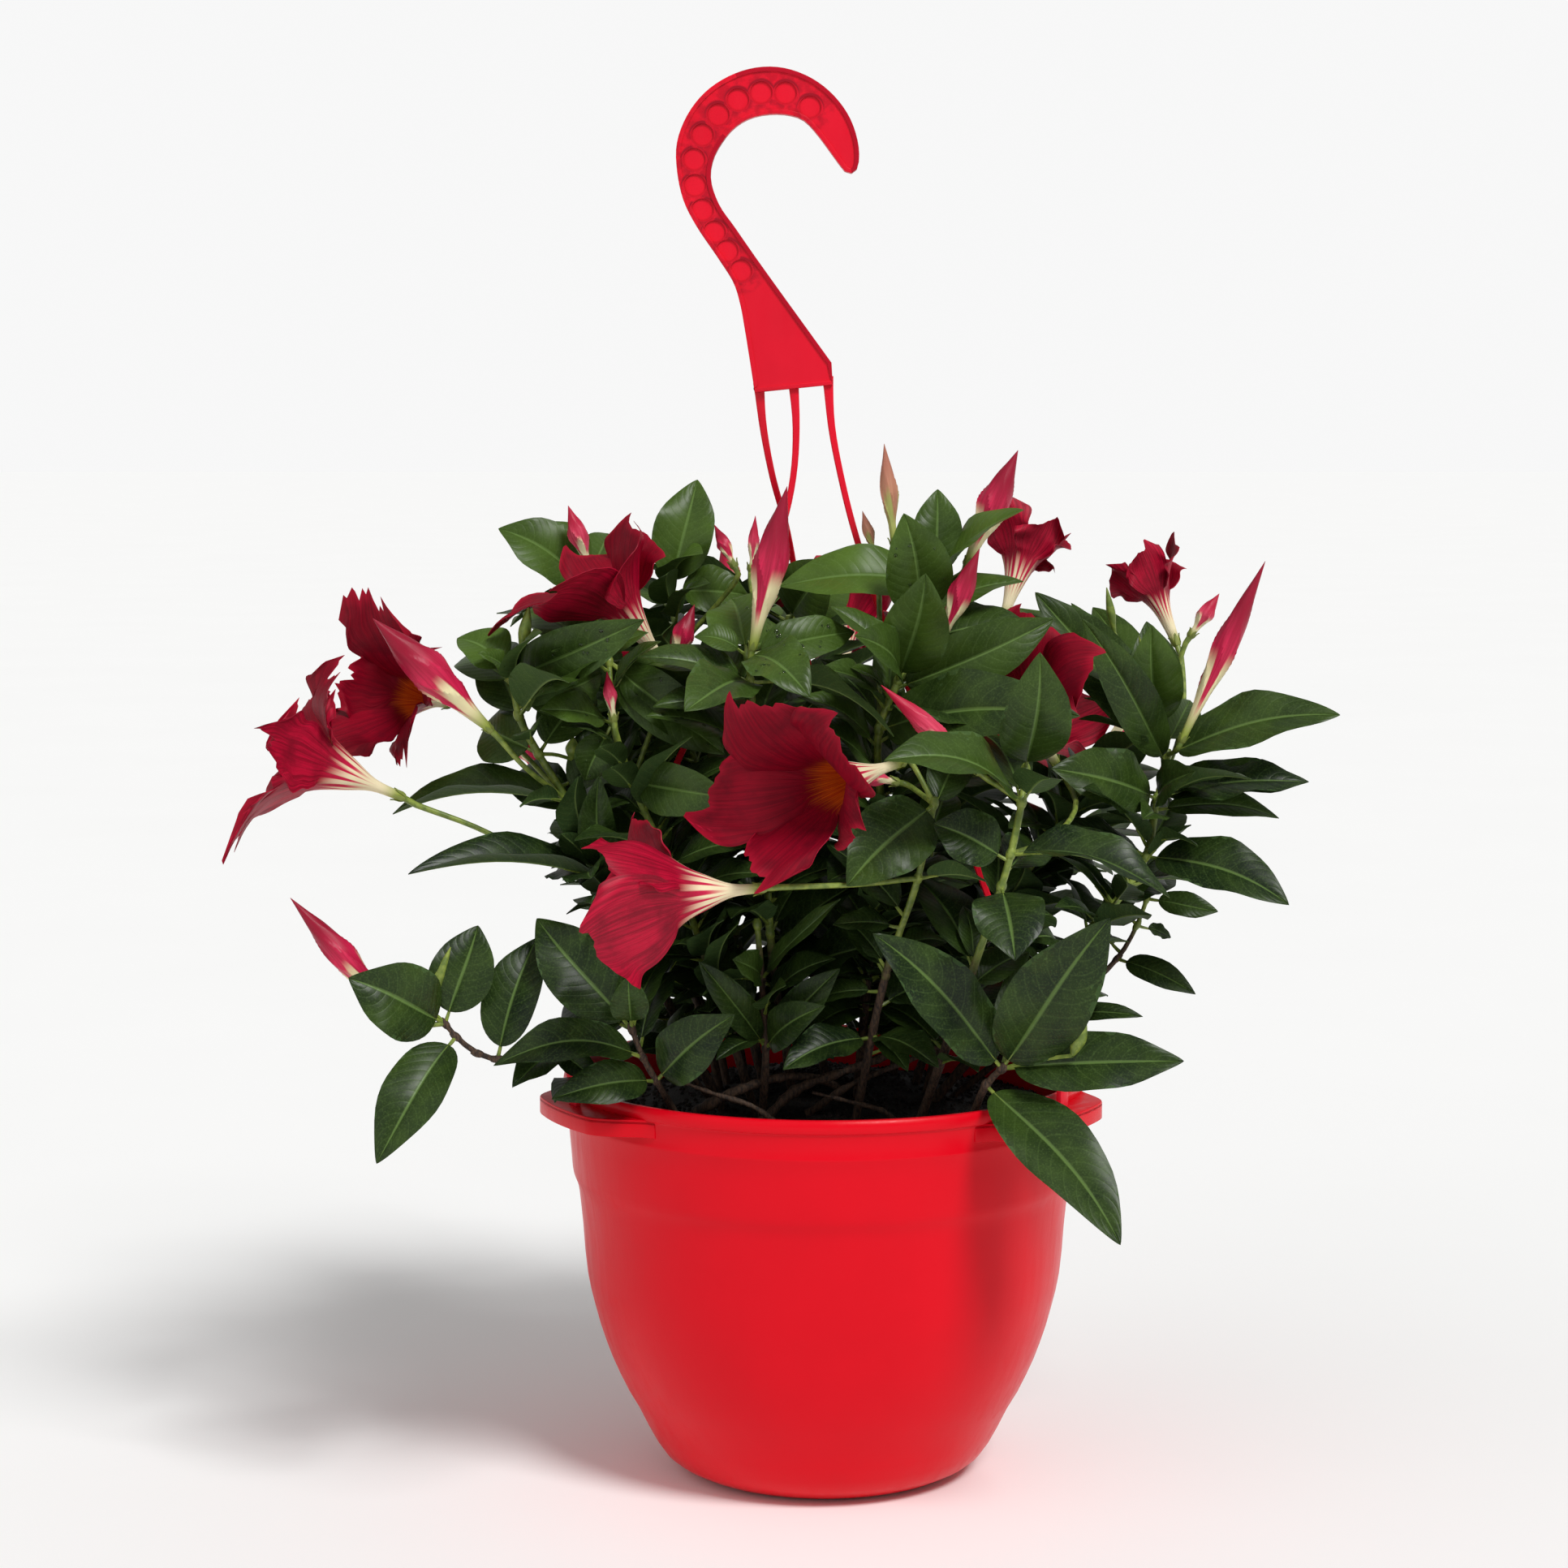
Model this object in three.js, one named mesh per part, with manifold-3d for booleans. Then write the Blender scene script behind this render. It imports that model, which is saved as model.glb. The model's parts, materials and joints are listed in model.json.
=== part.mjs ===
// Mandevilla in its hanging pot: a moulded pot with three ears, potting soil, a moulded hanger
// (hook, plate and three straps) and the plant itself as leafy shoots, blooms and buds.
// Millimetres, +Z up, +X right, -Y towards the front. The origin is the middle of the pot's base.
import * as THREE from 'three';
import { mergeVertices } from 'three/addons/utils/BufferGeometryUtils.js';
import Module from 'manifold-3d';

const wasm = await Module();
wasm.setup();

// ---------------------------------------------------------------- driving dimensions
const RIM_RADIUS = 127.5;        // outside of the rolled rim
const POT_HEIGHT = 198;          // base to rim
const WALL = 2.4;                // pot wall and base
const POT_SEGMENTS = 30;
const SOIL_SEGMENTS = 22;
const GAP = 0.35;                // between pieces that touch
const TOLERANCE = 0.01;          // to which solids are joined
const SOIL_LEVEL = 176;          // soil surface
const ROOT_DEPTH = 13;           // a stem's length below the soil surface
const ROOT_RISE = 4;             // upright part of a stem above it
const DRAIN_HOLES = 6;
const DRAIN_RADIUS = 4;
const DRAIN_CIRCLE = 38;

const EAR_ANGLES = [-33, 87, 207];   // degrees from +X
const EAR_HALF_SPAN = 24;
const EAR_RADIUS = 142;
const EAR_TOP = 192;
const EAR_PLATE = 2.6;
const EAR_LIP = 8.5;
const STRAP_RADIUS = 133;        // where the straps pass through the ears
const STRAP_END = [7.6, 2.6];    // tangential, radial
const STRAP_FOOT = [11, 4.4, 3]; // tangential, radial, height
const STRAP_HALF = 1.9;          // half the thickness of a strap between its ends
const STRAP_STEPS = 11;
const STRAP_END_TOP = 207;       // where a strap widens above its ear

const HOOK_THICKNESS = 7;
const CELL_RADIUS = 5;           // round recesses along the hook
const CELL_DEPTH = 0.9;

const BLADE = 1.3;               // leaf thickness at the midrib
const PETAL = 0.9;
const PETALS = 5;
const JOINT = 3;                 // length of stem that carries up to three leaves
const SUNK_ROOT = 1.05;          // half the thickness of a growth inside the stem
const APART = 51;                // degrees kept between leaves at one stem point
const STALK = 6;                 // leaf stalk length
const CLEAR = 4.4;               // distance kept between blades and whatever they pass

// ---------------------------------------------------------------- solids
const V = (x, y, z) => new THREE.Vector3(x, y, z);
const radians = THREE.MathUtils.degToRad;

function solid(geometry) {
  const bare = geometry.clone();
  bare.deleteAttribute('normal');
  bare.deleteAttribute('uv');
  const merged = mergeVertices(bare, 1e-4);
  const corners = [];
  const index = merged.index.array;
  for (let i = 0; i < index.length; i += 3) {
    const [a, b, c] = [index[i], index[i + 1], index[i + 2]];
    if (a !== b && b !== c && c !== a) corners.push(a, b, c);
  }
  const vertProperties = new Float32Array(merged.attributes.position.array);
  return new wasm.Manifold(new wasm.Mesh({
    numProp: 3, vertProperties, triVerts: new Uint32Array(corners), tolerance: TOLERANCE,
  }));
}

function joined(solids) {
  return solids.reduce((whole, next) => whole.add(next));
}

function node(name, body, colour, roughness) {
  const data = body.getMesh();
  const geometry = new THREE.BufferGeometry();
  geometry.setAttribute('position', new THREE.Float32BufferAttribute(data.vertProperties, 3));
  geometry.setIndex([...data.triVerts]);
  geometry.computeVertexNormals();
  const material = new THREE.MeshStandardMaterial({ color: colour, roughness, metalness: 0 });
  const mesh = new THREE.Mesh(geometry, material);
  mesh.name = name;
  return mesh;
}

// Triangles gathered into one skin.
class Skin {
  constructor() {
    this.position = [];
  }

  triangle(a, b, c) {
    this.position.push(a.x, a.y, a.z, b.x, b.y, b.z, c.x, c.y, c.z);
  }

  // Walls from ring to ring, then a flat end, or a point where the last ring is one point.
  run(rings) {
    for (let k = 0; k < rings.length - 1; k += 1) {
      const low = rings[k];
      const high = rings[k + 1];
      for (let i = 0; i < low.length; i += 1) {
        const j = (i + 1) % low.length;
        if (high.length === 1) {
          this.triangle(low[i], low[j], high[0]);
        } else {
          this.triangle(low[i], low[j], high[j]);
          this.triangle(low[i], high[j], high[i]);
        }
      }
    }
    this.cap(rings[rings.length - 1]);
  }

  cap(ring) {
    for (let i = 1; i < ring.length - 1; i += 1) this.triangle(ring[0], ring[i], ring[i + 1]);
  }

  geometry() {
    const geometry = new THREE.BufferGeometry();
    geometry.setAttribute('position', new THREE.Float32BufferAttribute(this.position, 3));
    return geometry;
  }
}

// A closed solid over rings of points, each anticlockwise as seen from the far end.
function loft(rings) {
  const skin = new Skin();
  skin.cap([...rings[0]].reverse());
  skin.run(rings);
  return solid(skin.geometry());
}

function polygonShape(sides, radius) {
  const corner = (i) => {
    const angle = (2 * Math.PI * i) / sides;
    return new THREE.Vector2(radius * Math.cos(angle), radius * Math.sin(angle));
  };
  return new THREE.Shape(Array.from({ length: sides }, (_, i) => corner(i)));
}

function tube(points, radius, sides, steps) {
  const extrudePath = new THREE.CatmullRomCurve3(points, false, 'centripetal');
  const shape = polygonShape(sides, radius);
  return solid(new THREE.ExtrudeGeometry(shape, { extrudePath, steps }));
}

function standing(geometry) {
  return geometry.rotateX(Math.PI / 2);   // a lathe turns about Y: stand it on Z
}

function turned(profile, segments) {
  const points = profile.map(([r, z]) => new THREE.Vector2(r, z));
  return solid(standing(new THREE.LatheGeometry(points, segments)));
}

function placedBox([width, depth, height], x, y, z, turn) {
  const box = new THREE.BoxGeometry(width, depth, height);
  box.translate(x, y, z);
  box.rotateZ(radians(turn));
  return solid(box);
}

function rod(x, y, zLow, zHigh, radius, sides) {
  const cylinder = new THREE.CylinderGeometry(radius, radius, zHigh - zLow, sides);
  cylinder.rotateX(Math.PI / 2);
  cylinder.translate(x, y, (zLow + zHigh) / 2);
  return solid(cylinder);
}

// ---------------------------------------------------------------- pot
// Outside of the wall from the flat base up: rounded foot, belly, step under the collar, rim.
const OUTSIDE = [
  [62, 0], [78.5, 8], [92, 33], [104.8, 57.8], [113.6, 86], [118, 115], [120.4, 145],
  [123.4, 149.5], [125.6, 179], [126, 190.6], [RIM_RADIUS, 191.6], [RIM_RADIUS, 196.4],
  [126, POT_HEIGHT],
];
const INSIDE = [
  [122.8, POT_HEIGHT], [121.4, 178], [117.6, 143], [111, 86], [102.2, 60], [75.5, 9.5], [60, WALL],
];

function ear(angle) {
  const span = radians(EAR_HALF_SPAN);
  const sector = (inner, outer) => {
    const shape = new THREE.Shape();
    shape.absarc(0, 0, outer, -span, span, false);
    shape.absarc(0, 0, inner, span, -span, true);
    return shape;
  };
  const plate = new THREE.ExtrudeGeometry(sector(124, EAR_RADIUS), {
    depth: EAR_PLATE, bevelEnabled: false, curveSegments: 4,
  });
  plate.translate(0, 0, EAR_TOP - EAR_PLATE);
  const lip = new THREE.ExtrudeGeometry(sector(EAR_RADIUS - WALL, EAR_RADIUS), {
    depth: EAR_LIP, bevelEnabled: false, curveSegments: 4,
  });
  lip.translate(0, 0, EAR_TOP - EAR_LIP);
  const parts = [solid(plate), solid(lip)];
  const web = new THREE.Shape([
    new THREE.Vector2(124, EAR_TOP), new THREE.Vector2(124, 169), new THREE.Vector2(130, 174),
    new THREE.Vector2(137, 179), new THREE.Vector2(EAR_RADIUS - 0.2, EAR_TOP - EAR_LIP),
    new THREE.Vector2(EAR_RADIUS - 0.2, EAR_TOP),
  ]);
  for (const side of [-1, 1]) {
    const plateWeb = new THREE.ExtrudeGeometry(web, { depth: WALL, bevelEnabled: false });
    plateWeb.rotateX(Math.PI / 2);
    plateWeb.translate(0, WALL / 2, 0);
    plateWeb.rotateZ(side * radians(EAR_HALF_SPAN - 0.6));
    parts.push(solid(plateWeb));
  }
  const turn = new THREE.Matrix4().makeRotationZ(radians(angle)).elements;
  return joined(parts).transform([...turn]);
}

function makePot() {
  let pot = turned([[0, 0], ...OUTSIDE, ...INSIDE, [0, WALL]], POT_SEGMENTS);
  for (const angle of EAR_ANGLES) {
    pot = pot.add(ear(angle));
    const slot = [STRAP_END[1] + 2 * GAP, STRAP_END[0] + 2 * GAP, 20];
    pot = pot.subtract(placedBox(slot, STRAP_RADIUS, 0, EAR_TOP, angle));
  }
  for (let i = 0; i < DRAIN_HOLES; i += 1) {
    const angle = (2 * Math.PI * i) / DRAIN_HOLES;
    const [x, y] = [DRAIN_CIRCLE * Math.cos(angle), DRAIN_CIRCLE * Math.sin(angle)];
    pot = pot.subtract(rod(x, y, -1, WALL + 1, DRAIN_RADIUS, 8));
  }
  return pot;
}

// ---------------------------------------------------------------- hanger
// The hook and plate lie in one upright plane. Points are [x, z] round the outline.
const HOOK_OUTLINE = [
  [-33.5, 528.3], [-38.2, 558], [-40.5, 570.5], [-43.6, 580.5], [-50.6, 591.7], [-61.8, 608.2],
  [-67.6, 619.8], [-70.6, 634], [-70.6, 646.5], [-65.9, 659.2], [-57.6, 670], [-46.4, 677.7],
  [-33.3, 682], [-20, 682], [-6.6, 677.3], [4.3, 669], [12.2, 658], [16.2, 645], [16, 636],
  [14.4, 633], [12, 632.4], [9.3, 633.6], [7, 636.6], [-9.4, 656.9], [-16, 659.6], [-25.3, 660.3],
  [-35.3, 658.4], [-43.1, 653.8], [-48.9, 647], [-53.2, 638.9], [-54.4, 630], [-50.5, 617.8],
  [-42.8, 606.7], [-32.3, 591.7], [3.4, 542.6], [4, 532.1],
];
const HOOK_CELLS = [
  [-7, 663.6], [-18.7, 670.2], [-30.3, 670.4], [-41.4, 667], [-50.8, 660], [-58.3, 650.5],
  [-62.3, 639], [-62, 626.7], [-58.4, 615.2], [-52.7, 604.8], [-46.6, 595.8], [-40, 586.4],
];
const HANGER_Y = 0;

// Each strap runs from the plate to just above its ear: slack, so it bows on the way.
const STRAP_PATHS = [
  [[1.6, 0, 536], [3.5, -2, 512], [8, -5, 488], [14.5, -9, 462], [30, -20, 414], [58, -37, 342],
    [86, -56, 268], [105, -69, 222], [110.6, -72, 205]],
  [[-31.6, 0, 533], [-29.5, 3, 512], [-25, 9, 488], [-18, 20, 462], [-11, 44, 420], [-2, 82, 350],
    [4, 114, 275], [6.6, 130, 225], [6.8, 131.8, 205]],
  [[-15, 0, 535], [-13.6, -1, 512], [-15, -4, 488], [-21, -8, 462], [-42, -18, 414],
    [-76, -36, 340], [-106, -52, 268], [-121, -60, 225], [-119.4, -60.6, 205]],
];

function makeHanger() {
  const shape = new THREE.Shape(HOOK_OUTLINE.map(([x, z]) => new THREE.Vector2(x, z)));
  const body = new THREE.ExtrudeGeometry(shape, { depth: HOOK_THICKNESS, bevelEnabled: false });
  body.rotateX(Math.PI / 2);
  body.translate(0, HANGER_Y + HOOK_THICKNESS / 2, 0);
  let hanger = solid(body);
  for (const [x, z] of HOOK_CELLS) {
    for (const side of [-1, 1]) {
      const cell = new THREE.CylinderGeometry(CELL_RADIUS, CELL_RADIUS, 2 * CELL_DEPTH, 6);
      cell.translate(x, HANGER_Y + (side * HOOK_THICKNESS) / 2, z);
      hanger = hanger.subtract(solid(cell));
    }
  }
  EAR_ANGLES.forEach((angle, i) => {
    const [endWidth, endDepth] = STRAP_END;
    const path = STRAP_PATHS[i].map(([x, y, z]) => V(x, y, z));
    const footTop = EAR_TOP - EAR_PLATE - GAP;
    const end = [endDepth, endWidth, STRAP_END_TOP - footTop + 1];
    const foot = [STRAP_FOOT[1], STRAP_FOOT[0], STRAP_FOOT[2]];
    const endMiddle = (STRAP_END_TOP + footTop - 1) / 2;
    const footMiddle = footTop - STRAP_FOOT[2] / 2;
    hanger = hanger.add(tube(path, STRAP_HALF, 4, STRAP_STEPS));
    hanger = hanger.add(placedBox(end, STRAP_RADIUS, 0, endMiddle, angle));
    hanger = hanger.add(placedBox(foot, STRAP_RADIUS, 0, footMiddle, angle));
  });
  return hanger;
}

// ---------------------------------------------------------------- the plant's plan
// A shoot: name, stem radius, stem points from the soil up, then its leaves. A leaf is
// [stem point, tip, width, way its upper face looks, arch, fold in degrees].
const FOLD = 16;
const SHOOTS = [
  ['left_high', 2.2, [[-48, -22, 176], [-79, -45, 247], [-105, -60, 301], [-121, -66, 338],
    [-134, -68, 360], [-143, -70, 378], [-146, -70, 396]], [
    [5, [-85, -92, 426], 34, [0, -3, 4], 8],
    [5, [-101, -104, 402], 32, [0, 3, 4], 6],
    [6, [-172, -62, 414], 28, [0, -3, 4], 5],
    [6, [-159, -84, 409], 13, [0, -1, 1], 2],
    [4, [-166, -46, 372], 30, [-1, -3, 1], 4],
    [3, [-204, -56, 347], 30, [0, -1, 3], 5, 42],
    [3, [-141, -96, 339], 14, [0, 2, 1], 3],
    [2, [-105, -88, 350], 19, [0, -1, 0], 2],
    [2, [-185, -112, 321], 31, [0, -1, 3], 6, 42],
    [3, [-88, -64, 378], 24, [-1, -3, 1], 4],
    [4, [-107, -40, 389], 26, [0, -2, 1], 4],
  ]],
  ['left_back', 2, [[-46, 14, 176], [-66, 24, 274], [-90, 30, 350], [-107, 26, 403],
    [-116, 18, 434]], [
    [4, [-155, 2, 464], 33, [-1, -2, 2], 5],
    [4, [-140, 30, 470], 31, [0, -2, 1], 4],
    [4, [-109, 44, 469], 24, [0, -2, 1], 3],
  ]],
  ['left_mid', 2, [[-32, -34, 176], [-66, -66, 291], [-90, -74, 347], [-99, -74, 375],
    [-101, -66, 403]], [
    [4, [-47, -86, 361], 37, [0, -3, 2], 8],
    [3, [-122, -100, 393], 22, [0, -1, 1], 3],
  ]],
  ['centre_left', 2, [[-28, 4, 176], [-43, -4, 267], [-56, -6, 328], [-67, -4, 367],
    [-71, 0, 405], [-75, 8, 432]], [
    [5, [-62, 18, 487], 31, [0, -2, 1], 4],
    [5, [-53, -14, 447], 27, [0, -1, 2], 6],
    [5, [-38, 2, 441], 26, [0, -2, 1], 3],
  ]],
  ['centre', 2.1, [[-14, -18, 176], [-26, -52, 273], [-28, -70, 333], [-32, -78, 372],
    [-35, -82, 395], [-36, -82, 407]], [
    [4, [-63, -130, 388], 33, [0, -1, 1], 5],
    [5, [-2, -112, 402], 30, [0, -1, 1], 6],
    [5, [-61, -84, 415], 16, [0, -1, 1], 3],
    [4, [19, -130, 377], 28, [0, 1, 2], 8],
    [5, [-45, -50, 434], 31, [0, -1, 0], 3],
    [5, [-19, -46, 430], 26, [0, -2, 1], 3],
    [5, [11, -58, 417], 23, [0, -2, 1], 4],
  ]],
  ['centre_back', 2, [[2, 18, 176], [-12, 34, 321], [-12, 30, 379], [-17, 20, 417]], [
    [3, [3, -4, 448], 34, [0, -2, 1], 4],
    [3, [13, 30, 434], 26, [0, -2, 1], 4],
  ]],
  ['centre_right', 2.3, [[16, -14, 176], [22, -44, 272], [26, -58, 332], [25, -64, 371],
    [34, -66, 394], [46, -50, 421], [52, -38, 437]], [
    [4, [45, -98, 445], 33, [0, -1, 0], 3],
    [4, [1, -117, 404], 27, [0, -2, 1], 5],
    [3, [100, -118, 422], 38, [0, -2, 1], 10],
    [5, [39, -84, 466], 33, [0, -3, 1], 3],
    [6, [58, -18, 478], 25, [0, -2, 1], 3],
    [6, [104, -56, 461], 31, [0, -1, 2], 5],
    [6, [-13, -64, 460], 33, [0, -1, 1], 7],
  ]],
  ['right_front', 2.2, [[44, -56, 176], [66, -104, 260], [79, -122, 305], [83, -124, 320],
    [88, -120, 343], [90, -114, 357]], [
    [4, [28, -158, 370], 37, [0, -2, 3], 9],
    [5, [97, -138, 414], 33, [0, -1, 0], 3],
    [4, [97, -140, 364], 24, [0, 1, 1], 3],
    [3, [153, -146, 309], 31, [0, -1, 2], 8, 34],
    [2, [83, -158, 277], 34, [0, -3, 1], 4],
  ]],
  ['middle_front', 2, [[14, -52, 176], [28, -82, 258], [42, -102, 306], [49, -108, 341]], [
    [3, [9, -140, 308], 37, [0, -4, 1], 4],
    [2, [72, -134, 310], 17, [0, 1, 1], 3],
  ]],
  ['right_high', 2.3, [[52, -2, 176], [108, -24, 251], [140, -18, 282], [156, -12, 305],
    [162, -4, 332], [167, 0, 353], [161, 6, 368]], [
    [5, [246, -24, 377], 33, [0, -1, 1], 6],
    [4, [234, -12, 341], 29, [0, -2, 3], 5],
    [4, [215, -48, 333], 24, [0, 1, 2], 4],
    [4, [185, -36, 350], 24, [0, -2, 1], 3],
    [4, [124, -44, 366], 33, [0, -2, 1], 5],
    [3, [220, -48, 290], 34, [0, -1, 1], 5],
    [6, [114, -34, 407], 32, [0, -1, 1], 6],
    [6, [102, 2, 436], 30, [0, -1, 1], 5],
    [6, [162, -20, 422], 30, [0, -2, 1], 4],
    [6, [147, 30, 440], 27, [0, -2, 1], 3],
    [6, [124, 36, 428], 16, [0, -1, 1], 3],
  ]],
  ['right_low', 1.6, [[62, 12, 176], [114, 4, 224], [145, 12, 251], [155, 16, 267],
    [160, 18, 280]], [
    [4, [194, 8, 275], 14, [0, -2, 1], 2],
    [3, [173, 20, 261], 9, [0, -1, 1], 1],
    [2, [180, -14, 239], 15, [0, -2, 1], 3],
    [1, [157, 0, 228], 12, [0, -1, 1], 2],
  ]],
  ['rim_right', 2.2, [[66, -76, 176], [74, -98, 209], [81, -104, 218]], [
    [2, [22, -134, 285], 33, [0, -2, 1], 5],
    [2, [134, -130, 292], 41, [0, -1, 0], 4],
    [2, [160, -128, 232], 30, [0, -2, 1], 4],
    [1, [132, -146, 142], 37, [1, -3, 1], 6],
    [2, [92, -88, 269], 21, [0, -1, 0], 3],
  ]],
  ['trailing_left', 1.7, [[-84, -40, 176], [-121, -74, 220], [-153, -86, 219], [-162, -88, 222],
    [-172, -88, 230], [-177, -88, 236]], [
    [4, [-218, -112, 182], 32, [-1, -3, 1], 5],
    [5, [-214, -100, 272], 37, [0, -4, 1], 4],
    [5, [-162, -80, 281], 31, [0, -4, 1], 4],
    [2, [-137, -72, 275], 29, [-1, -3, 0], 4],
    [1, [-156, -104, 214], 20, [0, -1, 1], 5],
  ]],
  ['rim_left', 1.8, [[-66, -62, 176], [-79, -87, 209], [-85, -92, 221], [-90, -92, 234]], [
    [2, [-152, -112, 223], 25, [0, -1, 1], 14],
    [3, [-91, -104, 260], 19, [0, -2, 1], 2],
    [1, [-112, -128, 207], 22, [0, -2, 1], 6],
    [1, [-45, -112, 243], 28, [0, -3, 1], 4],
    [3, [-136, -92, 285], 35, [0, -3, 1], 5],
    [3, [-124, -64, 242], 33, [0, -2, 1], 5],
  ]],
  ['inner_front', 2, [[-30, -46, 176], [-28, -62, 220], [-30, -62, 253], [-32, -64, 279]], [
    [1, [-59, -86, 265], 17, [0, -2, 1], 3],
    [2, [-50, -80, 266], 18, [0, -2, 1], 3],
    [2, [-48, -92, 249], 14, [0, 1, 1], 4],
    [1, [-10, -84, 270], 19, [0, -2, 1], 3],
    [1, [1, -96, 246], 21, [0, -2, 1], 4],
    [2, [6, -104, 297], 13, [0, -1, 1], 3],
  ]],
];

// Shoots on the far side, by rule: [heading in degrees, reach of the tip, height of the tip].
const BACK_SHOOTS = [
  [8, 128, 330], [28, 140, 300], [46, 118, 385], [66, 150, 330], [110, 100, 425],
  [126, 150, 290], [140, 128, 385], [156, 138, 320], [176, 96, 300],
];
const RULE_SEED = 11;            // for the leaves that follow a rule

// A bloom: name, base of the tube, mouth, mouth radius, turn of the petals about the axis, then
// per petal [reach, way it leans at the end in degrees from the axis, width].
const BLOOMS = [
  ['far_left', [-197, -72, 340], [-228, -92, 366], 15, 36,
    [[40, 105, 34], [36, 85, 34], [60, 88, 30], [38, 95, 36], [42, 108, 34]]],
  ['left_back', [-182, -2, 378], [-213, -28, 386], 12, 0,
    [[44, 95, 30], [40, 95, 34], [38, 100, 34], [40, 100, 34], [42, 95, 30]]],
  ['upper_left', [-74, -58, 399], [-101, -60, 440], 15, 36,
    [[38, 110, 38], [36, 95, 40], [50, 95, 34], [34, 110, 36], [42, 98, 36]]],
  ['centre', [35, -106, 360], [-4, -152, 353], 14, 30,
    [[43, 95, 45], [44, 92, 44], [43, 95, 44], [43, 90, 44], [44, 96, 44]]],
  ['front_trumpet', [-28, -150, 308], [-84, -178, 308], 18, 72,
    [[24, 55, 34], [38, 120, 32], [50, 118, 36], [28, 50, 36], [42, 130, 30]]],
  ['right_centre', [112, -20, 350], [94, -58, 381], 14, 0,
    [[38, 95, 42], [38, 95, 42], [38, 95, 42], [38, 95, 42], [38, 95, 42]]],
  ['upper_right', [88, 24, 416], [98, 40, 446], 11, 50,
    [[20, 60, 26], [22, 50, 26], [22, 60, 26], [20, 50, 26], [24, 60, 26]]],
  ['right_back', [178, 58, 403], [168, 66, 428], 9, 15,
    [[24, 50, 22], [22, 40, 22], [24, 45, 22], [22, 50, 22], [24, 40, 22]]],
  ['middle_back', [12, 72, 388], [10, 96, 408], 12, 40,
    [[30, 95, 36], [32, 95, 36], [30, 95, 36], [32, 95, 36], [30, 95, 36]]],
  ['back_left', [-70, 140, 330], [-86, 176, 352], 14, 25,
    [[38, 95, 40], [40, 95, 42], [38, 95, 40], [40, 95, 42], [38, 95, 40]]],
  ['back_right', [88, 132, 330], [108, 168, 346], 14, 0,
    [[38, 95, 40], [40, 95, 42], [38, 95, 40], [40, 95, 42], [38, 95, 40]]],
];

// A bud: name, base, tip, greatest radius, colour.
const BUDS = [
  ['left_pink', [-114, 6, 444], [-124, 4, 474], 5, 'pink'],
  ['red_short', [-43, -14, 445], [-53, -6, 465], 3.6, 'crimson'],
  ['pink_small', [-35, -30, 444], [-33, -30, 470], 2.8, 'pink'],
  ['centre_large', [-34, -86, 410], [-18, -92, 485], 8.4, 'crimson'],
  ['inner_left', [-74, -38, 397], [-62, -32, 428], 5.6, 'crimson'],
  ['tan_top', [33, -30, 456], [28, -30, 504], 5.2, 'tan'],
  ['tan_small', [24, -20, 451], [18, -20, 472], 3.4, 'tan'],
  ['red_top', [49, -2, 459], [54, 0, 477], 4, 'crimson'],
  ['magenta_top', [67, -34, 447], [91, -36, 501], 8, 'crimson'],
  ['magenta_low', [53, -72, 412], [71, -74, 456], 6, 'crimson'],
  ['long_front', [69, -126, 357], [24, -130, 397], 5, 'pink'],
  ['long_right', [172, -16, 361], [211, -18, 448], 6.4, 'crimson'],
  ['right_small', [179, 12, 410], [193, 12, 431], 4.2, 'pink'],
  ['trailing', [-197, -98, 240], [-246, -102, 297], 6.6, 'crimson'],
  ['left_low', [-98, -84, 377], [-101, -86, 400], 3.2, 'pink'],
  ['left_large', [-155, -80, 372], [-207, -98, 425], 9.6, 'crimson'],
  ['behind_bloom', [33, -90, 349], [12, -96, 354], 4, 'pink'],
  ['back_upper', [-44, 112, 418], [-52, 134, 452], 6, 'crimson'],
  ['back_lower', [-138, 84, 334], [-168, 106, 360], 6, 'crimson'],
  ['back_side', [140, 96, 345], [178, 110, 372], 6, 'pink'],
];

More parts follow.
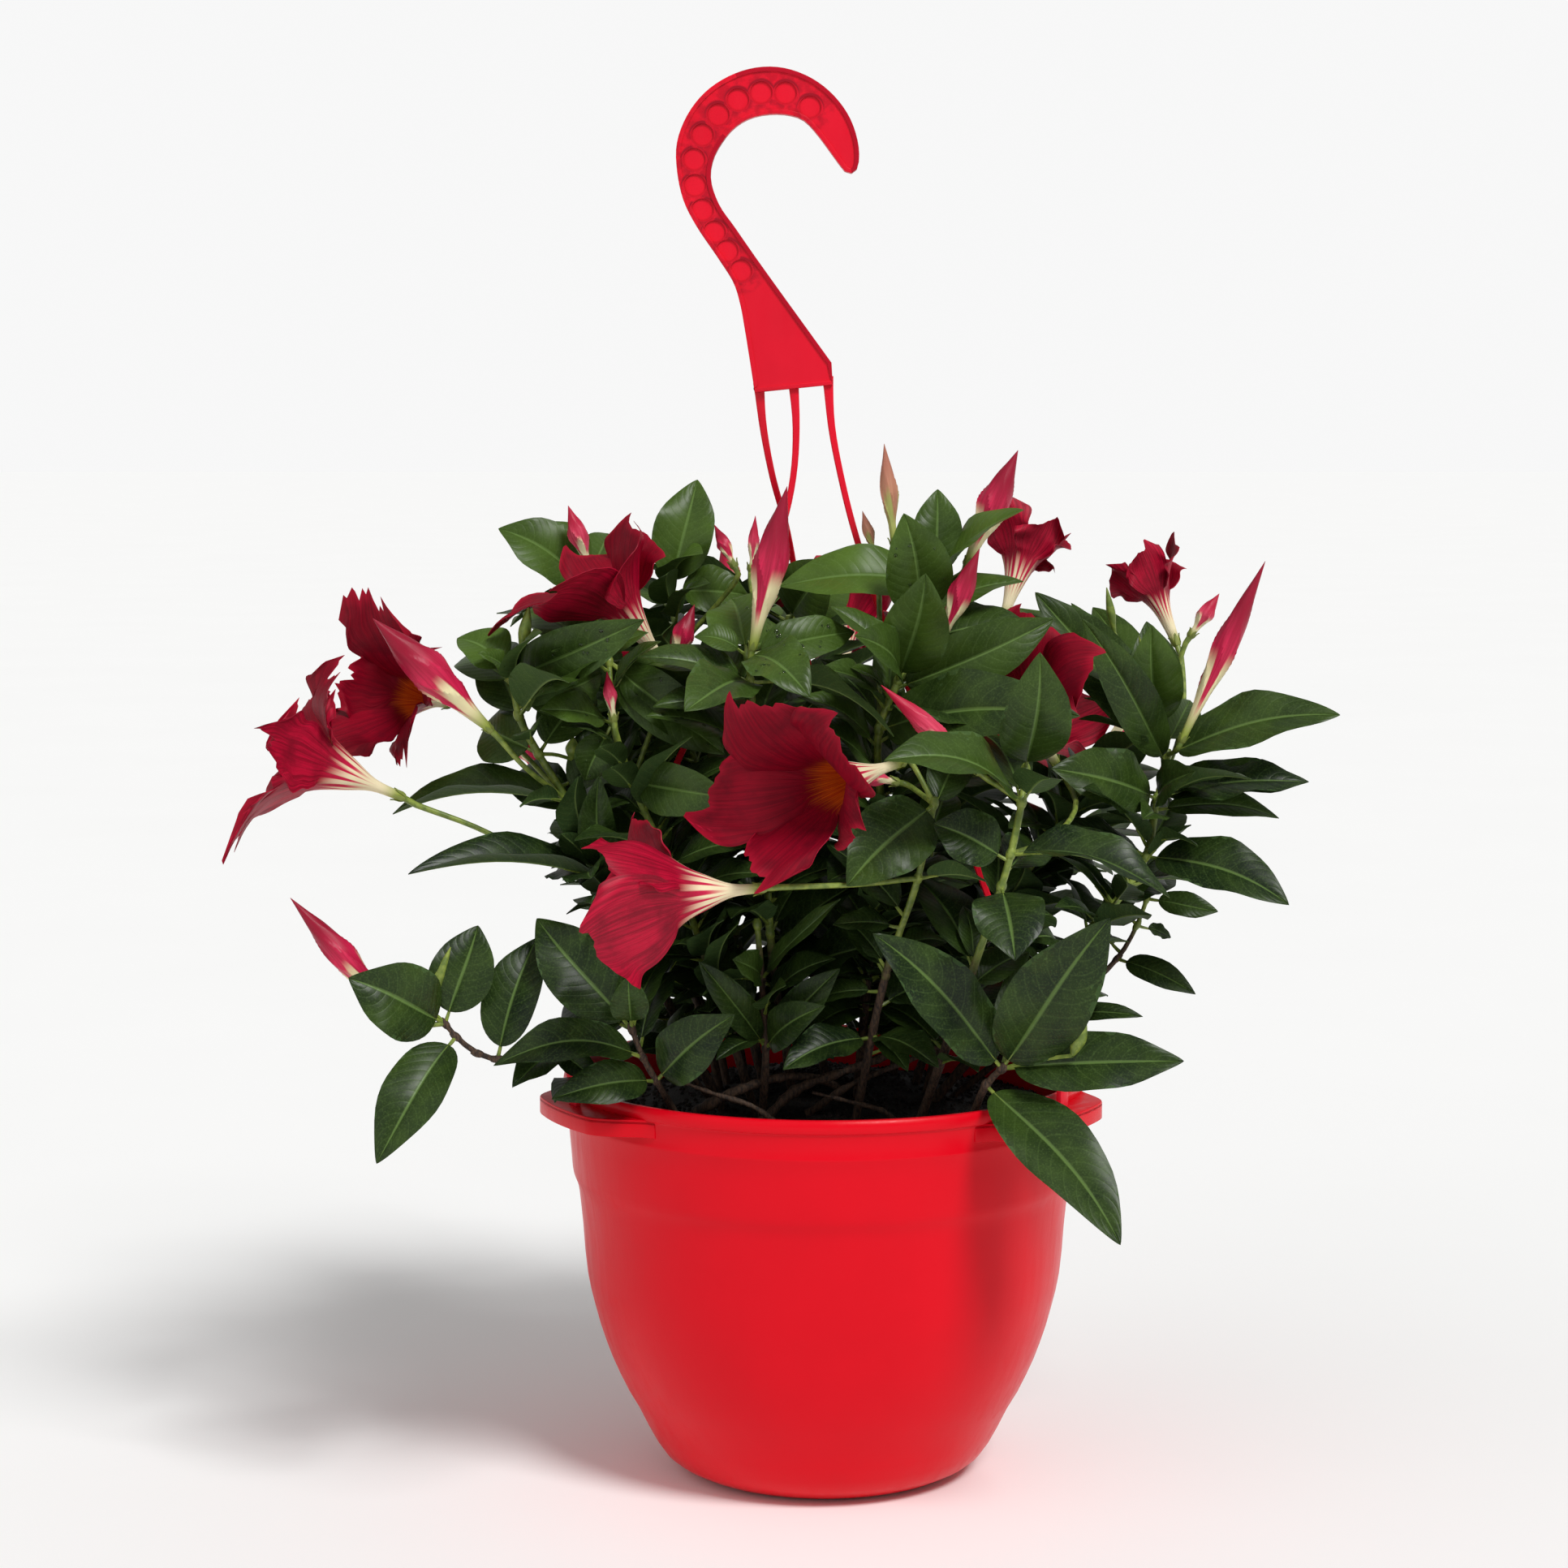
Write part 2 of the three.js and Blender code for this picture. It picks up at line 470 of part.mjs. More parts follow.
// Flower stalks: shoot, stem point, the node it carries, points on the way.
const STALKS = [
  ['left_high', 3, 'bud_left_large', [[-140, -77, 355]]],
  ['left_high', 3, 'bloom_left_back', [[-150, -40, 364]]],
  ['left_high', 2, 'bloom_far_left', [[-134, -58, 310], [-166, -64, 326]]],
  ['left_back', 3, 'bud_left_pink', []],
  ['left_mid', 2, 'bloom_upper_left', [[-80, -66, 375]]],
  ['left_mid', 2, 'bud_left_low', []],
  ['centre_left', 3, 'bud_inner_left', [[-74, -24, 378]]],
  ['centre_left', 4, 'bud_red_short', []],
  ['centre', 4, 'bud_centre_large', []],
  ['centre', 4, 'bud_pink_small', [[-32, -56, 420]]],
  ['centre_back', 1, 'bloom_middle_back', [[8, 48, 354]]],
  ['centre_right', 4, 'bud_tan_top', [[34, -44, 430]]],
  ['centre_right', 3, 'bud_tan_small', [[26, -36, 415]]],
  ['centre_right', 5, 'bud_red_top', [[46, -22, 440]]],
  ['centre_right', 6, 'bud_magenta_top', []],
  ['centre_right', 4, 'bud_magenta_low', []],
  ['centre_right', 5, 'bloom_upper_right', [[70, -14, 412]]],
  ['right_front', 4, 'bud_long_front', [[77, -123, 351]]],
  ['right_front', 3, 'bloom_right_centre', [[106, -76, 322], [120, -34, 334]]],
  ['middle_front', 3, 'bloom_centre', []],
  ['middle_front', 3, 'bud_behind_bloom', []],
  ['middle_front', 2, 'bloom_front_trumpet', [[14, -130, 307]]],
  ['right_high', 5, 'bud_long_right', []],
  ['right_high', 6, 'bud_right_small', [[172, 10, 392]]],
  ['right_high', 4, 'bloom_right_back', [[178, 30, 368]]],
  ['trailing_left', 5, 'bud_trailing', []],
  ['back_4', 4, 'bud_back_upper', []],
  ['back_7', 4, 'bud_back_lower', []],
  ['back_1', 4, 'bud_back_side', []],
  ['back_5', 4, 'bloom_back_left', []],
  ['back_3', 4, 'bloom_back_right', []],
];

// Young buds, still green: shoot, stem point, base, tip, radius.
const YOUNG_BUDS = [
  ['left_high', 6, [-141, -76, 409], [-137, -80, 430], 3],
  ['left_high', 3, [-119, -62, 357], [-118, -64, 368], 3.4],
  ['right_high', 6, [159, -12, 386], [151, -16, 412], 2.2],
  ['right_high', 6, [142, 12, 412], [138, 12, 434], 2.2],
  ['rim_right', 2, [112, -120, 227], [118, -122, 244], 3.6],
  ['trailing_left', 5, [-186, -92, 243], [-174, -88, 272], 3],
];

// Limits of the crown for the leaves that follow the rule: its outline seen from the front as
// [x, z], its greatest depth, and the bare soil that shows under the front of the plant.
const CROWN_OUTLINE = [
  [-128, 200], [-130, 262], [-136, 300], [-150, 335], [-170, 372], [-176, 412], [-152, 452],
  [-110, 462], [-70, 455], [-40, 440], [10, 440], [40, 458], [62, 468], [98, 452], [125, 428],
  [150, 430], [178, 412], [186, 380], [188, 322], [192, 292], [150, 270], [138, 240], [134, 200],
];
const CROWN_DEPTH = 205;
const CROWN_FRONT = -92;
const WINDOW = { halfWidth: 104, height: 240, back: 20 };

// ---------------------------------------------------------------- leaves
const UP = V(0, 0, 1);

function makeRandom(seed) {
  let state = seed;
  return () => {
    state = (state * 1664525 + 1013904223) % 4294967296;
    return state / 4294967296;
  };
}

function leafOf(base, tip, width, looks, arch, fold = FOLD) {
  const reach = tip.clone().sub(base);
  const length = reach.length();
  const along = reach.divideScalar(length);
  const face = V(...looks);
  face.addScaledVector(along, -face.dot(along)).normalize();
  const across = along.clone().cross(face);
  return { base, length, along, face, across, width, arch, fold: radians(fold) };
}

// A point of the blade: u runs from stalk to tip, v from edge to edge, lift along the face.
function bladePoint(leaf, u, v, lift = 0) {
  const stalk = Math.min(STALK / leaf.length, 0.3);
  const t = stalk + (1 - stalk) * u;
  const half = (leaf.width / 2) * (u ** 0.55 * (1 - u) ** 0.75) / 0.4124;
  const rise = leaf.arch * Math.sin(Math.PI * t) + Math.abs(v) * half * Math.sin(leaf.fold) + lift;
  return leaf.base.clone()
    .addScaledVector(leaf.along, leaf.length * t)
    .addScaledVector(leaf.across, v * half * Math.cos(leaf.fold))
    .addScaledVector(leaf.face, rise);
}

function leafRings(leaf, stations) {
  const rings = stations.map((u) => [
    bladePoint(leaf, u, 0, BLADE / 2), bladePoint(leaf, u, 1),
    bladePoint(leaf, u, 0, -BLADE / 2), bladePoint(leaf, u, -1),
  ]);
  return [...rings, [bladePoint(leaf, 1, 0)]];
}

const LARGE_STATIONS = [0.16, 0.5, 0.84];
const SMALL_STATIONS = [0.24, 0.72];

// ---------------------------------------------------------------- blooms and buds
function axisFrame(base, end) {
  const axis = end.clone().sub(base);
  const length = axis.length();
  axis.divideScalar(length);
  const first = UP.clone().addScaledVector(axis, -UP.dot(axis)).normalize();
  const second = axis.clone().cross(first);
  return { base, axis, length, first, second };
}

// A point of petal k in the bloom: u from throat to edge, v across, lift off the face. The petal
// starts in the flat side of the five-sided funnel, and one edge is raised over its neighbour.
function petalPoint(bloom, k, u, v, lift = 0) {
  const [reach, lean, width] = bloom.petals[k];
  const turn = radians(bloom.turn + 72 * k);
  const apothem = bloom.mouth * Math.cos(Math.PI / 5);
  const start = Math.atan2(0.5 * apothem, 0.34 * bloom.frame.length);
  const throat = apothem - 0.75;
  const bend = radians(lean) - start;
  const run = u * (1 + 0.13 * v - 0.07 * v * v);
  const angle = start + bend * run;
  const out = throat + (reach * (Math.cos(start) - Math.cos(angle))) / bend;
  const up = bloom.frame.length + (reach * (Math.sin(angle) - Math.sin(start))) / bend;
  const rootHalf = throat * Math.tan(Math.PI / 5) - 0.6;
  const spread = (width / 2) * (2.75 * run - 2.05 * run * run);
  const side = v * (rootHalf * (1 - run) ** 2 + spread);
  const raise = 4.4 * v * Math.sqrt(u) + lift;
  const radial = out - raise * Math.cos(angle);
  const forward = up + raise * Math.sin(angle);
  const { base, axis, first, second } = bloom.frame;
  const x = radial * Math.cos(turn) - side * Math.sin(turn);
  const y = radial * Math.sin(turn) + side * Math.cos(turn);
  return base.clone().addScaledVector(first, x).addScaledVector(second, y)
    .addScaledVector(axis, forward);
}

// The petal's rows beyond the throat, on its upper (lift > 0) or lower side.
function petalRows(bloom, k, lift) {
  return [0.55, 1].map((u) => [-1, 0, 1].map((v) => petalPoint(bloom, k, u, v, lift)));
}

function alongAxis(profile, frame, segments) {
  const points = profile.map(([r, h]) => new THREE.Vector2(r, h));
  const geometry = standing(new THREE.LatheGeometry(points, segments));
  const place = new THREE.Matrix4().makeBasis(frame.first, frame.second, frame.axis);
  place.setPosition(frame.base);
  return solid(geometry.applyMatrix4(place));
}

function bloomOf([name, base, mouth, radius, turn, petals]) {
  const frame = axisFrame(V(...base), V(...mouth));
  return { name: `bloom_${name}`, mouth: radius, turn, petals, frame };
}

// The five corners of the funnel at a height along the axis.
function funnelRing(bloom, radius, height) {
  const { base, axis, first, second } = bloom.frame;
  return Array.from({ length: PETALS }, (_, k) => {
    const angle = radians(bloom.turn + 36 + 72 * k);
    return base.clone().addScaledVector(first, radius * Math.cos(angle))
      .addScaledVector(second, radius * Math.sin(angle)).addScaledVector(axis, height);
  });
}

// One skin: tube and funnel, then a petal out of each side of the mouth.
function bloomSolid(bloom) {
  const { length } = bloom.frame;
  const wide = bloom.mouth;
  const skin = new Skin();
  const tubeRings = [[2.1, 0], [2.6, 0.36], [0.5 * wide, 0.66]].map(
    ([radius, t]) => funnelRing(bloom, radius, t * length));
  skin.cap([...tubeRings[0]].reverse());
  for (let i = 0; i < 2; i += 1) {
    for (let k = 0; k < PETALS; k += 1) {
      const before = (k + PETALS - 1) % PETALS;
      skin.triangle(tubeRings[i][before], tubeRings[i][k], tubeRings[i + 1][k]);
      skin.triangle(tubeRings[i][before], tubeRings[i + 1][k], tubeRings[i + 1][before]);
    }
  }
  const outerFoot = tubeRings[2];
  const outerRim = funnelRing(bloom, wide, length);
  const innerRim = funnelRing(bloom, wide - 1.5, length);
  const innerFoot = funnelRing(bloom, 0.5 * wide - 1.2, 0.68 * length);
  const pit = bloom.frame.base.clone().addScaledVector(bloom.frame.axis, 0.5 * length);
  const along = (a, b, t) => a.clone().lerp(b, t);
  const roots = Array.from({ length: PETALS }, (_, k) => {
    const before = (k + PETALS - 1) % PETALS;
    const places = [0.1, 0.5, 0.9];
    return {
      low: places.map((t) => along(outerRim[before], outerRim[k], t)),
      top: places.map((t) => along(innerRim[before], innerRim[k], t)),
    };
  });
  for (let k = 0; k < PETALS; k += 1) {
    const before = (k + PETALS - 1) % PETALS;
    const next = (k + 1) % PETALS;
    const low = [roots[k].low, ...petalRows(bloom, k, -PETAL / 2)];
    const top = [roots[k].top, ...petalRows(bloom, k, PETAL / 2)];
    const fan = (corner, points) => {
      for (let i = 0; i < points.length - 1; i += 1) skin.triangle(corner, points[i], points[i + 1]);
    };
    skin.triangle(outerFoot[before], outerFoot[k], low[0][1]);
    fan(outerFoot[before], [low[0][1], low[0][0], outerRim[before]]);
    fan(outerFoot[k], [outerRim[k], low[0][2], low[0][1]]);
    skin.triangle(innerFoot[k], innerFoot[before], top[0][1]);
    fan(innerFoot[before], [innerRim[before], top[0][0], top[0][1]]);
    fan(innerFoot[k], [top[0][1], top[0][2], innerRim[k]]);
    skin.triangle(innerFoot[before], innerFoot[k], pit);
    fan(low[0][2], [outerRim[k], innerRim[k], top[0][2]]);
    fan(outerRim[k], [roots[next].low[0], roots[next].top[0], innerRim[k]]);
    for (let i = 0; i < 2; i += 1) {
      for (let j = 0; j < 2; j += 1) {
        skin.triangle(low[i][j], low[i][j + 1], low[i + 1][j + 1]);
        skin.triangle(low[i][j], low[i + 1][j + 1], low[i + 1][j]);
        skin.triangle(top[i][j], top[i + 1][j + 1], top[i][j + 1]);
        skin.triangle(top[i][j], top[i + 1][j], top[i + 1][j + 1]);
      }
      skin.cap([low[i][0], low[i + 1][0], top[i + 1][0], top[i][0]]);
      skin.cap([low[i + 1][2], low[i][2], top[i][2], top[i + 1][2]]);
      skin.cap([low[2][i], low[2][i + 1], top[2][i + 1], top[2][i]]);
    }
  }
  return solid(skin.geometry());
}

function budOf([name, base, tip, radius, colour]) {
  return { name: `bud_${name}`, radius, colour, frame: axisFrame(V(...base), V(...tip)) };
}

function budSolid(bud) {
  const { length } = bud.frame;
  const wide = bud.radius;
  return alongAxis([
    [0, 0], [1.7, 0], [0.42 * wide, 0.22 * length], [wide, 0.5 * length],
    [0.62 * wide, 0.74 * length], [0, length],
  ], bud.frame, 6);
}

// ---------------------------------------------------------------- the plan worked out
function shootPoint(heading, reach, height, t) {
  const radius = 50 + (reach - 50) * t ** 1.35;
  const z = SOIL_LEVEL + (height - SOIL_LEVEL) * t ** 0.85;
  return [radius * Math.cos(radians(heading)), radius * Math.sin(radians(heading)), z];
}

const shoots = SHOOTS.map(([name, radius, points, leaves]) => ({
  name, radius, points: points.map((p) => V(...p)), leaves,
}));
BACK_SHOOTS.forEach(([heading, reach, height], i) => {
  const points = [0, 0.25, 0.5, 0.75, 1].map((t) => V(...shootPoint(heading, reach, height, t)));
  shoots.push({ name: `back_${i}`, radius: 2, points, leaves: [], back: true });
});
const shootNamed = Object.fromEntries(shoots.map((shoot) => [shoot.name, shoot]));

const blooms = BLOOMS.map(bloomOf);
const buds = BUDS.map(budOf);
const carried = Object.fromEntries([...blooms, ...buds].map((piece) => [piece.name, piece]));

const stalks = STALKS.map(([shoot, at, piece, way]) => {
  const { base, axis } = carried[piece].frame;
  const points = [shootNamed[shoot].points[at], ...way.map((p) => V(...p)),
    base.clone().addScaledVector(axis, -4), base.clone().addScaledVector(axis, -GAP)];
  return { shoot, at, points, radius: 1.5 };
});

// ---------------------------------------------------------------- room for the leaves
// Everything that a blade must pass is a list of beads: [x, y, z, radius, shoot].
const beads = [];

function beadsAlong(points, radius, shoot, spacing = 4) {
  const curve = new THREE.CatmullRomCurve3(points, false, 'centripetal');
  const count = Math.ceil(curve.getLength() / spacing);
  for (const p of curve.getSpacedPoints(count)) beads.push([p.x, p.y, p.z, radius, shoot]);
}

function bladeBeads(leaf) {
  const list = [];
  for (let i = 1; i <= 10; i += 1) {
    for (let j = -2; j <= 2; j += 1) list.push(bladePoint(leaf, i / 10, j / 2));
  }
  return list;
}

STRAP_PATHS.forEach((path) => beadsAlong(path.map((p) => V(...p)), 2, 'hanger'));
for (const shoot of shoots) beadsAlong(shoot.points, shoot.radius, shoot.name);
for (const stalk of stalks) beadsAlong(stalk.points, stalk.radius, stalk.shoot);
for (const bud of buds) {
  const { base, axis, length } = bud.frame;
  for (let i = 0; i <= 10; i += 1) {
    const p = base.clone().addScaledVector(axis, (length * i) / 10);
    beads.push([p.x, p.y, p.z, bud.radius * Math.sin((Math.PI * (i + 1)) / 12), bud.name]);
  }
}
for (const bloom of blooms) {
  const { base, axis, length } = bloom.frame;
  for (let i = 0; i <= 10; i += 1) {
    const p = base.clone().addScaledVector(axis, (length * i) / 10);
    const wide = i < 5 ? 3 : bloom.mouth * (i / 10) ** 2;
    beads.push([p.x, p.y, p.z, wide, bloom.name]);
  }
  for (let k = 0; k < 5; k += 1) {
    for (let i = 1; i <= 5; i += 1) {
      for (let j = -2; j <= 2; j += 1) {
        const p = petalPoint(bloom, k, i / 5, j / 2);
        beads.push([p.x, p.y, p.z, 1, bloom.name]);
      }
    }
  }
}

function potClearance(p) {
  const r = Math.hypot(p.x, p.y);
  if (p.z > POT_HEIGHT) return p.z - POT_HEIGHT;
  if (r < INSIDE[1][0]) return Math.min(INSIDE[1][0] - r, p.z - SOIL_LEVEL);
  const wall = p.z > EAR_TOP - 24 ? EAR_RADIUS : RIM_RADIUS;
  return r - wall;
}

// The least distance between a blade and what is near it, its own root apart.
function clearance(leaf, shoot, near) {
  let least = Infinity;
  for (const p of bladeBeads(leaf)) {
    least = Math.min(least, potClearance(p));
    for (const [x, y, z, radius, owner, fromBase] of near) {
      if (owner === shoot && fromBase < 15) continue;
      const distance = Math.sqrt((p.x - x) ** 2 + (p.y - y) ** 2 + (p.z - z) ** 2) - radius;
      if (distance < least) least = distance;
    }
    if (least < 0) return least;
  }
  return least;
}

const BENDS = [[0, 0]];
const DRAWN_BENDS = 25;          // how many of them a leaf with a drawn tip may try
for (const size of [7, 14, 21, 28]) {
  for (let i = 0; i < 8; i += 1) {
    BENDS.push([size * Math.cos((Math.PI * i) / 4), size * Math.sin((Math.PI * i) / 4)]);
  }
}

// The first bend of the leaf's stalk that clears all that is there, or the best one.
function bentClear(base, tip, width, looks, arch, fold, shoot, bends) {
  const reach = tip.clone().sub(base);
  const length = reach.length();
  const heading = Math.atan2(reach.y, reach.x);
  const rise = Math.atan2(reach.z, Math.hypot(reach.x, reach.y));
  const near = [];
  for (const bead of beads) {
    const fromBase = Math.hypot(bead[0] - base.x, bead[1] - base.y, bead[2] - base.z);
    if (fromBase < length + 24) near.push([...bead, fromBase]);
  }
  let best = null;
  for (const [yaw, pitch] of bends) {
    const a = heading + radians(yaw);
    const e = rise + radians(pitch);
    const way = V(Math.cos(e) * Math.cos(a), Math.cos(e) * Math.sin(a), Math.sin(e));
    const leaf = leafOf(base, base.clone().addScaledVector(way, length), width, looks, arch, fold);
    const room = clearance(leaf, shoot, near);
    if (!best || room > best.room) best = { leaf, room };
    if (room >= CLEAR) break;
  }
  return best;
}

function keep(shoot, at, leaf, stations) {
  shoot.blades.push({ at, leaf, stations });
  for (const p of bladeBeads(leaf)) beads.push([p.x, p.y, p.z, 0.6, shoot.name]);
}

for (const shoot of shoots) shoot.blades = [];
for (const shoot of shoots) {
  for (const [at, tip, width, looks, arch, fold] of shoot.leaves) {
    const base = shoot.points[at];
    const small = width < 22;
    const bends = BENDS.slice(0, DRAWN_BENDS);
    const placed = bentClear(base, V(...tip), width, looks, arch, fold, shoot.name, bends);
    keep(shoot, at, placed.leaf, small ? SMALL_STATIONS : LARGE_STATIONS);
  }
}

// ---------------------------------------------------------------- leaves by rule
function insideOutline(p) {
  let inside = false;
  CROWN_OUTLINE.forEach(([x, z], i) => {
    const [x2, z2] = CROWN_OUTLINE[(i + 1) % CROWN_OUTLINE.length];
    if ((z > p.z) !== (z2 > p.z) && p.x < ((x2 - x) * (p.z - z)) / (z2 - z) + x) inside = !inside;
  });
  return inside;
}

function inCrown(leaf) {
  return [0.3, 0.6, 1].every((u) => [-0.8, 0, 0.8].every((v) => {
    const p = bladePoint(leaf, u, v);
    const inWindow = p.y < WINDOW.back && p.z < WINDOW.height && Math.abs(p.x) < WINDOW.halfWidth;
    return insideOutline(p) && p.y < CROWN_DEPTH && p.y > CROWN_FRONT && !inWindow;
  }));
}

const random = makeRandom(RULE_SEED);

function ruleLeaf(shoot, at, heading, length) {
  const base = shoot.points[at];
  const outward = Math.atan2(base.y, base.x);
  const way = V(Math.cos(heading), Math.sin(heading), 0.15 + 0.5 * random());
  way.x += 0.5 * Math.cos(outward);
  way.y += 0.5 * Math.sin(outward);
  way.normalize();
  const apart = shoot.blades.filter((blade) => blade.at === at)
    .every(({ leaf }) => leaf.along.angleTo(way) > radians(APART));
  if (!apart) return;
  const tip = base.clone().addScaledVector(way, length);
  const looks = [0.7 * Math.cos(outward), 0.7 * Math.sin(outward), 1];
  const placed = bentClear(base, tip, 0.42 * length, looks, 0.08 * length, FOLD, shoot.name, BENDS);
  if (placed.room >= CLEAR && inCrown(placed.leaf)) keep(shoot, at, placed.leaf, SMALL_STATIONS);
}

for (const shoot of shoots) {
  const last = shoot.points.length - 1;
  for (let at = last; at >= 1; at -= 1) {
    const base = shoot.points[at];
    const outward = Math.atan2(base.y, base.x);
    const turn = outward + (at % 2) * (Math.PI / 2) + 0.7 * (random() - 0.5);
    const count = shoot.back && at === last ? 4 : 2;
    const length = (shoot.back ? 58 : 42) + 20 * random();
    for (let i = 0; i < count; i += 1) {
      ruleLeaf(shoot, at, turn + Math.PI / 2 + (2 * Math.PI * i) / count, length);
    }
  }
}

// ---------------------------------------------------------------- pieces
// A four-cornered ring about a point, square to the way, its first corner towards a side.
function squareRing(centre, way, side, radius) {
  const face = side.clone().addScaledVector(way, -side.dot(way)).normalize();
  const across = way.clone().cross(face);
  return [[1, 0], [0, 1], [-1, 0], [0, -1]].map(([f, a]) => centre.clone()
    .addScaledVector(face, f * radius).addScaledVector(across, a * radius));
}

function stalkRings(points, radius) {
  const curve = new THREE.CatmullRomCurve3(points, false, 'centripetal');
  const side = V(0.3, -0.9, 0.3);
  const steps = points.length;
  return Array.from({ length: steps }, (_, i) => {
    const t = (i + 1) / steps;
    return squareRing(curve.getPointAt(t), curve.getTangentAt(t), side, radius);
  });
}

function youngBudRings([, , base, tip, radius]) {
  const { axis, length } = axisFrame(V(...base), V(...tip));
  const rings = [[1.3, 0], [radius, 0.4], [0.7 * radius, 0.7]].map(([r, t]) => (
    squareRing(V(...base).addScaledVector(axis, t * length), axis, V(0.3, -0.9, 0.3), r)));
  return [...rings, [V(...tip)]];
}

// What grows out of a shoot's stem: the stem point it leaves from, the way it goes, its rings.
function growthsOf(shoot) {
  const growths = [];
  for (const { at, points, radius } of stalks.filter((stalk) => stalk.shoot === shoot.name)) {
    growths.push({ at, way: points[1].clone().sub(points[0]), rings: stalkRings(points, radius) });
  }
  for (const young of YOUNG_BUDS.filter(([owner]) => owner === shoot.name)) {
    const [, at, base] = young;
    growths.push({ at, way: V(...base).sub(shoot.points[at]), rings: youngBudRings(young) });
  }
  for (const { at, leaf, stations } of shoot.blades) {
    growths.push({ at, way: leaf.along, rings: leafRings(leaf, stations) });
  }
  return growths;
}

// Rings of the stem from the foot of its root to its tip. A stem point that carries something
// has a short joint of stem for every three growths, and each growth leaves from a side of it.
function stemRings(shoot, growths) {
  const [foot, ...rest] = shoot.points;
  const collar = V(foot.x, foot.y, SOIL_LEVEL + ROOT_RISE);
  const points = [collar, ...rest];
  const curve = new THREE.CatmullRomCurve3(points, false, 'centripetal');
  const length = curve.getLength();
  const side = V(0.35, -0.85, 0.4);
  const up = V(0, 0, 1);
  const rings = [
    squareRing(V(foot.x, foot.y, SOIL_LEVEL - ROOT_DEPTH), up, side, shoot.radius),
    squareRing(collar, up, side, shoot.radius),
  ];
  const sides = [];
  const last = points.length - 1;
  const places = points.map((_, at) => curveLengthTo(curve, at / last));
  for (let at = 1; at <= last; at += 1) {
    const joints = Math.ceil(growths.filter((growth) => growth.at === at).length / 3);
    const before = places[at] - places[at - 1];
    const after = at < last ? places[at + 1] - places[at] : 0;
    const span = at < last ? Math.min(joints * JOINT, 0.8 * before, 0.8 * after)
      : Math.min(joints * JOINT, 0.5 * before);
    const start = at < last ? places[at] - span / 2 : length - span;
    for (let i = 0; i <= joints; i += 1) {
      const t = Math.min((start + (span * i) / Math.max(joints, 1)) / length, 1);
      rings.push(squareRing(curve.getPointAt(t), curve.getTangentAt(t), side, shoot.radius));
      if (i > 0) {
        const ring = rings.length - 2;
        for (let corner = 0; corner < 4; corner += 1) sides.push({ at, ring, corner });
      }
    }
  }
  sides.push({ at: last, ring: rings.length - 1, corner: -1 });
  return { rings, sides };
}

function curveLengthTo(curve, u) {
  const divisions = 200;
  return curve.getLengths(divisions)[Math.round(u * divisions)];
}

// The four corners of a side of the stem, anticlockwise from outside, or of its flat end.
function cornersOf(rings, { ring, corner }) {
  if (corner < 0) return rings[ring];
  const next = (corner + 1) % 4;
  return [rings[ring][corner], rings[ring][next], rings[ring + 1][next], rings[ring + 1][corner]];
}

function outwardOf(corners) {
  return corners[2].clone().sub(corners[0]).cross(corners[3].clone().sub(corners[1])).normalize();
}

// The corners started at the one that twists the run to the next ring least.
function turnedTo(ring, corners) {
  const twist = (turn) => ring.reduce(
    (sum, p, i) => sum + p.distanceToSquared(corners[(i + turn) % 4]), 0);
  const turn = [0, 1, 2, 3].reduce((best, one) => (twist(one) < twist(best) ? one : best), 0);
  return ring.map((_, i) => corners[(i + turn) % 4]);
}

// Gives each growth the free side of the stem that faces its way best.
function seatGrowths(growths, rings, sides) {
  const choices = [];
  growths.forEach((growth, index) => {
    for (const place of sides.filter((one) => one.at === growth.at)) {
      const corners = cornersOf(rings, place);
      const fit = outwardOf(corners).dot(growth.way.clone().normalize());
      choices.push({ index, place, corners, fit });
    }
  });
  choices.sort((a, b) => b.fit - a.fit);
  for (const { index, place, corners } of choices) {
    if (growths[index].root || place.taken) continue;
    place.taken = true;
    growths[index].root = turnedTo(growths[index].rings[0], corners);
    growths[index].place = place;
  }
}

const meets = (a, b) => a.intersect(b).volume() > 1e-4;

// Stem and growths as one skin. A growth that would cross the rest is joined on instead.
function shootSolid(shoot) {
  const growths = growthsOf(shoot);
  const { rings, sides } = stemRings(shoot, growths);
  seatGrowths(growths, rings, sides);
  const stem = loft(rings);
  const grown = [stem];
  const crossing = [];
  const skin = new Skin();
  for (const growth of growths) {
    const body = loft([growth.root, ...growth.rings]);
    if (grown.some((other) => meets(other, body))) {
      growth.place.taken = false;
      crossing.push(growth);
    } else {
      grown.push(body);
      skin.run([growth.root, ...growth.rings]);
    }
  }
  skin.cap([...rings[0]].reverse());
  rings.slice(0, -1).forEach((_, ring) => {
    for (let corner = 0; corner < 4; corner += 1) {
      const grafted = sides.some((one) => one.taken && one.ring === ring && one.corner === corner);
      if (!grafted) skin.cap(cornersOf(rings, { ring, corner }));
    }
  });
  const end = sides[sides.length - 1];
  if (!end.taken) skin.cap(rings[end.ring]);
  const sunk = crossing.map(({ at, way, rings: own }) => {
    const root = squareRing(shoot.points[at], way.clone().normalize(), V(0.2, -0.7, 0.6), SUNK_ROOT);
    return loft([turnedTo(own[0], root), ...own]);
  });
  return joined([solid(skin.geometry()), ...sunk]);
}

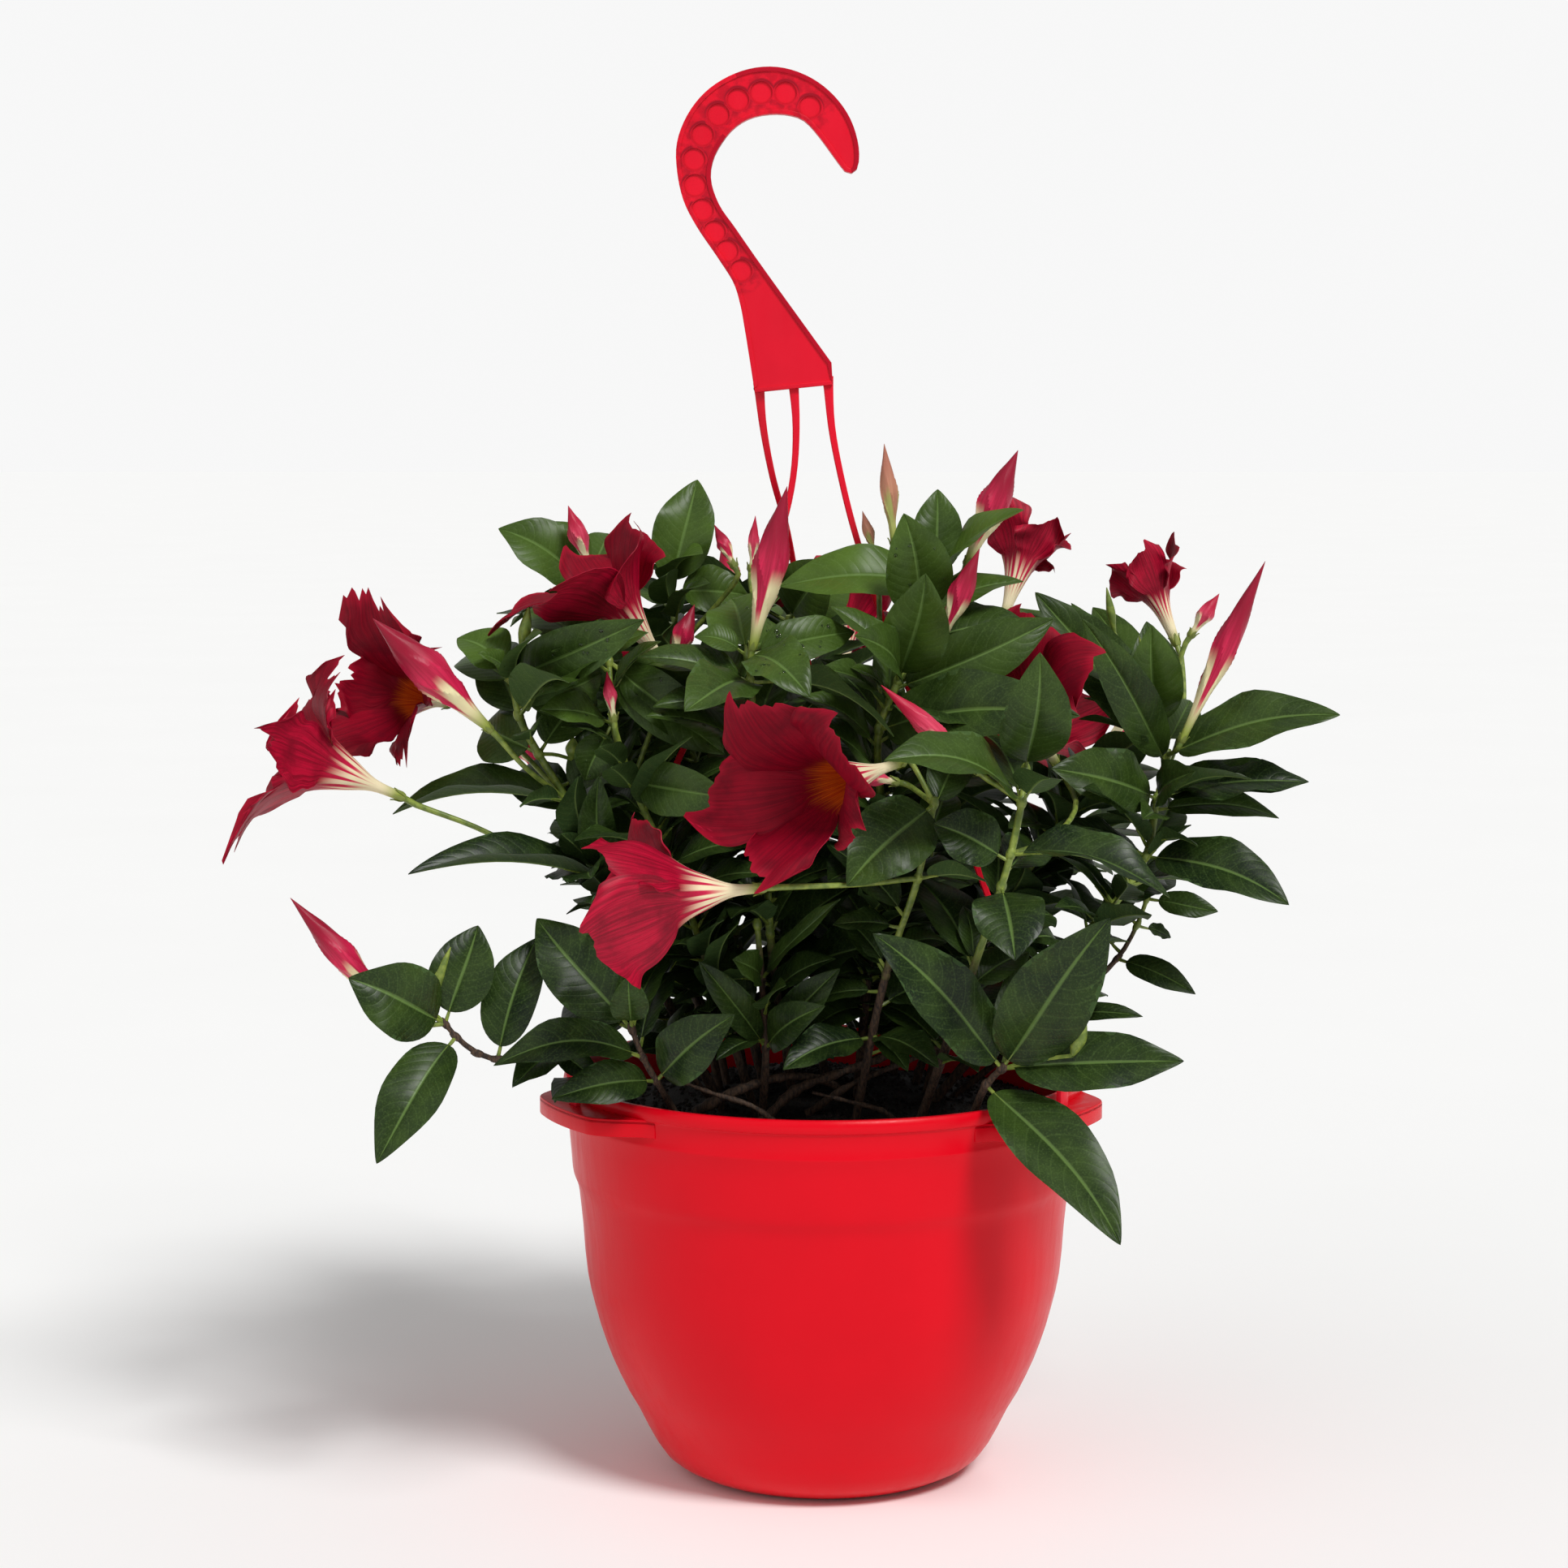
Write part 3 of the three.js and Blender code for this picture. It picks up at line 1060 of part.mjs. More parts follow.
function makeSoil() {
  const wall = INSIDE.slice(2).reverse().map(([r, z]) => [r - 3 * GAP, z + GAP]);
  const top = [[INSIDE[1][0] - 2, SOIL_LEVEL - 3], [70, SOIL_LEVEL + 1], [0, SOIL_LEVEL + 2]];
  const profile = [[0, WALL + GAP], ...wall, ...top];
  let soil = turned(profile, SOIL_SEGMENTS);
  for (const shoot of shoots) {
    const { x, y } = shoot.points[0];
    const bottom = SOIL_LEVEL - ROOT_DEPTH - GAP;
    soil = soil.subtract(rod(x, y, bottom, SOIL_LEVEL + 12, shoot.radius + 3 * GAP, 5));
  }
  return soil;
}

const RED = 0xe01e2a;
const GREEN = 0x3f6b2a;
const BUD_COLOURS = { pink: 0xd8476b, crimson: 0xa8183f, tan: 0xc9a878 };

const plant = new THREE.Group();
plant.add(node('pot', makePot(), RED, 0.42));
plant.add(node('soil', makeSoil(), 0x1c1512, 0.95));
plant.add(node('hanger', makeHanger(), RED, 0.42));
for (const shoot of shoots) plant.add(node(`shoot_${shoot.name}`, shootSolid(shoot), GREEN, 0.5));
for (const bloom of blooms) plant.add(node(bloom.name, bloomSolid(bloom), 0x8f0f2e, 0.6));
for (const bud of buds) plant.add(node(bud.name, budSolid(bud), BUD_COLOURS[bud.colour], 0.55));

export default plant;
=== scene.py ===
"""A flowering mandevilla in its red hanging pot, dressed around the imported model.

The plan is in millimetres and the scene in metres: +Z up, +X right, -Y towards the front, with
the origin in the middle of the pot's base. Leaves, blooms and buds stand where the model has them.
"""
import json
import math
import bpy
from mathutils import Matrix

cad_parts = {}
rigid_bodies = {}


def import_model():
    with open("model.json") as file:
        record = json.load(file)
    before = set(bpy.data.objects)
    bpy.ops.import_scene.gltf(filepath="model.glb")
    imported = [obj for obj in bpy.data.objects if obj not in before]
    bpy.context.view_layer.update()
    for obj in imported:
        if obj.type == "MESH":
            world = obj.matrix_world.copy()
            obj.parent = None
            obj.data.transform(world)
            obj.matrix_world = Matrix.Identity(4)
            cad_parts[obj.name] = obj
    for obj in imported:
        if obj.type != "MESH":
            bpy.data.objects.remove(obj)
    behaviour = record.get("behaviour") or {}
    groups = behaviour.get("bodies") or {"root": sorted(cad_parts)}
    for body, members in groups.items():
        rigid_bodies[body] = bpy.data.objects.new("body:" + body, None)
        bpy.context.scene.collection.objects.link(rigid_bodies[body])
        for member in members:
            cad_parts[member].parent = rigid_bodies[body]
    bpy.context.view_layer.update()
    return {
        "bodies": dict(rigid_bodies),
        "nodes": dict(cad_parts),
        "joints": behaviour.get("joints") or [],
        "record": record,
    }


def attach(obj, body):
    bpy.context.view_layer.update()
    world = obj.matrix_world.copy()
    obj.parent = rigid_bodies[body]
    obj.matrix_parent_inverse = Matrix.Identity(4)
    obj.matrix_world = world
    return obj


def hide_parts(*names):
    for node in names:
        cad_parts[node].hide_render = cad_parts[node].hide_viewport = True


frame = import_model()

from types import SimpleNamespace

import bmesh
import bpy
import numpy as np

MM = 0.001

# ---- sizes, in millimetres
RIM_RADIUS = 127.5
POT_HEIGHT = 198
WALL = 2.4
GAP = 0.35
SOIL_LEVEL = 176
ROOT_DEPTH = 13
ROOT_RISE = 4
DRAIN_HOLES = 6
DRAIN_RADIUS = 4
DRAIN_CIRCLE = 38
INSIDE_RADIUS = 121.4  # of the pot at the soil's surface

EAR_ANGLES = [-33, 87, 207]
EAR_HALF_SPAN = 24
EAR_STRAIGHT = 11  # degrees from its middle where an ear starts to swing in
EAR_END_RADIUS = 126.2
EAR_FOOT_RADIUS = 122.9  # the plate of an ear starts here, in the wall of the rim
EAR_RADIUS = 142
EAR_TOP = 192
EAR_PLATE = 2.6
EAR_LIP = 8.5
STRAP_RADIUS = 133
STRAP_END = (7.6, 2.6)  # tangential, radial
STRAP_FOOT = (11, 4.4, 3)
STRAP_END_TOP = 207

HOOK_THICKNESS = 7
CELL_RADIUS = 5.35
CELL_DEPTH = 0.9

PETALS = 5
STALK = 6  # length of a leaf's stalk,
STALK_MOST = 0.3  # but no more than this share of the leaf
FOLD = 16  # degrees that a blade folds up on both sides of its midrib
CLEAR = 4.4  # room between a leaf of the model and all that it passes
APART = 51  # degrees between two leaves that share a stem point
RULE_SEED = 11

# ---- the plant's plan
# A shoot: name, stem radius, stem points from the soil up, then its leaves. A leaf is
# [stem point, tip, width, way its upper face looks, arch, fold in degrees].
SHOOTS = [
  ['left_high', 2.2, [[-48, -22, 176], [-79, -45, 247], [-105, -60, 301], [-121, -66, 338],
    [-134, -68, 360], [-143, -70, 378], [-146, -70, 396]], [
    [5, [-85, -92, 426], 34, [0, -3, 4], 8],
    [5, [-101, -104, 402], 32, [0, 3, 4], 6],
    [6, [-172, -62, 414], 28, [0, -3, 4], 5],
    [6, [-159, -84, 409], 13, [0, -1, 1], 2],
    [4, [-166, -46, 372], 30, [-1, -3, 1], 4],
    [3, [-204, -56, 347], 30, [0, -1, 3], 5, 42],
    [3, [-141, -96, 339], 14, [0, 2, 1], 3],
    [2, [-105, -88, 350], 19, [0, -1, 0], 2],
    [2, [-185, -112, 321], 31, [0, -1, 3], 6, 42],
    [3, [-88, -64, 378], 24, [-1, -3, 1], 4],
    [4, [-107, -40, 389], 26, [0, -2, 1], 4],
  ]],
  ['left_back', 2, [[-46, 14, 176], [-66, 24, 274], [-90, 30, 350], [-107, 26, 403],
    [-116, 18, 434]], [
    [4, [-155, 2, 464], 33, [-1, -2, 2], 5],
    [4, [-140, 30, 470], 31, [0, -2, 1], 4],
    [4, [-109, 44, 469], 24, [0, -2, 1], 3],
  ]],
  ['left_mid', 2, [[-32, -34, 176], [-66, -66, 291], [-90, -74, 347], [-99, -74, 375],
    [-101, -66, 403]], [
    [4, [-47, -86, 361], 37, [0, -3, 2], 8],
    [3, [-122, -100, 393], 22, [0, -1, 1], 3],
  ]],
  ['centre_left', 2, [[-28, 4, 176], [-43, -4, 267], [-56, -6, 328], [-67, -4, 367],
    [-71, 0, 405], [-75, 8, 432]], [
    [5, [-62, 18, 487], 31, [0, -2, 1], 4],
    [5, [-53, -14, 447], 27, [0, -1, 2], 6],
    [5, [-38, 2, 441], 26, [0, -2, 1], 3],
  ]],
  ['centre', 2.1, [[-14, -18, 176], [-26, -52, 273], [-28, -70, 333], [-32, -78, 372],
    [-35, -82, 395], [-36, -82, 407]], [
    [4, [-63, -130, 388], 33, [0, -1, 1], 5],
    [5, [-2, -112, 402], 30, [0, -1, 1], 6],
    [5, [-61, -84, 415], 16, [0, -1, 1], 3],
    [4, [19, -130, 377], 28, [0, 1, 2], 8],
    [5, [-45, -50, 434], 31, [0, -1, 0], 3],
    [5, [-19, -46, 430], 26, [0, -2, 1], 3],
    [5, [11, -58, 417], 23, [0, -2, 1], 4],
  ]],
  ['centre_back', 2, [[2, 18, 176], [-12, 34, 321], [-12, 30, 379], [-17, 20, 417]], [
    [3, [3, -4, 448], 34, [0, -2, 1], 4],
    [3, [13, 30, 434], 26, [0, -2, 1], 4],
  ]],
  ['centre_right', 2.3, [[16, -14, 176], [22, -44, 272], [26, -58, 332], [25, -64, 371],
    [34, -66, 394], [46, -50, 421], [52, -38, 437]], [
    [4, [45, -98, 445], 33, [0, -1, 0], 3],
    [4, [1, -117, 404], 27, [0, -2, 1], 5],
    [3, [100, -118, 422], 38, [0, -2, 1], 10],
    [5, [39, -84, 466], 33, [0, -3, 1], 3],
    [6, [58, -18, 478], 25, [0, -2, 1], 3],
    [6, [104, -56, 461], 31, [0, -1, 2], 5],
    [6, [-13, -64, 460], 33, [0, -1, 1], 7],
  ]],
  ['right_front', 2.2, [[44, -56, 176], [66, -104, 260], [79, -122, 305], [83, -124, 320],
    [88, -120, 343], [90, -114, 357]], [
    [4, [28, -158, 370], 37, [0, -2, 3], 9],
    [5, [97, -138, 414], 33, [0, -1, 0], 3],
    [4, [97, -140, 364], 24, [0, 1, 1], 3],
    [3, [153, -146, 309], 31, [0, -1, 2], 8, 34],
    [2, [83, -158, 277], 34, [0, -3, 1], 4],
  ]],
  ['middle_front', 2, [[14, -52, 176], [28, -82, 258], [42, -102, 306], [49, -108, 341]], [
    [3, [9, -140, 308], 37, [0, -4, 1], 4],
    [2, [72, -134, 310], 17, [0, 1, 1], 3],
  ]],
  ['right_high', 2.3, [[52, -2, 176], [108, -24, 251], [140, -18, 282], [156, -12, 305],
    [162, -4, 332], [167, 0, 353], [161, 6, 368]], [
    [5, [246, -24, 377], 33, [0, -1, 1], 6],
    [4, [234, -12, 341], 29, [0, -2, 3], 5],
    [4, [215, -48, 333], 24, [0, 1, 2], 4],
    [4, [185, -36, 350], 24, [0, -2, 1], 3],
    [4, [124, -44, 366], 33, [0, -2, 1], 5],
    [3, [220, -48, 290], 34, [0, -1, 1], 5],
    [6, [114, -34, 407], 32, [0, -1, 1], 6],
    [6, [102, 2, 436], 30, [0, -1, 1], 5],
    [6, [162, -20, 422], 30, [0, -2, 1], 4],
    [6, [147, 30, 440], 27, [0, -2, 1], 3],
    [6, [124, 36, 428], 16, [0, -1, 1], 3],
  ]],
  ['right_low', 1.6, [[62, 12, 176], [114, 4, 224], [145, 12, 251], [155, 16, 267],
    [160, 18, 280]], [
    [4, [194, 8, 275], 14, [0, -2, 1], 2],
    [3, [173, 20, 261], 9, [0, -1, 1], 1],
    [2, [180, -14, 239], 15, [0, -2, 1], 3],
    [1, [157, 0, 228], 12, [0, -1, 1], 2],
  ]],
  ['rim_right', 2.2, [[66, -76, 176], [74, -98, 209], [81, -104, 218]], [
    [2, [22, -134, 285], 33, [0, -2, 1], 5],
    [2, [134, -130, 292], 41, [0, -1, 0], 4],
    [2, [160, -128, 232], 30, [0, -2, 1], 4],
    [1, [132, -146, 142], 37, [1, -3, 1], 6],
    [2, [92, -88, 269], 21, [0, -1, 0], 3],
  ]],
  ['trailing_left', 1.7, [[-84, -40, 176], [-121, -74, 220], [-153, -86, 219], [-162, -88, 222],
    [-172, -88, 230], [-177, -88, 236]], [
    [4, [-218, -112, 182], 32, [-1, -3, 1], 5],
    [5, [-214, -100, 272], 37, [0, -4, 1], 4],
    [5, [-162, -80, 281], 31, [0, -4, 1], 4],
    [2, [-137, -72, 275], 29, [-1, -3, 0], 4],
    [1, [-156, -104, 214], 20, [0, -1, 1], 5],
  ]],
  ['rim_left', 1.8, [[-66, -62, 176], [-79, -87, 209], [-85, -92, 221], [-90, -92, 234]], [
    [2, [-152, -112, 223], 25, [0, -1, 1], 14],
    [3, [-91, -104, 260], 19, [0, -2, 1], 2],
    [1, [-112, -128, 207], 22, [0, -2, 1], 6],
    [1, [-45, -112, 243], 28, [0, -3, 1], 4],
    [3, [-136, -92, 285], 35, [0, -3, 1], 5],
    [3, [-124, -64, 242], 33, [0, -2, 1], 5],
  ]],
  ['inner_front', 2, [[-30, -46, 176], [-28, -62, 220], [-30, -62, 253], [-32, -64, 279]], [
    [1, [-59, -86, 265], 17, [0, -2, 1], 3],
    [2, [-50, -80, 266], 18, [0, -2, 1], 3],
    [2, [-48, -92, 249], 14, [0, 1, 1], 4],
    [1, [-10, -84, 270], 19, [0, -2, 1], 3],
    [1, [1, -96, 246], 21, [0, -2, 1], 4],
    [2, [6, -104, 297], 13, [0, -1, 1], 3],
  ]],
]

# Shoots on the far side: [heading in degrees, reach of the tip, height of the tip].
BACK_SHOOTS = [
  [8, 128, 330], [28, 140, 300], [46, 118, 385], [66, 150, 330], [110, 100, 425],
  [126, 150, 290], [140, 128, 385], [156, 138, 320], [176, 96, 300],
]

# Petals that both blooms on the far side share.
FAR_PETALS = [[38, 95, 40], [40, 95, 42], [38, 95, 40], [40, 95, 42], [38, 95, 40]]

# A bloom: name, foot of the tube, mouth, mouth radius, turn of the petals about the axis, then
# per petal [reach, way it leans at the end in degrees from the axis, width].
BLOOMS = [
  ['far_left', [-197, -72, 340], [-228, -92, 366], 15, 36,
    [[40, 105, 34], [36, 85, 34], [60, 88, 30], [38, 95, 36], [42, 108, 34]]],
  ['left_back', [-182, -2, 378], [-213, -28, 386], 12, 0,
    [[44, 95, 30], [40, 95, 34], [38, 100, 34], [40, 100, 34], [42, 95, 30]]],
  ['upper_left', [-74, -58, 399], [-101, -60, 440], 15, 36,
    [[38, 110, 38], [36, 95, 40], [50, 95, 34], [34, 110, 36], [42, 98, 36]]],
  ['centre', [35, -106, 360], [-4, -152, 353], 14, 30,
    [[43, 95, 45], [44, 92, 44], [43, 95, 44], [43, 90, 44], [44, 96, 44]]],
  ['front_trumpet', [-28, -150, 308], [-84, -178, 308], 18, 72,
    [[24, 55, 34], [38, 120, 32], [50, 118, 36], [28, 50, 36], [42, 130, 30]]],
  ['right_centre', [112, -20, 350], [94, -58, 381], 14, 0, [[38, 95, 42]] * 5],
  ['upper_right', [88, 24, 416], [98, 40, 446], 11, 50,
    [[20, 60, 26], [22, 50, 26], [22, 60, 26], [20, 50, 26], [24, 60, 26]]],
  ['right_back', [178, 58, 403], [168, 66, 428], 9, 15,
    [[24, 50, 22], [22, 40, 22], [24, 45, 22], [22, 50, 22], [24, 40, 22]]],
  ['middle_back', [12, 72, 388], [10, 96, 408], 12, 40,
    [[30, 95, 36], [32, 95, 36], [30, 95, 36], [32, 95, 36], [30, 95, 36]]],
  ['back_left', [-70, 140, 330], [-86, 176, 352], 14, 25, FAR_PETALS],
  ['back_right', [88, 132, 330], [108, 168, 346], 14, 0, FAR_PETALS],
]

# A bud: name, foot, tip, greatest radius, colour.
BUDS = [
  ['left_pink', [-114, 6, 444], [-124, 4, 474], 5, 'pink'],
  ['red_short', [-43, -14, 445], [-53, -6, 465], 3.6, 'crimson'],
  ['pink_small', [-35, -30, 444], [-33, -30, 470], 2.8, 'pink'],
  ['centre_large', [-34, -86, 410], [-18, -92, 485], 8.4, 'crimson'],
  ['inner_left', [-74, -38, 397], [-62, -32, 428], 5.6, 'crimson'],
  ['tan_top', [33, -30, 456], [28, -30, 504], 5.2, 'tan'],
  ['tan_small', [24, -20, 451], [18, -20, 472], 3.4, 'tan'],
  ['red_top', [49, -2, 459], [54, 0, 477], 4, 'crimson'],
  ['magenta_top', [67, -34, 447], [91, -36, 501], 8, 'crimson'],
  ['magenta_low', [53, -72, 412], [71, -74, 456], 6, 'crimson'],
  ['long_front', [69, -126, 357], [24, -130, 397], 5, 'pink'],
  ['long_right', [172, -16, 361], [211, -18, 448], 6.4, 'crimson'],
  ['right_small', [179, 12, 410], [193, 12, 431], 4.2, 'pink'],
  ['trailing', [-197, -98, 240], [-246, -102, 297], 6.6, 'crimson'],
  ['left_low', [-98, -84, 377], [-101, -86, 400], 3.2, 'pink'],
  ['left_large', [-155, -80, 372], [-207, -98, 425], 9.6, 'crimson'],
  ['behind_bloom', [33, -90, 349], [12, -96, 354], 4, 'pink'],
  ['back_upper', [-44, 112, 418], [-52, 134, 452], 6, 'crimson'],
  ['back_lower', [-138, 84, 334], [-168, 106, 360], 6, 'crimson'],
  ['back_side', [140, 96, 345], [178, 110, 372], 6, 'pink'],
]

# Flower stalks: shoot, stem point, what it carries, points on the way.
STALKS = [
  ['left_high', 3, 'bud_left_large', [[-140, -77, 355]]],
  ['left_high', 3, 'bloom_left_back', [[-150, -40, 364]]],
  ['left_high', 2, 'bloom_far_left', [[-134, -58, 310], [-166, -64, 326]]],
  ['left_back', 3, 'bud_left_pink', []],
  ['left_mid', 2, 'bloom_upper_left', [[-80, -66, 375]]],
  ['left_mid', 2, 'bud_left_low', []],
  ['centre_left', 3, 'bud_inner_left', [[-74, -24, 378]]],
  ['centre_left', 4, 'bud_red_short', []],
  ['centre', 4, 'bud_centre_large', []],
  ['centre', 4, 'bud_pink_small', [[-32, -56, 420]]],
  ['centre_back', 1, 'bloom_middle_back', [[8, 48, 354]]],
  ['centre_right', 4, 'bud_tan_top', [[34, -44, 430]]],
  ['centre_right', 3, 'bud_tan_small', [[26, -36, 415]]],
  ['centre_right', 5, 'bud_red_top', [[46, -22, 440]]],
  ['centre_right', 6, 'bud_magenta_top', []],
  ['centre_right', 4, 'bud_magenta_low', []],
  ['centre_right', 5, 'bloom_upper_right', [[70, -14, 412]]],
  ['right_front', 4, 'bud_long_front', [[77, -123, 351]]],
  ['right_front', 3, 'bloom_right_centre', [[106, -76, 322], [120, -34, 334]]],
  ['middle_front', 3, 'bloom_centre', []],
  ['middle_front', 3, 'bud_behind_bloom', []],
  ['middle_front', 2, 'bloom_front_trumpet', [[14, -130, 307]]],
  ['right_high', 5, 'bud_long_right', []],
  ['right_high', 6, 'bud_right_small', [[172, 10, 392]]],
  ['right_high', 4, 'bloom_right_back', [[178, 30, 368]]],
  ['trailing_left', 5, 'bud_trailing', []],
  ['back_4', 4, 'bud_back_upper', []],
  ['back_7', 4, 'bud_back_lower', []],
  ['back_1', 4, 'bud_back_side', []],
  ['back_5', 4, 'bloom_back_left', []],
  ['back_3', 4, 'bloom_back_right', []],
]

# Young buds, still green: shoot, foot, tip, radius.
YOUNG_BUDS = [
  ['left_high', [-141, -76, 409], [-137, -80, 430], 3],
  ['left_high', [-119, -62, 357], [-118, -64, 368], 3.4],
  ['right_high', [159, -12, 386], [151, -16, 412], 2.2],
  ['right_high', [142, 12, 412], [138, 12, 434], 2.2],
  ['rim_right', [112, -120, 227], [118, -122, 244], 3.6],
  ['trailing_left', [-186, -92, 243], [-174, -88, 272], 3],
]

# The crown seen from the front as [x, z], its depth, and the bare soil under its front.
CROWN_OUTLINE = [
  [-128, 200], [-130, 262], [-136, 300], [-150, 335], [-170, 372], [-176, 412], [-152, 452],
  [-110, 462], [-70, 455], [-40, 440], [10, 440], [40, 458], [62, 468], [98, 452], [125, 428],
  [150, 430], [178, 412], [186, 380], [188, 322], [192, 292], [150, 270], [138, 240], [134, 200],
]
CROWN_DEPTH = 205
CROWN_FRONT = -92
WINDOW_HALF = 104
WINDOW_HEIGHT = 240
WINDOW_BACK = 20

# How torn the petals are: most blooms a little, some more.
LEAST_RAGGED = 0.35
RAGGED = {"bloom_far_left": 2.2, "bloom_left_back": 2.0, "bloom_centre": 0.7}

# Blooms whose grown petals curl another way than the plain ones: mouth, its radius, turn, petals.
GROWN_BLOOMS = {
    "bloom_far_left": ((-233.9, -83.6, 357.5), 16.9, 55,
        [[31, 103, 47], [28, 102, 38], [49, 89, 46], [41, 47, 36], [34, 107, 35]]),
    "bloom_upper_left": ((-96.0, -69.4, 430.8), 12.8, 72,
        [[32, 75, 27], [52, 106, 35], [48, 69, 48], [36, 64, 39], [30, 67, 42]]),
    "bloom_left_back": ((-199.5, -26.3, 383.6), 13.1, 2,
        [[48, 66, 41], [26, 27, 42], [46, 30, 45], [44, 71, 26], [47, 70, 28]]),
    "bloom_front_trumpet": ((-68.6, -160.7, 306.6), 17.6, 33,
        [[30, 112, 27], [35, 43, 48], [30, 26, 31], [52, 34, 50], [40, 15, 36]]),
    "bloom_centre": ((-0.5, -147.9, 353.6), 15.5, 23,
        [[47, 86, 49], [53, 103, 41], [51, 29, 41], [26, 93, 34], [45, 83, 50]]),
}

# The hook and plate lie in one upright plane: [x, z] round the outline, and the round recesses.
HOOK_OUTLINE = [
  [-33.5, 528.3], [-38.2, 558], [-40.5, 570.5], [-43.6, 580.5], [-50.6, 591.7], [-61.8, 608.2],
  [-67.6, 619.8], [-70.6, 634], [-70.6, 646.5], [-65.9, 659.2], [-57.6, 670], [-46.4, 677.7],
  [-33.3, 682], [-20, 682], [-6.6, 677.3], [4.3, 669], [12.2, 658], [16.2, 645], [16, 636],
  [14.4, 633], [12, 632.4], [9.3, 633.6], [7, 636.6], [-9.4, 656.9], [-16, 659.6], [-25.3, 660.3],
  [-35.3, 658.4], [-43.1, 653.8], [-48.9, 647], [-53.2, 638.9], [-54.4, 630], [-50.5, 617.8],
  [-42.8, 606.7], [-32.3, 591.7], [3.4, 542.6], [4, 532.1],
]
HOOK_CELLS = [
  [-7, 663.6], [-18.7, 670.2], [-30.3, 670.4], [-41.4, 667], [-50.8, 660], [-58.3, 650.5],
  [-62.3, 639], [-62, 626.7], [-58.4, 615.2], [-52.7, 604.8], [-46.6, 595.8], [-40, 586.4],
]

# Each strap runs from the plate to just above its ear: slack, so it bows on the way.
STRAP_PATHS = [
  [[1.6, 0, 536], [3.5, -2, 512], [8, -5, 488], [14.5, -9, 462], [30, -20, 414], [58, -37, 342],
    [86, -56, 268], [105, -69, 222], [110.6, -72, 205]],
  [[-31.6, 0, 533], [-29.5, 3, 512], [-25, 9, 488], [-18, 20, 462], [-11, 44, 420], [-2, 82, 350],
    [4, 114, 275], [6.6, 130, 225], [6.8, 131.8, 205]],
  [[-15, 0, 535], [-13.6, -1, 512], [-15, -4, 488], [-21, -8, 462], [-42, -18, 414],
    [-76, -36, 340], [-106, -52, 268], [-121, -60, 225], [-119.4, -60.6, 205]],
]

# ---- curves and frames
UP = np.array([0.0, 0.0, 1.0])


def point(*xyz):
    return np.array(xyz, float)


def unit(vector):
    return vector / np.linalg.norm(vector)


def circle(radius, steps, x=0.0, y=0.0):
    """The corners of a regular outline round (x, y)."""
    turns = [2 * math.pi * i / steps for i in range(steps)]
    return [(x + radius * math.cos(turn), y + radius * math.sin(turn)) for turn in turns]


def grid_points(along, across):
    """u and v of every point of a grid over a blade or a petal."""
    return [grid.ravel() for grid in np.meshgrid(along, across, indexing="ij")]


class Curve:
    """A centripetal Catmull-Rom curve, also by even lengths."""

    DIVISIONS = 200

    def __init__(self, points):
        inner = np.array(points, float)
        ends = (2 * inner[0] - inner[1], 2 * inner[-1] - inner[-2])
        self.spans = len(inner) - 1
        self.points = np.vstack([ends[0], inner, ends[1]])
        self.steps = np.linspace(0, 1, self.DIVISIONS + 1)
        chords = np.linalg.norm(np.diff(self.at(self.steps), axis=0), axis=1)
        self.lengths = np.concatenate([[0], np.cumsum(chords)])
        self.length = self.lengths[-1]

    def at(self, t):
        place = np.atleast_1d(np.asarray(t, float)) * self.spans
        span = np.minimum(np.floor(place).astype(int), self.spans - 1)
        w = (place - span)[:, None]
        p0, p1, p2, p3 = (self.points[span + k] for k in range(4))
        d0, d1, d2 = (np.linalg.norm(b - a, axis=1, keepdims=True) ** 0.5
                      for a, b in ((p0, p1), (p1, p2), (p2, p3)))
        leave = ((p1 - p0) / d0 - (p2 - p0) / (d0 + d1) + (p2 - p1) / d1) * d1
        arrive = ((p2 - p1) / d1 - (p3 - p1) / (d1 + d2) + (p3 - p2) / d2) * d1
        c2 = -3 * p1 + 3 * p2 - 2 * leave - arrive
        c3 = 2 * p1 - 2 * p2 + leave + arrive
        return p1 + leave * w + c2 * w ** 2 + c3 * w ** 3

    def spaced(self, count):
        """count + 1 points at even lengths."""
        return self.along(np.linspace(0, 1, count + 1))

    def along(self, share):
        return self.at(np.interp(np.asarray(share) * self.length, self.lengths, self.steps))


def axis_frame(base, end):
    axis = end - base
    length = np.linalg.norm(axis)
    axis = axis / length
    first = unit(UP - axis * (UP @ axis))
    return SimpleNamespace(base=base, axis=axis, length=length, first=first,
                           second=np.cross(axis, first))


def smooth_between(xs, ys, x):
    """A monotone cubic through the points (xs, ys)."""
    xs, ys, x = (np.asarray(a, float) for a in (xs, ys, x))
    slopes = np.diff(ys) / np.diff(xs)
    tangents = np.concatenate([[slopes[0]], (slopes[:-1] + slopes[1:]) / 2, [slopes[-1]]])
    for i, slope in enumerate(slopes):
        limit = 3 * abs(slope)
        tangents[i] = np.clip(tangents[i], -limit, limit)
        tangents[i + 1] = np.clip(tangents[i + 1], -limit, limit)
    i = np.clip(np.searchsorted(xs, x, side="right") - 1, 0, len(slopes) - 1)
    width = xs[i + 1] - xs[i]
    t = np.clip((x - xs[i]) / width, 0, 1)
    return ((2 * t ** 3 - 3 * t ** 2 + 1) * ys[i] + (t ** 3 - 2 * t ** 2 + t) * width * tangents[i]
            + (3 * t ** 2 - 2 * t ** 3) * ys[i + 1] + (t ** 3 - t ** 2) * width * tangents[i + 1])


# ---- the plan worked out
CHANCE_FACTOR = 1664525
CHANCE_SHIFT = 1013904223
CHANCE_SPAN = 2 ** 32


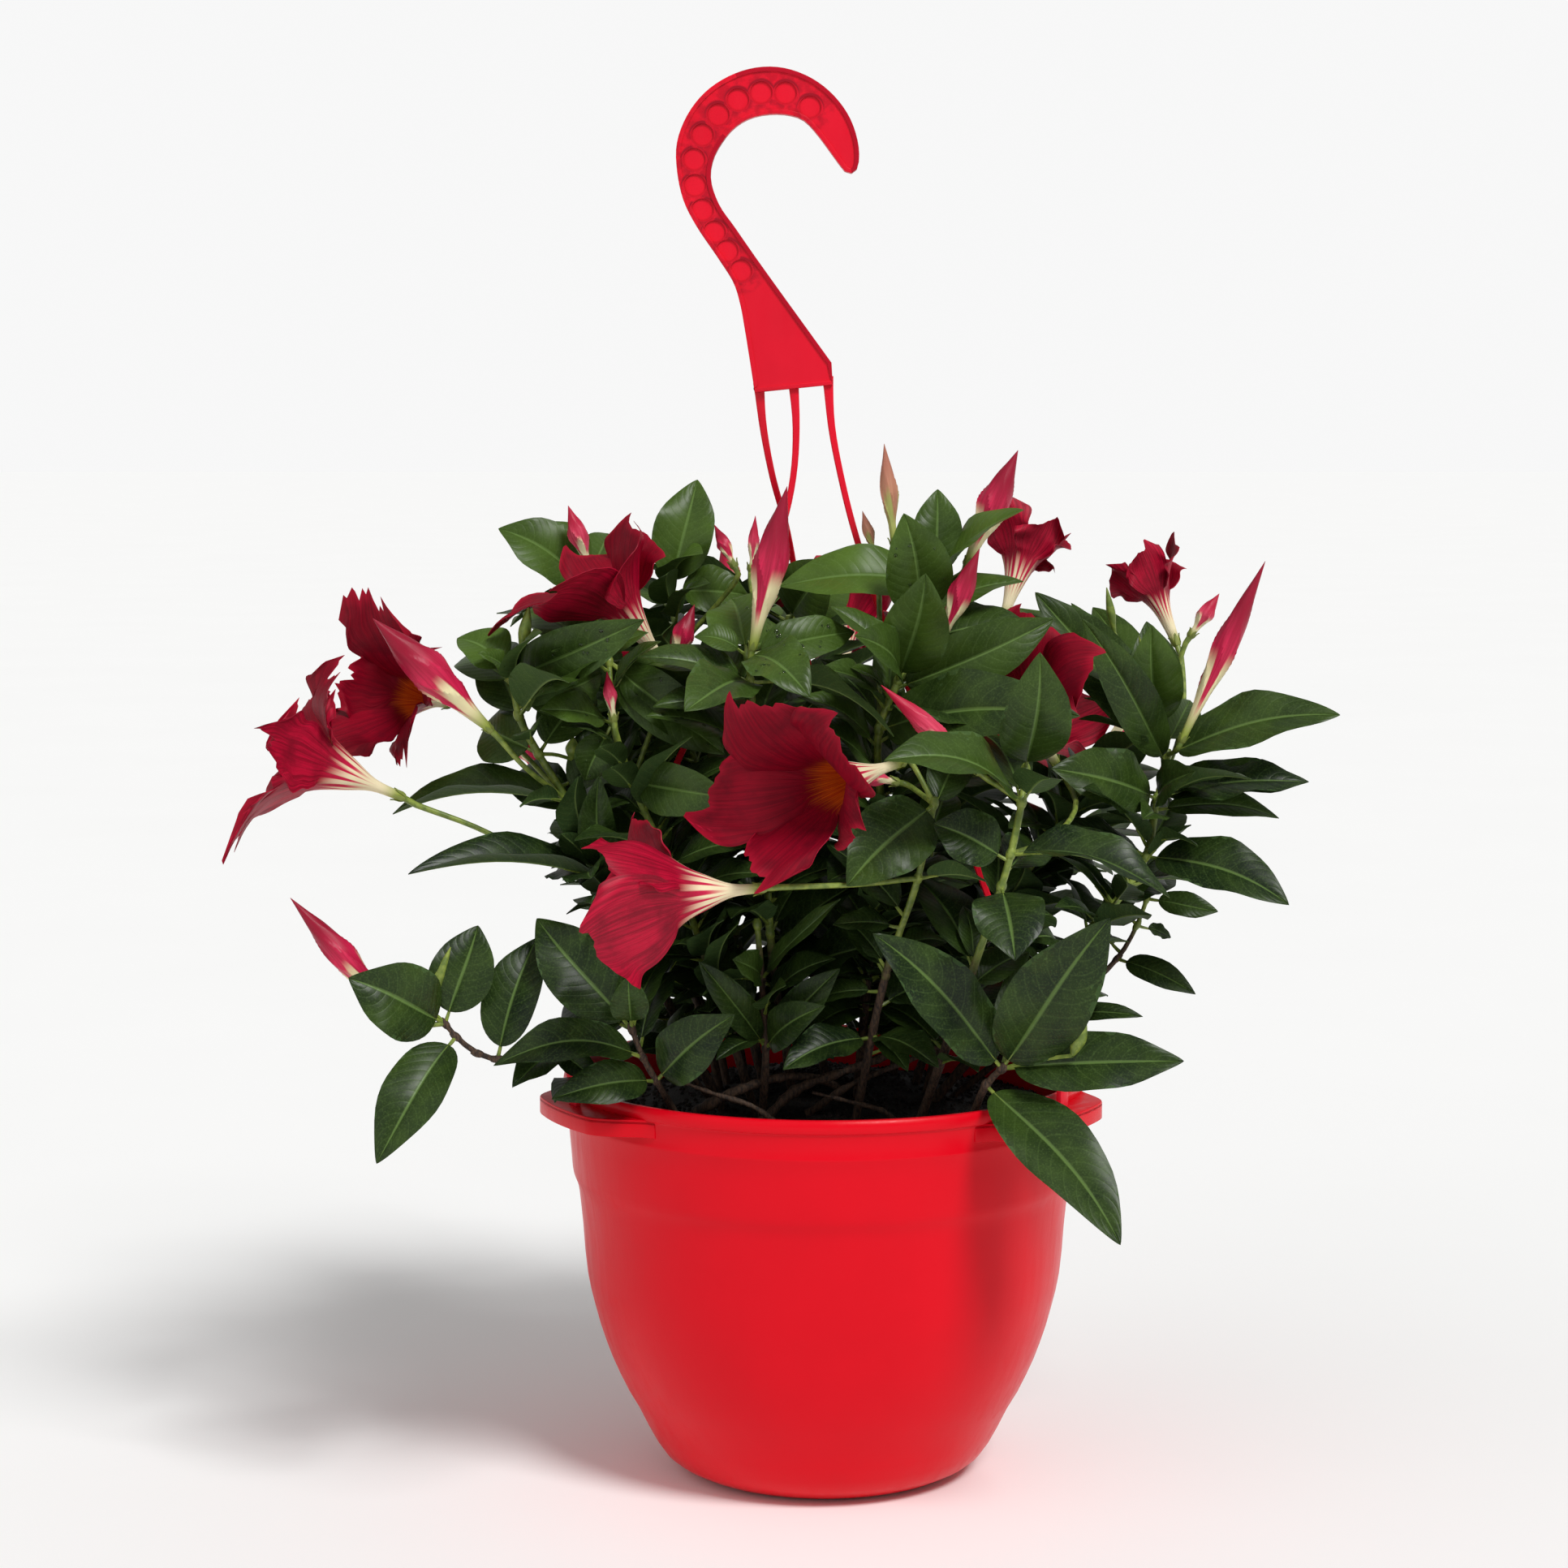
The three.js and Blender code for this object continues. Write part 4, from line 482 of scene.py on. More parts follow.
def make_random(seed):
    """The draws from 0 to 1 that the model's leaves were set with."""
    state = seed

    def draw():
        nonlocal state
        state = (state * CHANCE_FACTOR + CHANCE_SHIFT) % CHANCE_SPAN
        return state / CHANCE_SPAN
    return draw


def make_leaf(base, tip, width, looks, arch, fold=FOLD):
    reach = tip - base
    length = np.linalg.norm(reach)
    along = reach / length
    face = np.array(looks, float)
    face = unit(face - along * (face @ along))
    return SimpleNamespace(base=base, length=length, along=along, face=face,
                           across=np.cross(along, face), width=width, arch=arch,
                           fold=math.radians(fold))


BLADE_SHAPE = (0.55, 0.75)  # how a blade widens from its stalk and narrows to its tip
BLADE_WIDEST = 0.4124  # what this shape gives where the blade is widest


def half_width(leaf, u):
    widen, narrow = BLADE_SHAPE
    return (leaf.width / 2) * (u ** widen * (1 - u) ** narrow) / BLADE_WIDEST


def along_leaf(leaf, u):
    """The share of the whole leaf, stalk and blade, at u of the blade."""
    stalk = min(STALK / leaf.length, STALK_MOST)
    return stalk + (1 - stalk) * u


def leaf_place(leaf, t, side, rise):
    return (leaf.base + (leaf.length * t)[..., None] * leaf.along
            + side[..., None] * leaf.across + rise[..., None] * leaf.face)


def blade_point(leaf, u, v):
    """Points of the plain blade: u from stalk to tip, v from edge to edge."""
    t = along_leaf(leaf, u)
    half = half_width(leaf, u)
    rise = leaf.arch * np.sin(np.pi * t) + np.abs(v) * half * math.sin(leaf.fold)
    return leaf_place(leaf, t, v * half * math.cos(leaf.fold), rise)


BACK_FOOT = 50  # the far shoots leave the soil this far from its middle,
BACK_SWING = 1.35  # swing out late
BACK_CLIMB = 0.85  # and climb early


def shoot_point(heading, reach, height, t):
    radius = BACK_FOOT + (reach - BACK_FOOT) * t ** BACK_SWING
    z = SOIL_LEVEL + (height - SOIL_LEVEL) * t ** BACK_CLIMB
    return point(radius * math.cos(math.radians(heading)),
                 radius * math.sin(math.radians(heading)), z)


def plan_shoots():
    shoots = []
    for name, radius, points, leaves in SHOOTS:
        shoots.append(SimpleNamespace(name=name, radius=radius, leaves=leaves, back=False,
                                      points=[point(*p) for p in points], blades=[]))
    for i, (heading, reach, height) in enumerate(BACK_SHOOTS):
        points = [shoot_point(heading, reach, height, t) for t in (0, 0.25, 0.5, 0.75, 1)]
        shoots.append(SimpleNamespace(name=f"back_{i}", radius=2, leaves=[], back=True,
                                      points=points, blades=[]))
    return shoots


def plan_bloom(entry):
    name, base, mouth, radius, turn, petals = entry
    return SimpleNamespace(name=f"bloom_{name}", mouth=radius, turn=turn, petals=petals,
                           frame=axis_frame(point(*base), point(*mouth)))


def plan_bud(entry):
    name, base, tip, radius, colour = entry
    return SimpleNamespace(name=f"bud_{name}", radius=radius, colour=colour,
                           frame=axis_frame(point(*base), point(*tip)))


STALK_RADIUS = 1.5
STALK_END = 4  # straight end of a stalk under its bloom or bud


def plan_stalk(entry, shoots, carried):
    shoot, at, piece, way = entry
    bloom = carried[piece].frame
    points = [shoots[shoot].points[at], *[point(*p) for p in way],
              bloom.base - STALK_END * bloom.axis, bloom.base - GAP * bloom.axis]
    return SimpleNamespace(shoot=shoot, points=points)


class Room:
    """What the blades have to pass, as beads: a middle, a radius and the name of the owner."""

    MOST = 120000
    SPACING = 4
    OWN_ROOT = 15                # a blade may touch its own stem this near to its root
    MARGIN = 24                  # beads further than this from a blade's reach don't count

    def __init__(self):
        self.rows = np.zeros((self.MOST, 4))
        self.owners = np.zeros(self.MOST, int)
        self.names = {}
        self.count = 0

    def add(self, points, radius, owner):
        points = np.atleast_2d(points)
        end = self.count + len(points)
        self.rows[self.count:end, :3] = points
        self.rows[self.count:end, 3] = radius
        self.owners[self.count:end] = self.names.setdefault(owner, len(self.names))
        self.count = end

    def add_along(self, points, radius, owner):
        curve = Curve(points)
        self.add(curve.spaced(math.ceil(curve.length / self.SPACING)), radius, owner)

    def near(self, base, length, owner):
        """The beads a blade from base may meet, its owner's round its root apart."""
        rows = self.rows[:self.count]
        away = np.linalg.norm(rows[:, :3] - base, axis=1)
        own = self.owners[:self.count] == self.names.get(owner, -1)
        return rows[(away < length + self.MARGIN) & ~(own & (away < self.OWN_ROOT))]


EAR_GUARD = 24  # leaves stay clear of the ears from this far below their tops


def pot_clearance(points):
    r = np.hypot(points[:, 0], points[:, 1])
    z = points[:, 2]
    wall = np.where(z > EAR_TOP - EAR_GUARD, EAR_RADIUS, RIM_RADIUS)
    inside = np.minimum(INSIDE_RADIUS - r, z - SOIL_LEVEL)
    return np.where(z > POT_HEIGHT, z - POT_HEIGHT, np.where(r < INSIDE_RADIUS, inside, r - wall))


BEAD_U, BEAD_V = grid_points(np.arange(1, 11) / 10, np.arange(-2, 3) / 2)


def clearance(leaf, near):
    points = blade_point(leaf, BEAD_U, BEAD_V)
    least = pot_clearance(points)
    if len(near):
        apart = np.linalg.norm(points[:, None] - near[None, :, :3], axis=2) - near[None, :, 3]
        least = np.minimum(least, apart.min(axis=1))
    running = np.minimum.accumulate(least)
    below = np.nonzero(running < 0)[0]
    return running[below[0]] if len(below) else running[-1]


BEND_TURNS = 8  # ways to bend in, at each size of bend
BENDS = [(0.0, 0.0)] + [
    (size * math.cos(2 * math.pi * i / BEND_TURNS), size * math.sin(2 * math.pi * i / BEND_TURNS))
    for size in (7, 14, 21, 28) for i in range(BEND_TURNS)]
DRAWN_BENDS = BENDS[:25]
FEW_BENDS = BENDS[:9]


def bent_clear(room, shoot, base, tip, width, looks, arch, fold, bends, enough=CLEAR):
    """The first bend of the leaf's stalk that clears all that is there, or the best one."""
    reach = tip - base
    length = np.linalg.norm(reach)
    heading = math.atan2(reach[1], reach[0])
    rise = math.atan2(reach[2], math.hypot(reach[0], reach[1]))
    near = room.near(base, length, shoot.name)
    best = None
    for yaw, pitch in bends:
        a = heading + math.radians(yaw)
        e = rise + math.radians(pitch)
        way = point(math.cos(e) * math.cos(a), math.cos(e) * math.sin(a), math.sin(e))
        leaf = make_leaf(base, base + way * length, width, looks, arch, fold)
        leaf.room = clearance(leaf, near)
        if best is None or leaf.room > best.room:
            best = leaf
        if leaf.room >= enough:
            break
    return best


BLADE_BEAD = 0.6
PETAL_BEAD = 1


def keep(room, shoot, at, leaf):
    leaf.at = at
    shoot.blades.append(leaf)
    room.add(blade_point(leaf, BEAD_U, BEAD_V), BLADE_BEAD, shoot.name)


def inside_outline(points):
    """Which points lie inside the crown's outline as seen from the front."""
    x, z = points[:, 0], points[:, 2]
    inside = np.zeros(len(points), bool)
    for (x1, z1), (x2, z2) in zip(CROWN_OUTLINE, CROWN_OUTLINE[1:] + CROWN_OUTLINE[:1]):
        if z1 == z2:
            continue
        crosses = (z1 > z) != (z2 > z)
        inside ^= crosses & (x < (x2 - x1) * (z - z1) / (z2 - z1) + x1)
    return inside


CROWN_U, CROWN_V = grid_points([0.3, 0.6, 1], [-0.8, 0, 0.8])


def in_crown(leaf, front=CROWN_FRONT, window=WINDOW_HEIGHT):
    points = blade_point(leaf, CROWN_U, CROWN_V)
    x, y, z = points.T
    bare = (y < WINDOW_BACK) & (z < window) & (np.abs(x) < WINDOW_HALF)
    return bool(np.all(inside_outline(points) & (y < CROWN_DEPTH) & (y > front) & ~bare))


RULE_WIDTH = 0.42  # width and arch of a leaf set by rule, as shares of its length
RULE_ARCH = 0.08
RULE_LENGTH = 42  # least length of such a leaf, on the near and on the far side
FAR_LENGTH = 58
MORE_LENGTH = 20  # and what chance adds to it
TIP_LEAVES = 4  # leaves at the tip of a far shoot; elsewhere a pair


def looks_outward(outward):
    """The way a leaf's face looks: up, and away from the middle of the pot."""
    return (0.7 * math.cos(outward), 0.7 * math.sin(outward), 1)


def rule_leaf(room, random, shoot, at, heading, length):
    base = shoot.points[at]
    outward = math.atan2(base[1], base[0])
    way = point(math.cos(heading), math.sin(heading), 0.15 + 0.5 * random())
    way[0] += 0.5 * math.cos(outward)
    way[1] += 0.5 * math.sin(outward)
    way = unit(way)
    for leaf in shoot.blades:
        if leaf.at == at and math.acos(np.clip(leaf.along @ way, -1, 1)) <= math.radians(APART):
            return
    leaf = bent_clear(room, shoot, base, base + way * length, RULE_WIDTH * length,
                      looks_outward(outward), RULE_ARCH * length, FOLD, BENDS)
    if leaf.room >= CLEAR and in_crown(leaf):
        keep(room, shoot, at, leaf)


CARRIED_BEADS = 10  # spaces between the beads along a bloom or a bud
STRAP_BEAD = 2
TUBE_BEAD = 3


def fill_room(shoots, stalks, buds, blooms):
    """The room with all in it that the leaves have to pass."""
    room = Room()
    for path in STRAP_PATHS:
        room.add_along(path, STRAP_BEAD, "hanger")
    for shoot in shoots:
        room.add_along(shoot.points, shoot.radius, shoot.name)
    for stalk in stalks:
        room.add_along(stalk.points, STALK_RADIUS, stalk.shoot)
    for bud in buds:
        for i in range(CARRIED_BEADS + 1):
            middle = bud.frame.base + bud.frame.axis * (bud.frame.length * i / CARRIED_BEADS)
            room.add(middle, bud.radius * math.sin(math.pi * (i + 1) / 12), bud.name)
    for bloom in blooms:
        for i in range(CARRIED_BEADS + 1):
            share = i / CARRIED_BEADS
            middle = bloom.frame.base + bloom.frame.axis * (bloom.frame.length * i / CARRIED_BEADS)
            room.add(middle, TUBE_BEAD if i < 5 else bloom.mouth * share ** 2, bloom.name)
        add_petals(room, bloom, np.arange(1, 6) / 5)
    return room


def add_petals(room, bloom, rows):
    u, v = grid_points(rows, np.arange(-2, 3) / 2)
    for k in range(PETALS):
        room.add(plain_petal_point(bloom, k, u, v), PETAL_BEAD, bloom.name)


def plan_plant():
    shoots = plan_shoots()
    by_name = {shoot.name: shoot for shoot in shoots}
    blooms = [plan_bloom(entry) for entry in BLOOMS]
    buds = [plan_bud(entry) for entry in BUDS]
    carried = {piece.name: piece for piece in blooms + buds}
    stalks = [plan_stalk(entry, by_name, carried) for entry in STALKS]
    room = fill_room(shoots, stalks, buds, blooms)
    for shoot in shoots:
        for at, tip, width, looks, arch, *fold in shoot.leaves:
            leaf = bent_clear(room, shoot, shoot.points[at], point(*tip), width, looks, arch,
                              fold[0] if fold else FOLD, DRAWN_BENDS)
            keep(room, shoot, at, leaf)
    random = make_random(RULE_SEED)
    for shoot in shoots:
        last = len(shoot.points) - 1
        for at in range(last, 0, -1):
            base = shoot.points[at]
            outward = math.atan2(base[1], base[0])
            turn = outward + (at % 2) * (math.pi / 2) + 0.7 * (random() - 0.5)
            count = TIP_LEAVES if shoot.back and at == last else 2
            length = (FAR_LENGTH if shoot.back else RULE_LENGTH) + MORE_LENGTH * random()
            for i in range(count):
                rule_leaf(room, random, shoot, at,
                          turn + math.pi / 2 + 2 * math.pi * i / count, length)
    return SimpleNamespace(shoots=shoots, blooms=blooms, buds=buds, stalks=stalks, room=room)


# ---- pieces out of faces
class Piece:
    """Faces of one piece, gathered part by part, in millimetres."""

    def __init__(self):
        self.points, self.quads, self.uvs, self.finishes, self.tones = [], [], [], [], []
        self.ends = []
        self.count = 0

    def add(self, points, quads, uvs, finish, tone=0.0):
        """points (n, 3), quads (m, 4), uvs (m, 4, 2), finish (m) or one, tone (n) or one."""
        self.points.append(points)
        self.quads.append(quads + self.count)
        self.uvs.append(uvs)
        self.finishes.append(np.broadcast_to(finish, len(quads)))
        self.tones.append(np.broadcast_to(np.asarray(tone, float), len(points)))
        self.count += len(points)

    def loft(self, rings, uv, finish, tone=0.0):
        """A closed skin over rings of points (rings, around, 3), with uv (rings, around + 1, 2)."""
        rings = np.asarray(rings, float)
        count, around = rings.shape[:2]
        index = np.arange(count * around).reshape(count, around)
        turned = np.roll(index, -1, axis=1)
        quads = np.stack([index[:-1], turned[:-1], turned[1:], index[1:]], -1).reshape(-1, 4)
        corners = np.stack([uv[:-1, :-1], uv[:-1, 1:], uv[1:, 1:], uv[1:, :-1]], 2)
        corners = corners.reshape(-1, 4, 2)
        flat = rings.reshape(-1, 3)
        inward = signed_volume(flat, quads) < 0
        if inward:
            quads, corners = quads[:, ::-1], corners[:, ::-1]
        if np.ndim(finish) == 1:
            finish = np.tile(finish, count - 1)
        start = self.count
        tone = np.repeat(tone, around) if np.ndim(tone) == 1 else tone
        self.add(flat, quads, corners, finish, tone)
        first, last = index[0][::-1], index[-1]
        if inward:
            first, last = first[::-1], last[::-1]
        mark = finish if np.ndim(finish) == 0 else finish[0]
        self.ends += [(first + start, mark, uv[0, 0]), (last + start, mark, uv[-1, 0])]

    def rod(self, path, radii, around, finish, tone=0.0):
        """A round rod along a path, with uv that runs from 0 to 1 along it."""
        uv = ring_uv(np.linspace(0, 1, len(path)), around)
        self.loft(round_rings(path, radii, around), uv, finish, tone)

    def build(self, name, finishes, nodes, sharp=50):
        mesh = bpy.data.meshes.new(name)
        quads = np.vstack(self.quads)
        loops = np.concatenate([quads.ravel(), *[end for end, _, _ in self.ends]])
        sizes = np.concatenate([np.full(len(quads), 4), [len(end) for end, _, _ in self.ends]])
        marks = np.concatenate([*self.finishes, [mark for _, mark, _ in self.ends]])
        end_uvs = [np.tile(uv, (len(end), 1)) for end, _, uv in self.ends]
        uvs = np.vstack([np.vstack(self.uvs).reshape(-1, 2), *end_uvs])
        mesh.vertices.add(self.count)
        mesh.vertices.foreach_set("co", (np.vstack(self.points) * MM).ravel())
        mesh.loops.add(len(loops))
        mesh.loops.foreach_set("vertex_index", loops.astype(np.int32))
        mesh.polygons.add(len(sizes))
        starts = np.concatenate([[0], np.cumsum(sizes)[:-1]])
        mesh.polygons.foreach_set("loop_start", starts.astype(np.int32))
        mesh.polygons.foreach_set("material_index", marks.astype(np.int32))
        mesh.polygons.foreach_set("use_smooth", np.ones(len(sizes), bool))
        mesh.uv_layers.new(name="Surface").data.foreach_set("uv", uvs.ravel())
        tone = mesh.attributes.new("tone", "FLOAT", "POINT")
        tone.data.foreach_set("value", np.concatenate(self.tones).astype(np.float32))
        mesh.update(calc_edges=True)
        mesh.set_sharp_from_angle(angle=math.radians(sharp))
        for finish in finishes:
            mesh.materials.append(finish)
        return dressed(bpy.data.objects.new(name, mesh), nodes)


def signed_volume(points, quads):
    a, b, c, d = (points[quads[:, k]] - points[0] for k in range(4))
    return float((np.cross(b, c) * a).sum() + (np.cross(c, d) * a).sum())


def dressed(piece, nodes):
    """The piece in the scene, standing for its nodes."""
    if piece.name not in bpy.context.scene.collection.objects:
        bpy.context.scene.collection.objects.link(piece)
    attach(piece, "root")
    if nodes:
        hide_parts(*nodes)
    return piece


def ring_uv(along, around):
    """uv for a loft: u round the ring, v as given for each ring."""
    u = np.broadcast_to(np.linspace(0, 1, around + 1), (len(along), around + 1))
    return np.stack([u, np.repeat(np.asarray(along, float)[:, None], around + 1, 1)], -1)


def carried_frames(points):
    """Two directions across a path at each of its points, without twist."""
    ways = np.gradient(points, axis=0)
    ways /= np.linalg.norm(ways, axis=1, keepdims=True)
    side = np.cross(ways[0], UP)
    if np.linalg.norm(side) < 0.2:
        side = np.cross(ways[0], point(0, 1, 0))
    sides = []
    for way in ways:
        side = unit(side - way * (side @ way))
        sides.append(side)
    sides = np.array(sides)
    return sides, np.cross(ways, sides)


def round_rings(points, radii, around):
    sides, others = carried_frames(points)
    turn = np.linspace(0, 2 * math.pi, around, endpoint=False)
    radii = np.broadcast_to(np.asarray(radii, float), len(points))[:, None, None]
    return (points[:, None] + radii * (np.cos(turn)[None, :, None] * sides[:, None]
                                       + np.sin(turn)[None, :, None] * others[:, None]))


# ---- leaves and stems
LEAF_FACE, LEAF_BACK, STEM_SKIN = 0, 1, 2
# Places across a blade, closer at the edges and the midrib.
BLADE_V = np.array([-1, -0.84, -0.6, -0.34, -0.12, 0, 0.12, 0.34, 0.6, 0.84, 1])
PETIOLE = 1.05  # radius of a leaf's stalk at the stem


def leafy_point(leaf, u, v, lift):
    """The grown blade: the plain one with a rounder fold, waved edges and a hanging tip."""
    t = along_leaf(leaf, u)
    half = half_width(leaf, u) * (1 - 0.3 * np.clip((u - 0.7) / 0.3, 0, 1) ** 1.5)
    open_fold = np.abs(v) * (1.3 - 0.42 * np.abs(v))
    wave = leaf.wave * half * v ** 2 * np.sin(2 * math.pi * (leaf.ripples * u + leaf.phase)
                                              + (v > 0) * leaf.offset)
    rise = (leaf.arch * np.sin(np.pi * t) + open_fold * half * math.sin(leaf.fold) + wave
            - leaf.droop * u ** 3 + lift)
    sway = leaf.sway * np.sin(np.pi * t) * t
    return leaf_place(leaf, t, v * half * math.cos(leaf.fold) + sway, rise)


BLADE_HALF = 0.34  # how far a blade's upper side stands over its middle
BLADE_UNDER = 0.3  # and its lower side under it, away from the midrib
GROOVE = 0.3  # depth of the groove along the upper side
RIB = 0.75  # how far the midrib stands out of the lower side at its root


def grow_leaf(piece, leaf, steps):
    u = 0.5 - 0.5 * np.cos(np.linspace(0.06, math.pi - 0.05, steps))
    top_u, top_v = np.meshgrid(u, BLADE_V, indexing="ij")
    low_u, low_v = np.meshgrid(u, BLADE_V[-2:0:-1], indexing="ij")
    thin = BLADE_HALF * (1 - top_v ** 2)
    groove = GROOVE * np.exp(-(top_v / 0.08) ** 2)
    rib = BLADE_UNDER + RIB * np.exp(-(low_v / 0.09) ** 2) * (1 - low_u) ** 0.6
    top = leafy_point(leaf, top_u, top_v, thin - groove)
    low = leafy_point(leaf, low_u, low_v, -rib * (1 - low_v ** 2))
    around = np.concatenate([BLADE_V, BLADE_V[-2:0:-1], BLADE_V[:1]])
    uv = np.stack(np.broadcast_arrays(u[:, None], (around / 2 + 0.5)[None]), -1)
    finish = np.where(np.arange(len(around) - 1) < len(BLADE_V) - 1, LEAF_FACE, LEAF_BACK)
    piece.loft(np.concatenate([top, low], 1), uv, finish, leaf.tone)
    heel = leafy_point(leaf, np.array([0.03, 0.16]), np.zeros(2), np.array([-0.5, -0.75]))
    middle = leaf.base + 0.55 * (heel[0] - leaf.base) - leaf.face * 0.3
    path = Curve([leaf.base, middle, heel[0], heel[1]]).spaced(5)
    piece.rod(path, np.linspace(PETIOLE, 0.5, 6), 6, STEM_SKIN, 0.1)


LOW_LEAVES = 300  # blades are darker below here, as painted shade, and fresher and lighter up to here, as painted light
HIGH_LEAVES = 450
GROWTH = {  # what each blade draws for itself, from least to most
    "wave": (0.05, 0.17), "ripples": (1.2, 2.6), "phase": (0, 1), "offset": (1, 4),
    "droop": (0.0, 0.11), "sway": (-0.05, 0.05),
}
TONE_SPREAD = (-0.14, 0.22)


def give_growth(leaf, chance, age):
    """How a blade differs from the plain one: its waves, bends and how dark it is, with painted
    shade on the lower blades and young blades lighter.
    """
    for name, span in GROWTH.items():
        setattr(leaf, name, chance.uniform(*span))
    leaf.droop *= leaf.length
    leaf.sway *= leaf.length
    middle = leaf.base[2] + leaf.along[2] * leaf.length / 2
    height = np.clip((middle - LOW_LEAVES) / (HIGH_LEAVES - LOW_LEAVES), 0, 1)
    age += chance.uniform(*TONE_SPREAD)
    # the higher a blade, the lighter: painted light and shade by height; age adds the lighter green
    # of young growth
    leaf.tone = float(np.clip(0.32 * height + age * (0.35 + 0.65 * height), 0, 1))


STEM_STEP = 7


def stem_path(shoot):
    x, y, _ = shoot.points[0]
    curve = Curve([point(x, y, SOIL_LEVEL + ROOT_RISE), *shoot.points[1:]])
    rise = curve.spaced(max(6, round(curve.length / STEM_STEP)))
    return np.vstack([point(x, y, SOIL_LEVEL - ROOT_DEPTH), rise])


WOOD_TOP = 268  # stems are brown and woody up to about this height
WOOD_BLEND = 45
KNOT_STEPS = np.array([-3.2, -1.6, 0, 1.6, 3.2])
KNOT_SWELL = np.array([0.6, 1.0, 1.14, 1.0, 0.6])


def woody(height, share):
    return np.clip((WOOD_TOP - height) / WOOD_BLEND + share, 0, 1)


def grow_stem(piece, shoot, chance):
    path = stem_path(shoot)
    run = np.linspace(0, 1, len(path))
    radii = shoot.radius * (1.12 - 0.42 * run) * (1 + 0.05 * chance.standard_normal(len(path)))
    piece.rod(path, radii, 9, STEM_SKIN, woody(path[:, 2], 0.5))
    for before, knot in zip(shoot.points, shoot.points[1:]):
        ends = knot + KNOT_STEPS[:, None] * unit(knot - before)
        piece.rod(ends, shoot.radius * KNOT_SWELL, 8, STEM_SKIN, float(woody(knot[2], 0.4)))


def grow_stalk(piece, stalk):
    radii = 1.25 + 0.35 * np.linspace(-0.2, 1, 15) ** 4
    piece.rod(Curve(stalk.points).spaced(14), radii, 8, STEM_SKIN)


def grow_young_bud(piece, shoot, base, tip, radius):
    frame = axis_frame(point(*base), point(*tip))
    root = min(shoot.points, key=lambda place: np.linalg.norm(place - frame.base))
    stalk = Curve([root, (root + frame.base) / 2 + frame.axis, frame.base]).spaced(5)
    piece.rod(stalk, 1.0, 6, STEM_SKIN)
    along = np.linspace(0.0, 1, 12)
    swell = smooth_between([0, 0.15, 0.42, 0.7, 1],
                           [1.0, 0.62 * radius, radius, 0.7 * radius, 0.25], along)
    piece.rod(frame.base + along[:, None] * frame.length * frame.axis, swell, 10, STEM_SKIN)


SMALL_LEAF = 22  # narrower leaves are young: paler, and made of fewer faces


def grow_shoot(shoot, plan, chance):
    piece = Piece()
    grow_stem(piece, shoot, chance)
    for stalk in plan.stalks:
        if stalk.shoot == shoot.name:
            grow_stalk(piece, stalk)
    for owner, base, tip, radius in YOUNG_BUDS:
        if owner == shoot.name:
            grow_young_bud(piece, shoot, base, tip, radius)
    last = len(shoot.points) - 1
    for leaf in shoot.blades:
        small = leaf.width < SMALL_LEAF
        give_growth(leaf, chance, 0.02 + 0.16 * (leaf.at >= last - 1) + 0.1 * small)
        grow_leaf(piece, leaf, 14 if small else 20)
    piece.build(f"leafy_stem_{shoot.name}", [LEAF_FACE_FINISH, LEAF_BACK_FINISH, STEM_FINISH],
                [f"shoot_{shoot.name}"])


# ---- blooms and buds
PETAL_FACE, PETAL_BACK, CALYX_SKIN = 0, 1, 2
SIDE = math.pi / PETALS
ACROSS = 18  # steps across a petal
PETAL_ROWS = 17  # rows from throat to edge


def petal_place(bloom, k, out, side, forward):
    frame = bloom.frame
    turn = math.radians(bloom.turn + 360 / PETALS * k)
    x = out * math.cos(turn) - side * math.sin(turn)
    y = out * math.sin(turn) + side * math.cos(turn)
    return (frame.base + x[..., None] * frame.first + y[..., None] * frame.second
            + forward[..., None] * frame.axis)


THROAT_INSET = 0.75
FUNNEL_WALL = 0.8
FUNNEL_TOP = 0.34  # the last part of the funnel, as a share of its length,
FUNNEL_SPREAD = 0.5  # and how far it spreads there, as a share of the mouth
PETAL_OVERLAP = 4.4  # one edge of each petal lies this far over its neighbour


def throat_radius(bloom):
    return bloom.mouth * math.cos(SIDE) - THROAT_INSET


def throat_half(bloom):
    """Half the width of a petal where it leaves the throat."""
    return throat_radius(bloom) * math.tan(SIDE)


def curled_place(bloom, k, run, side, lift):
    """Points on the arc that a petal curls along: run along it, side across, lift off its face."""
    reach, lean, _ = bloom.petals[k]
    start = math.atan2(FUNNEL_SPREAD * bloom.mouth * math.cos(SIDE),
                       FUNNEL_TOP * bloom.frame.length)
    bend = math.radians(lean) - start
    angle = start + bend * run
    out = throat_radius(bloom) + reach * (math.cos(start) - np.cos(angle)) / bend
    up = bloom.frame.length + reach * (np.sin(angle) - math.sin(start)) / bend
    return petal_place(bloom, k, out - lift * np.cos(angle), side, up + lift * np.sin(angle))


def plain_petal_point(bloom, k, u, v):
    """The petal of the model: u from throat to edge, v across, one edge over its neighbour."""
    width = bloom.petals[k][2]
    run = u * (1 + 0.13 * v - 0.07 * v * v)
    root_half = throat_half(bloom) - 0.6
    side = v * (root_half * (1 - run) ** 2 + (width / 2) * (2.75 * run - 2.05 * run * run))
    return curled_place(bloom, k, run, side, PETAL_OVERLAP * v * np.sqrt(u))


PETAL_TIP = 0.2  # each petal is drawn out to a point near one of its sides
PETAL_TIP_AT = 0.6
PETAL_TIP_WIDTH = 0.2
PETAL_CUP = 2.2


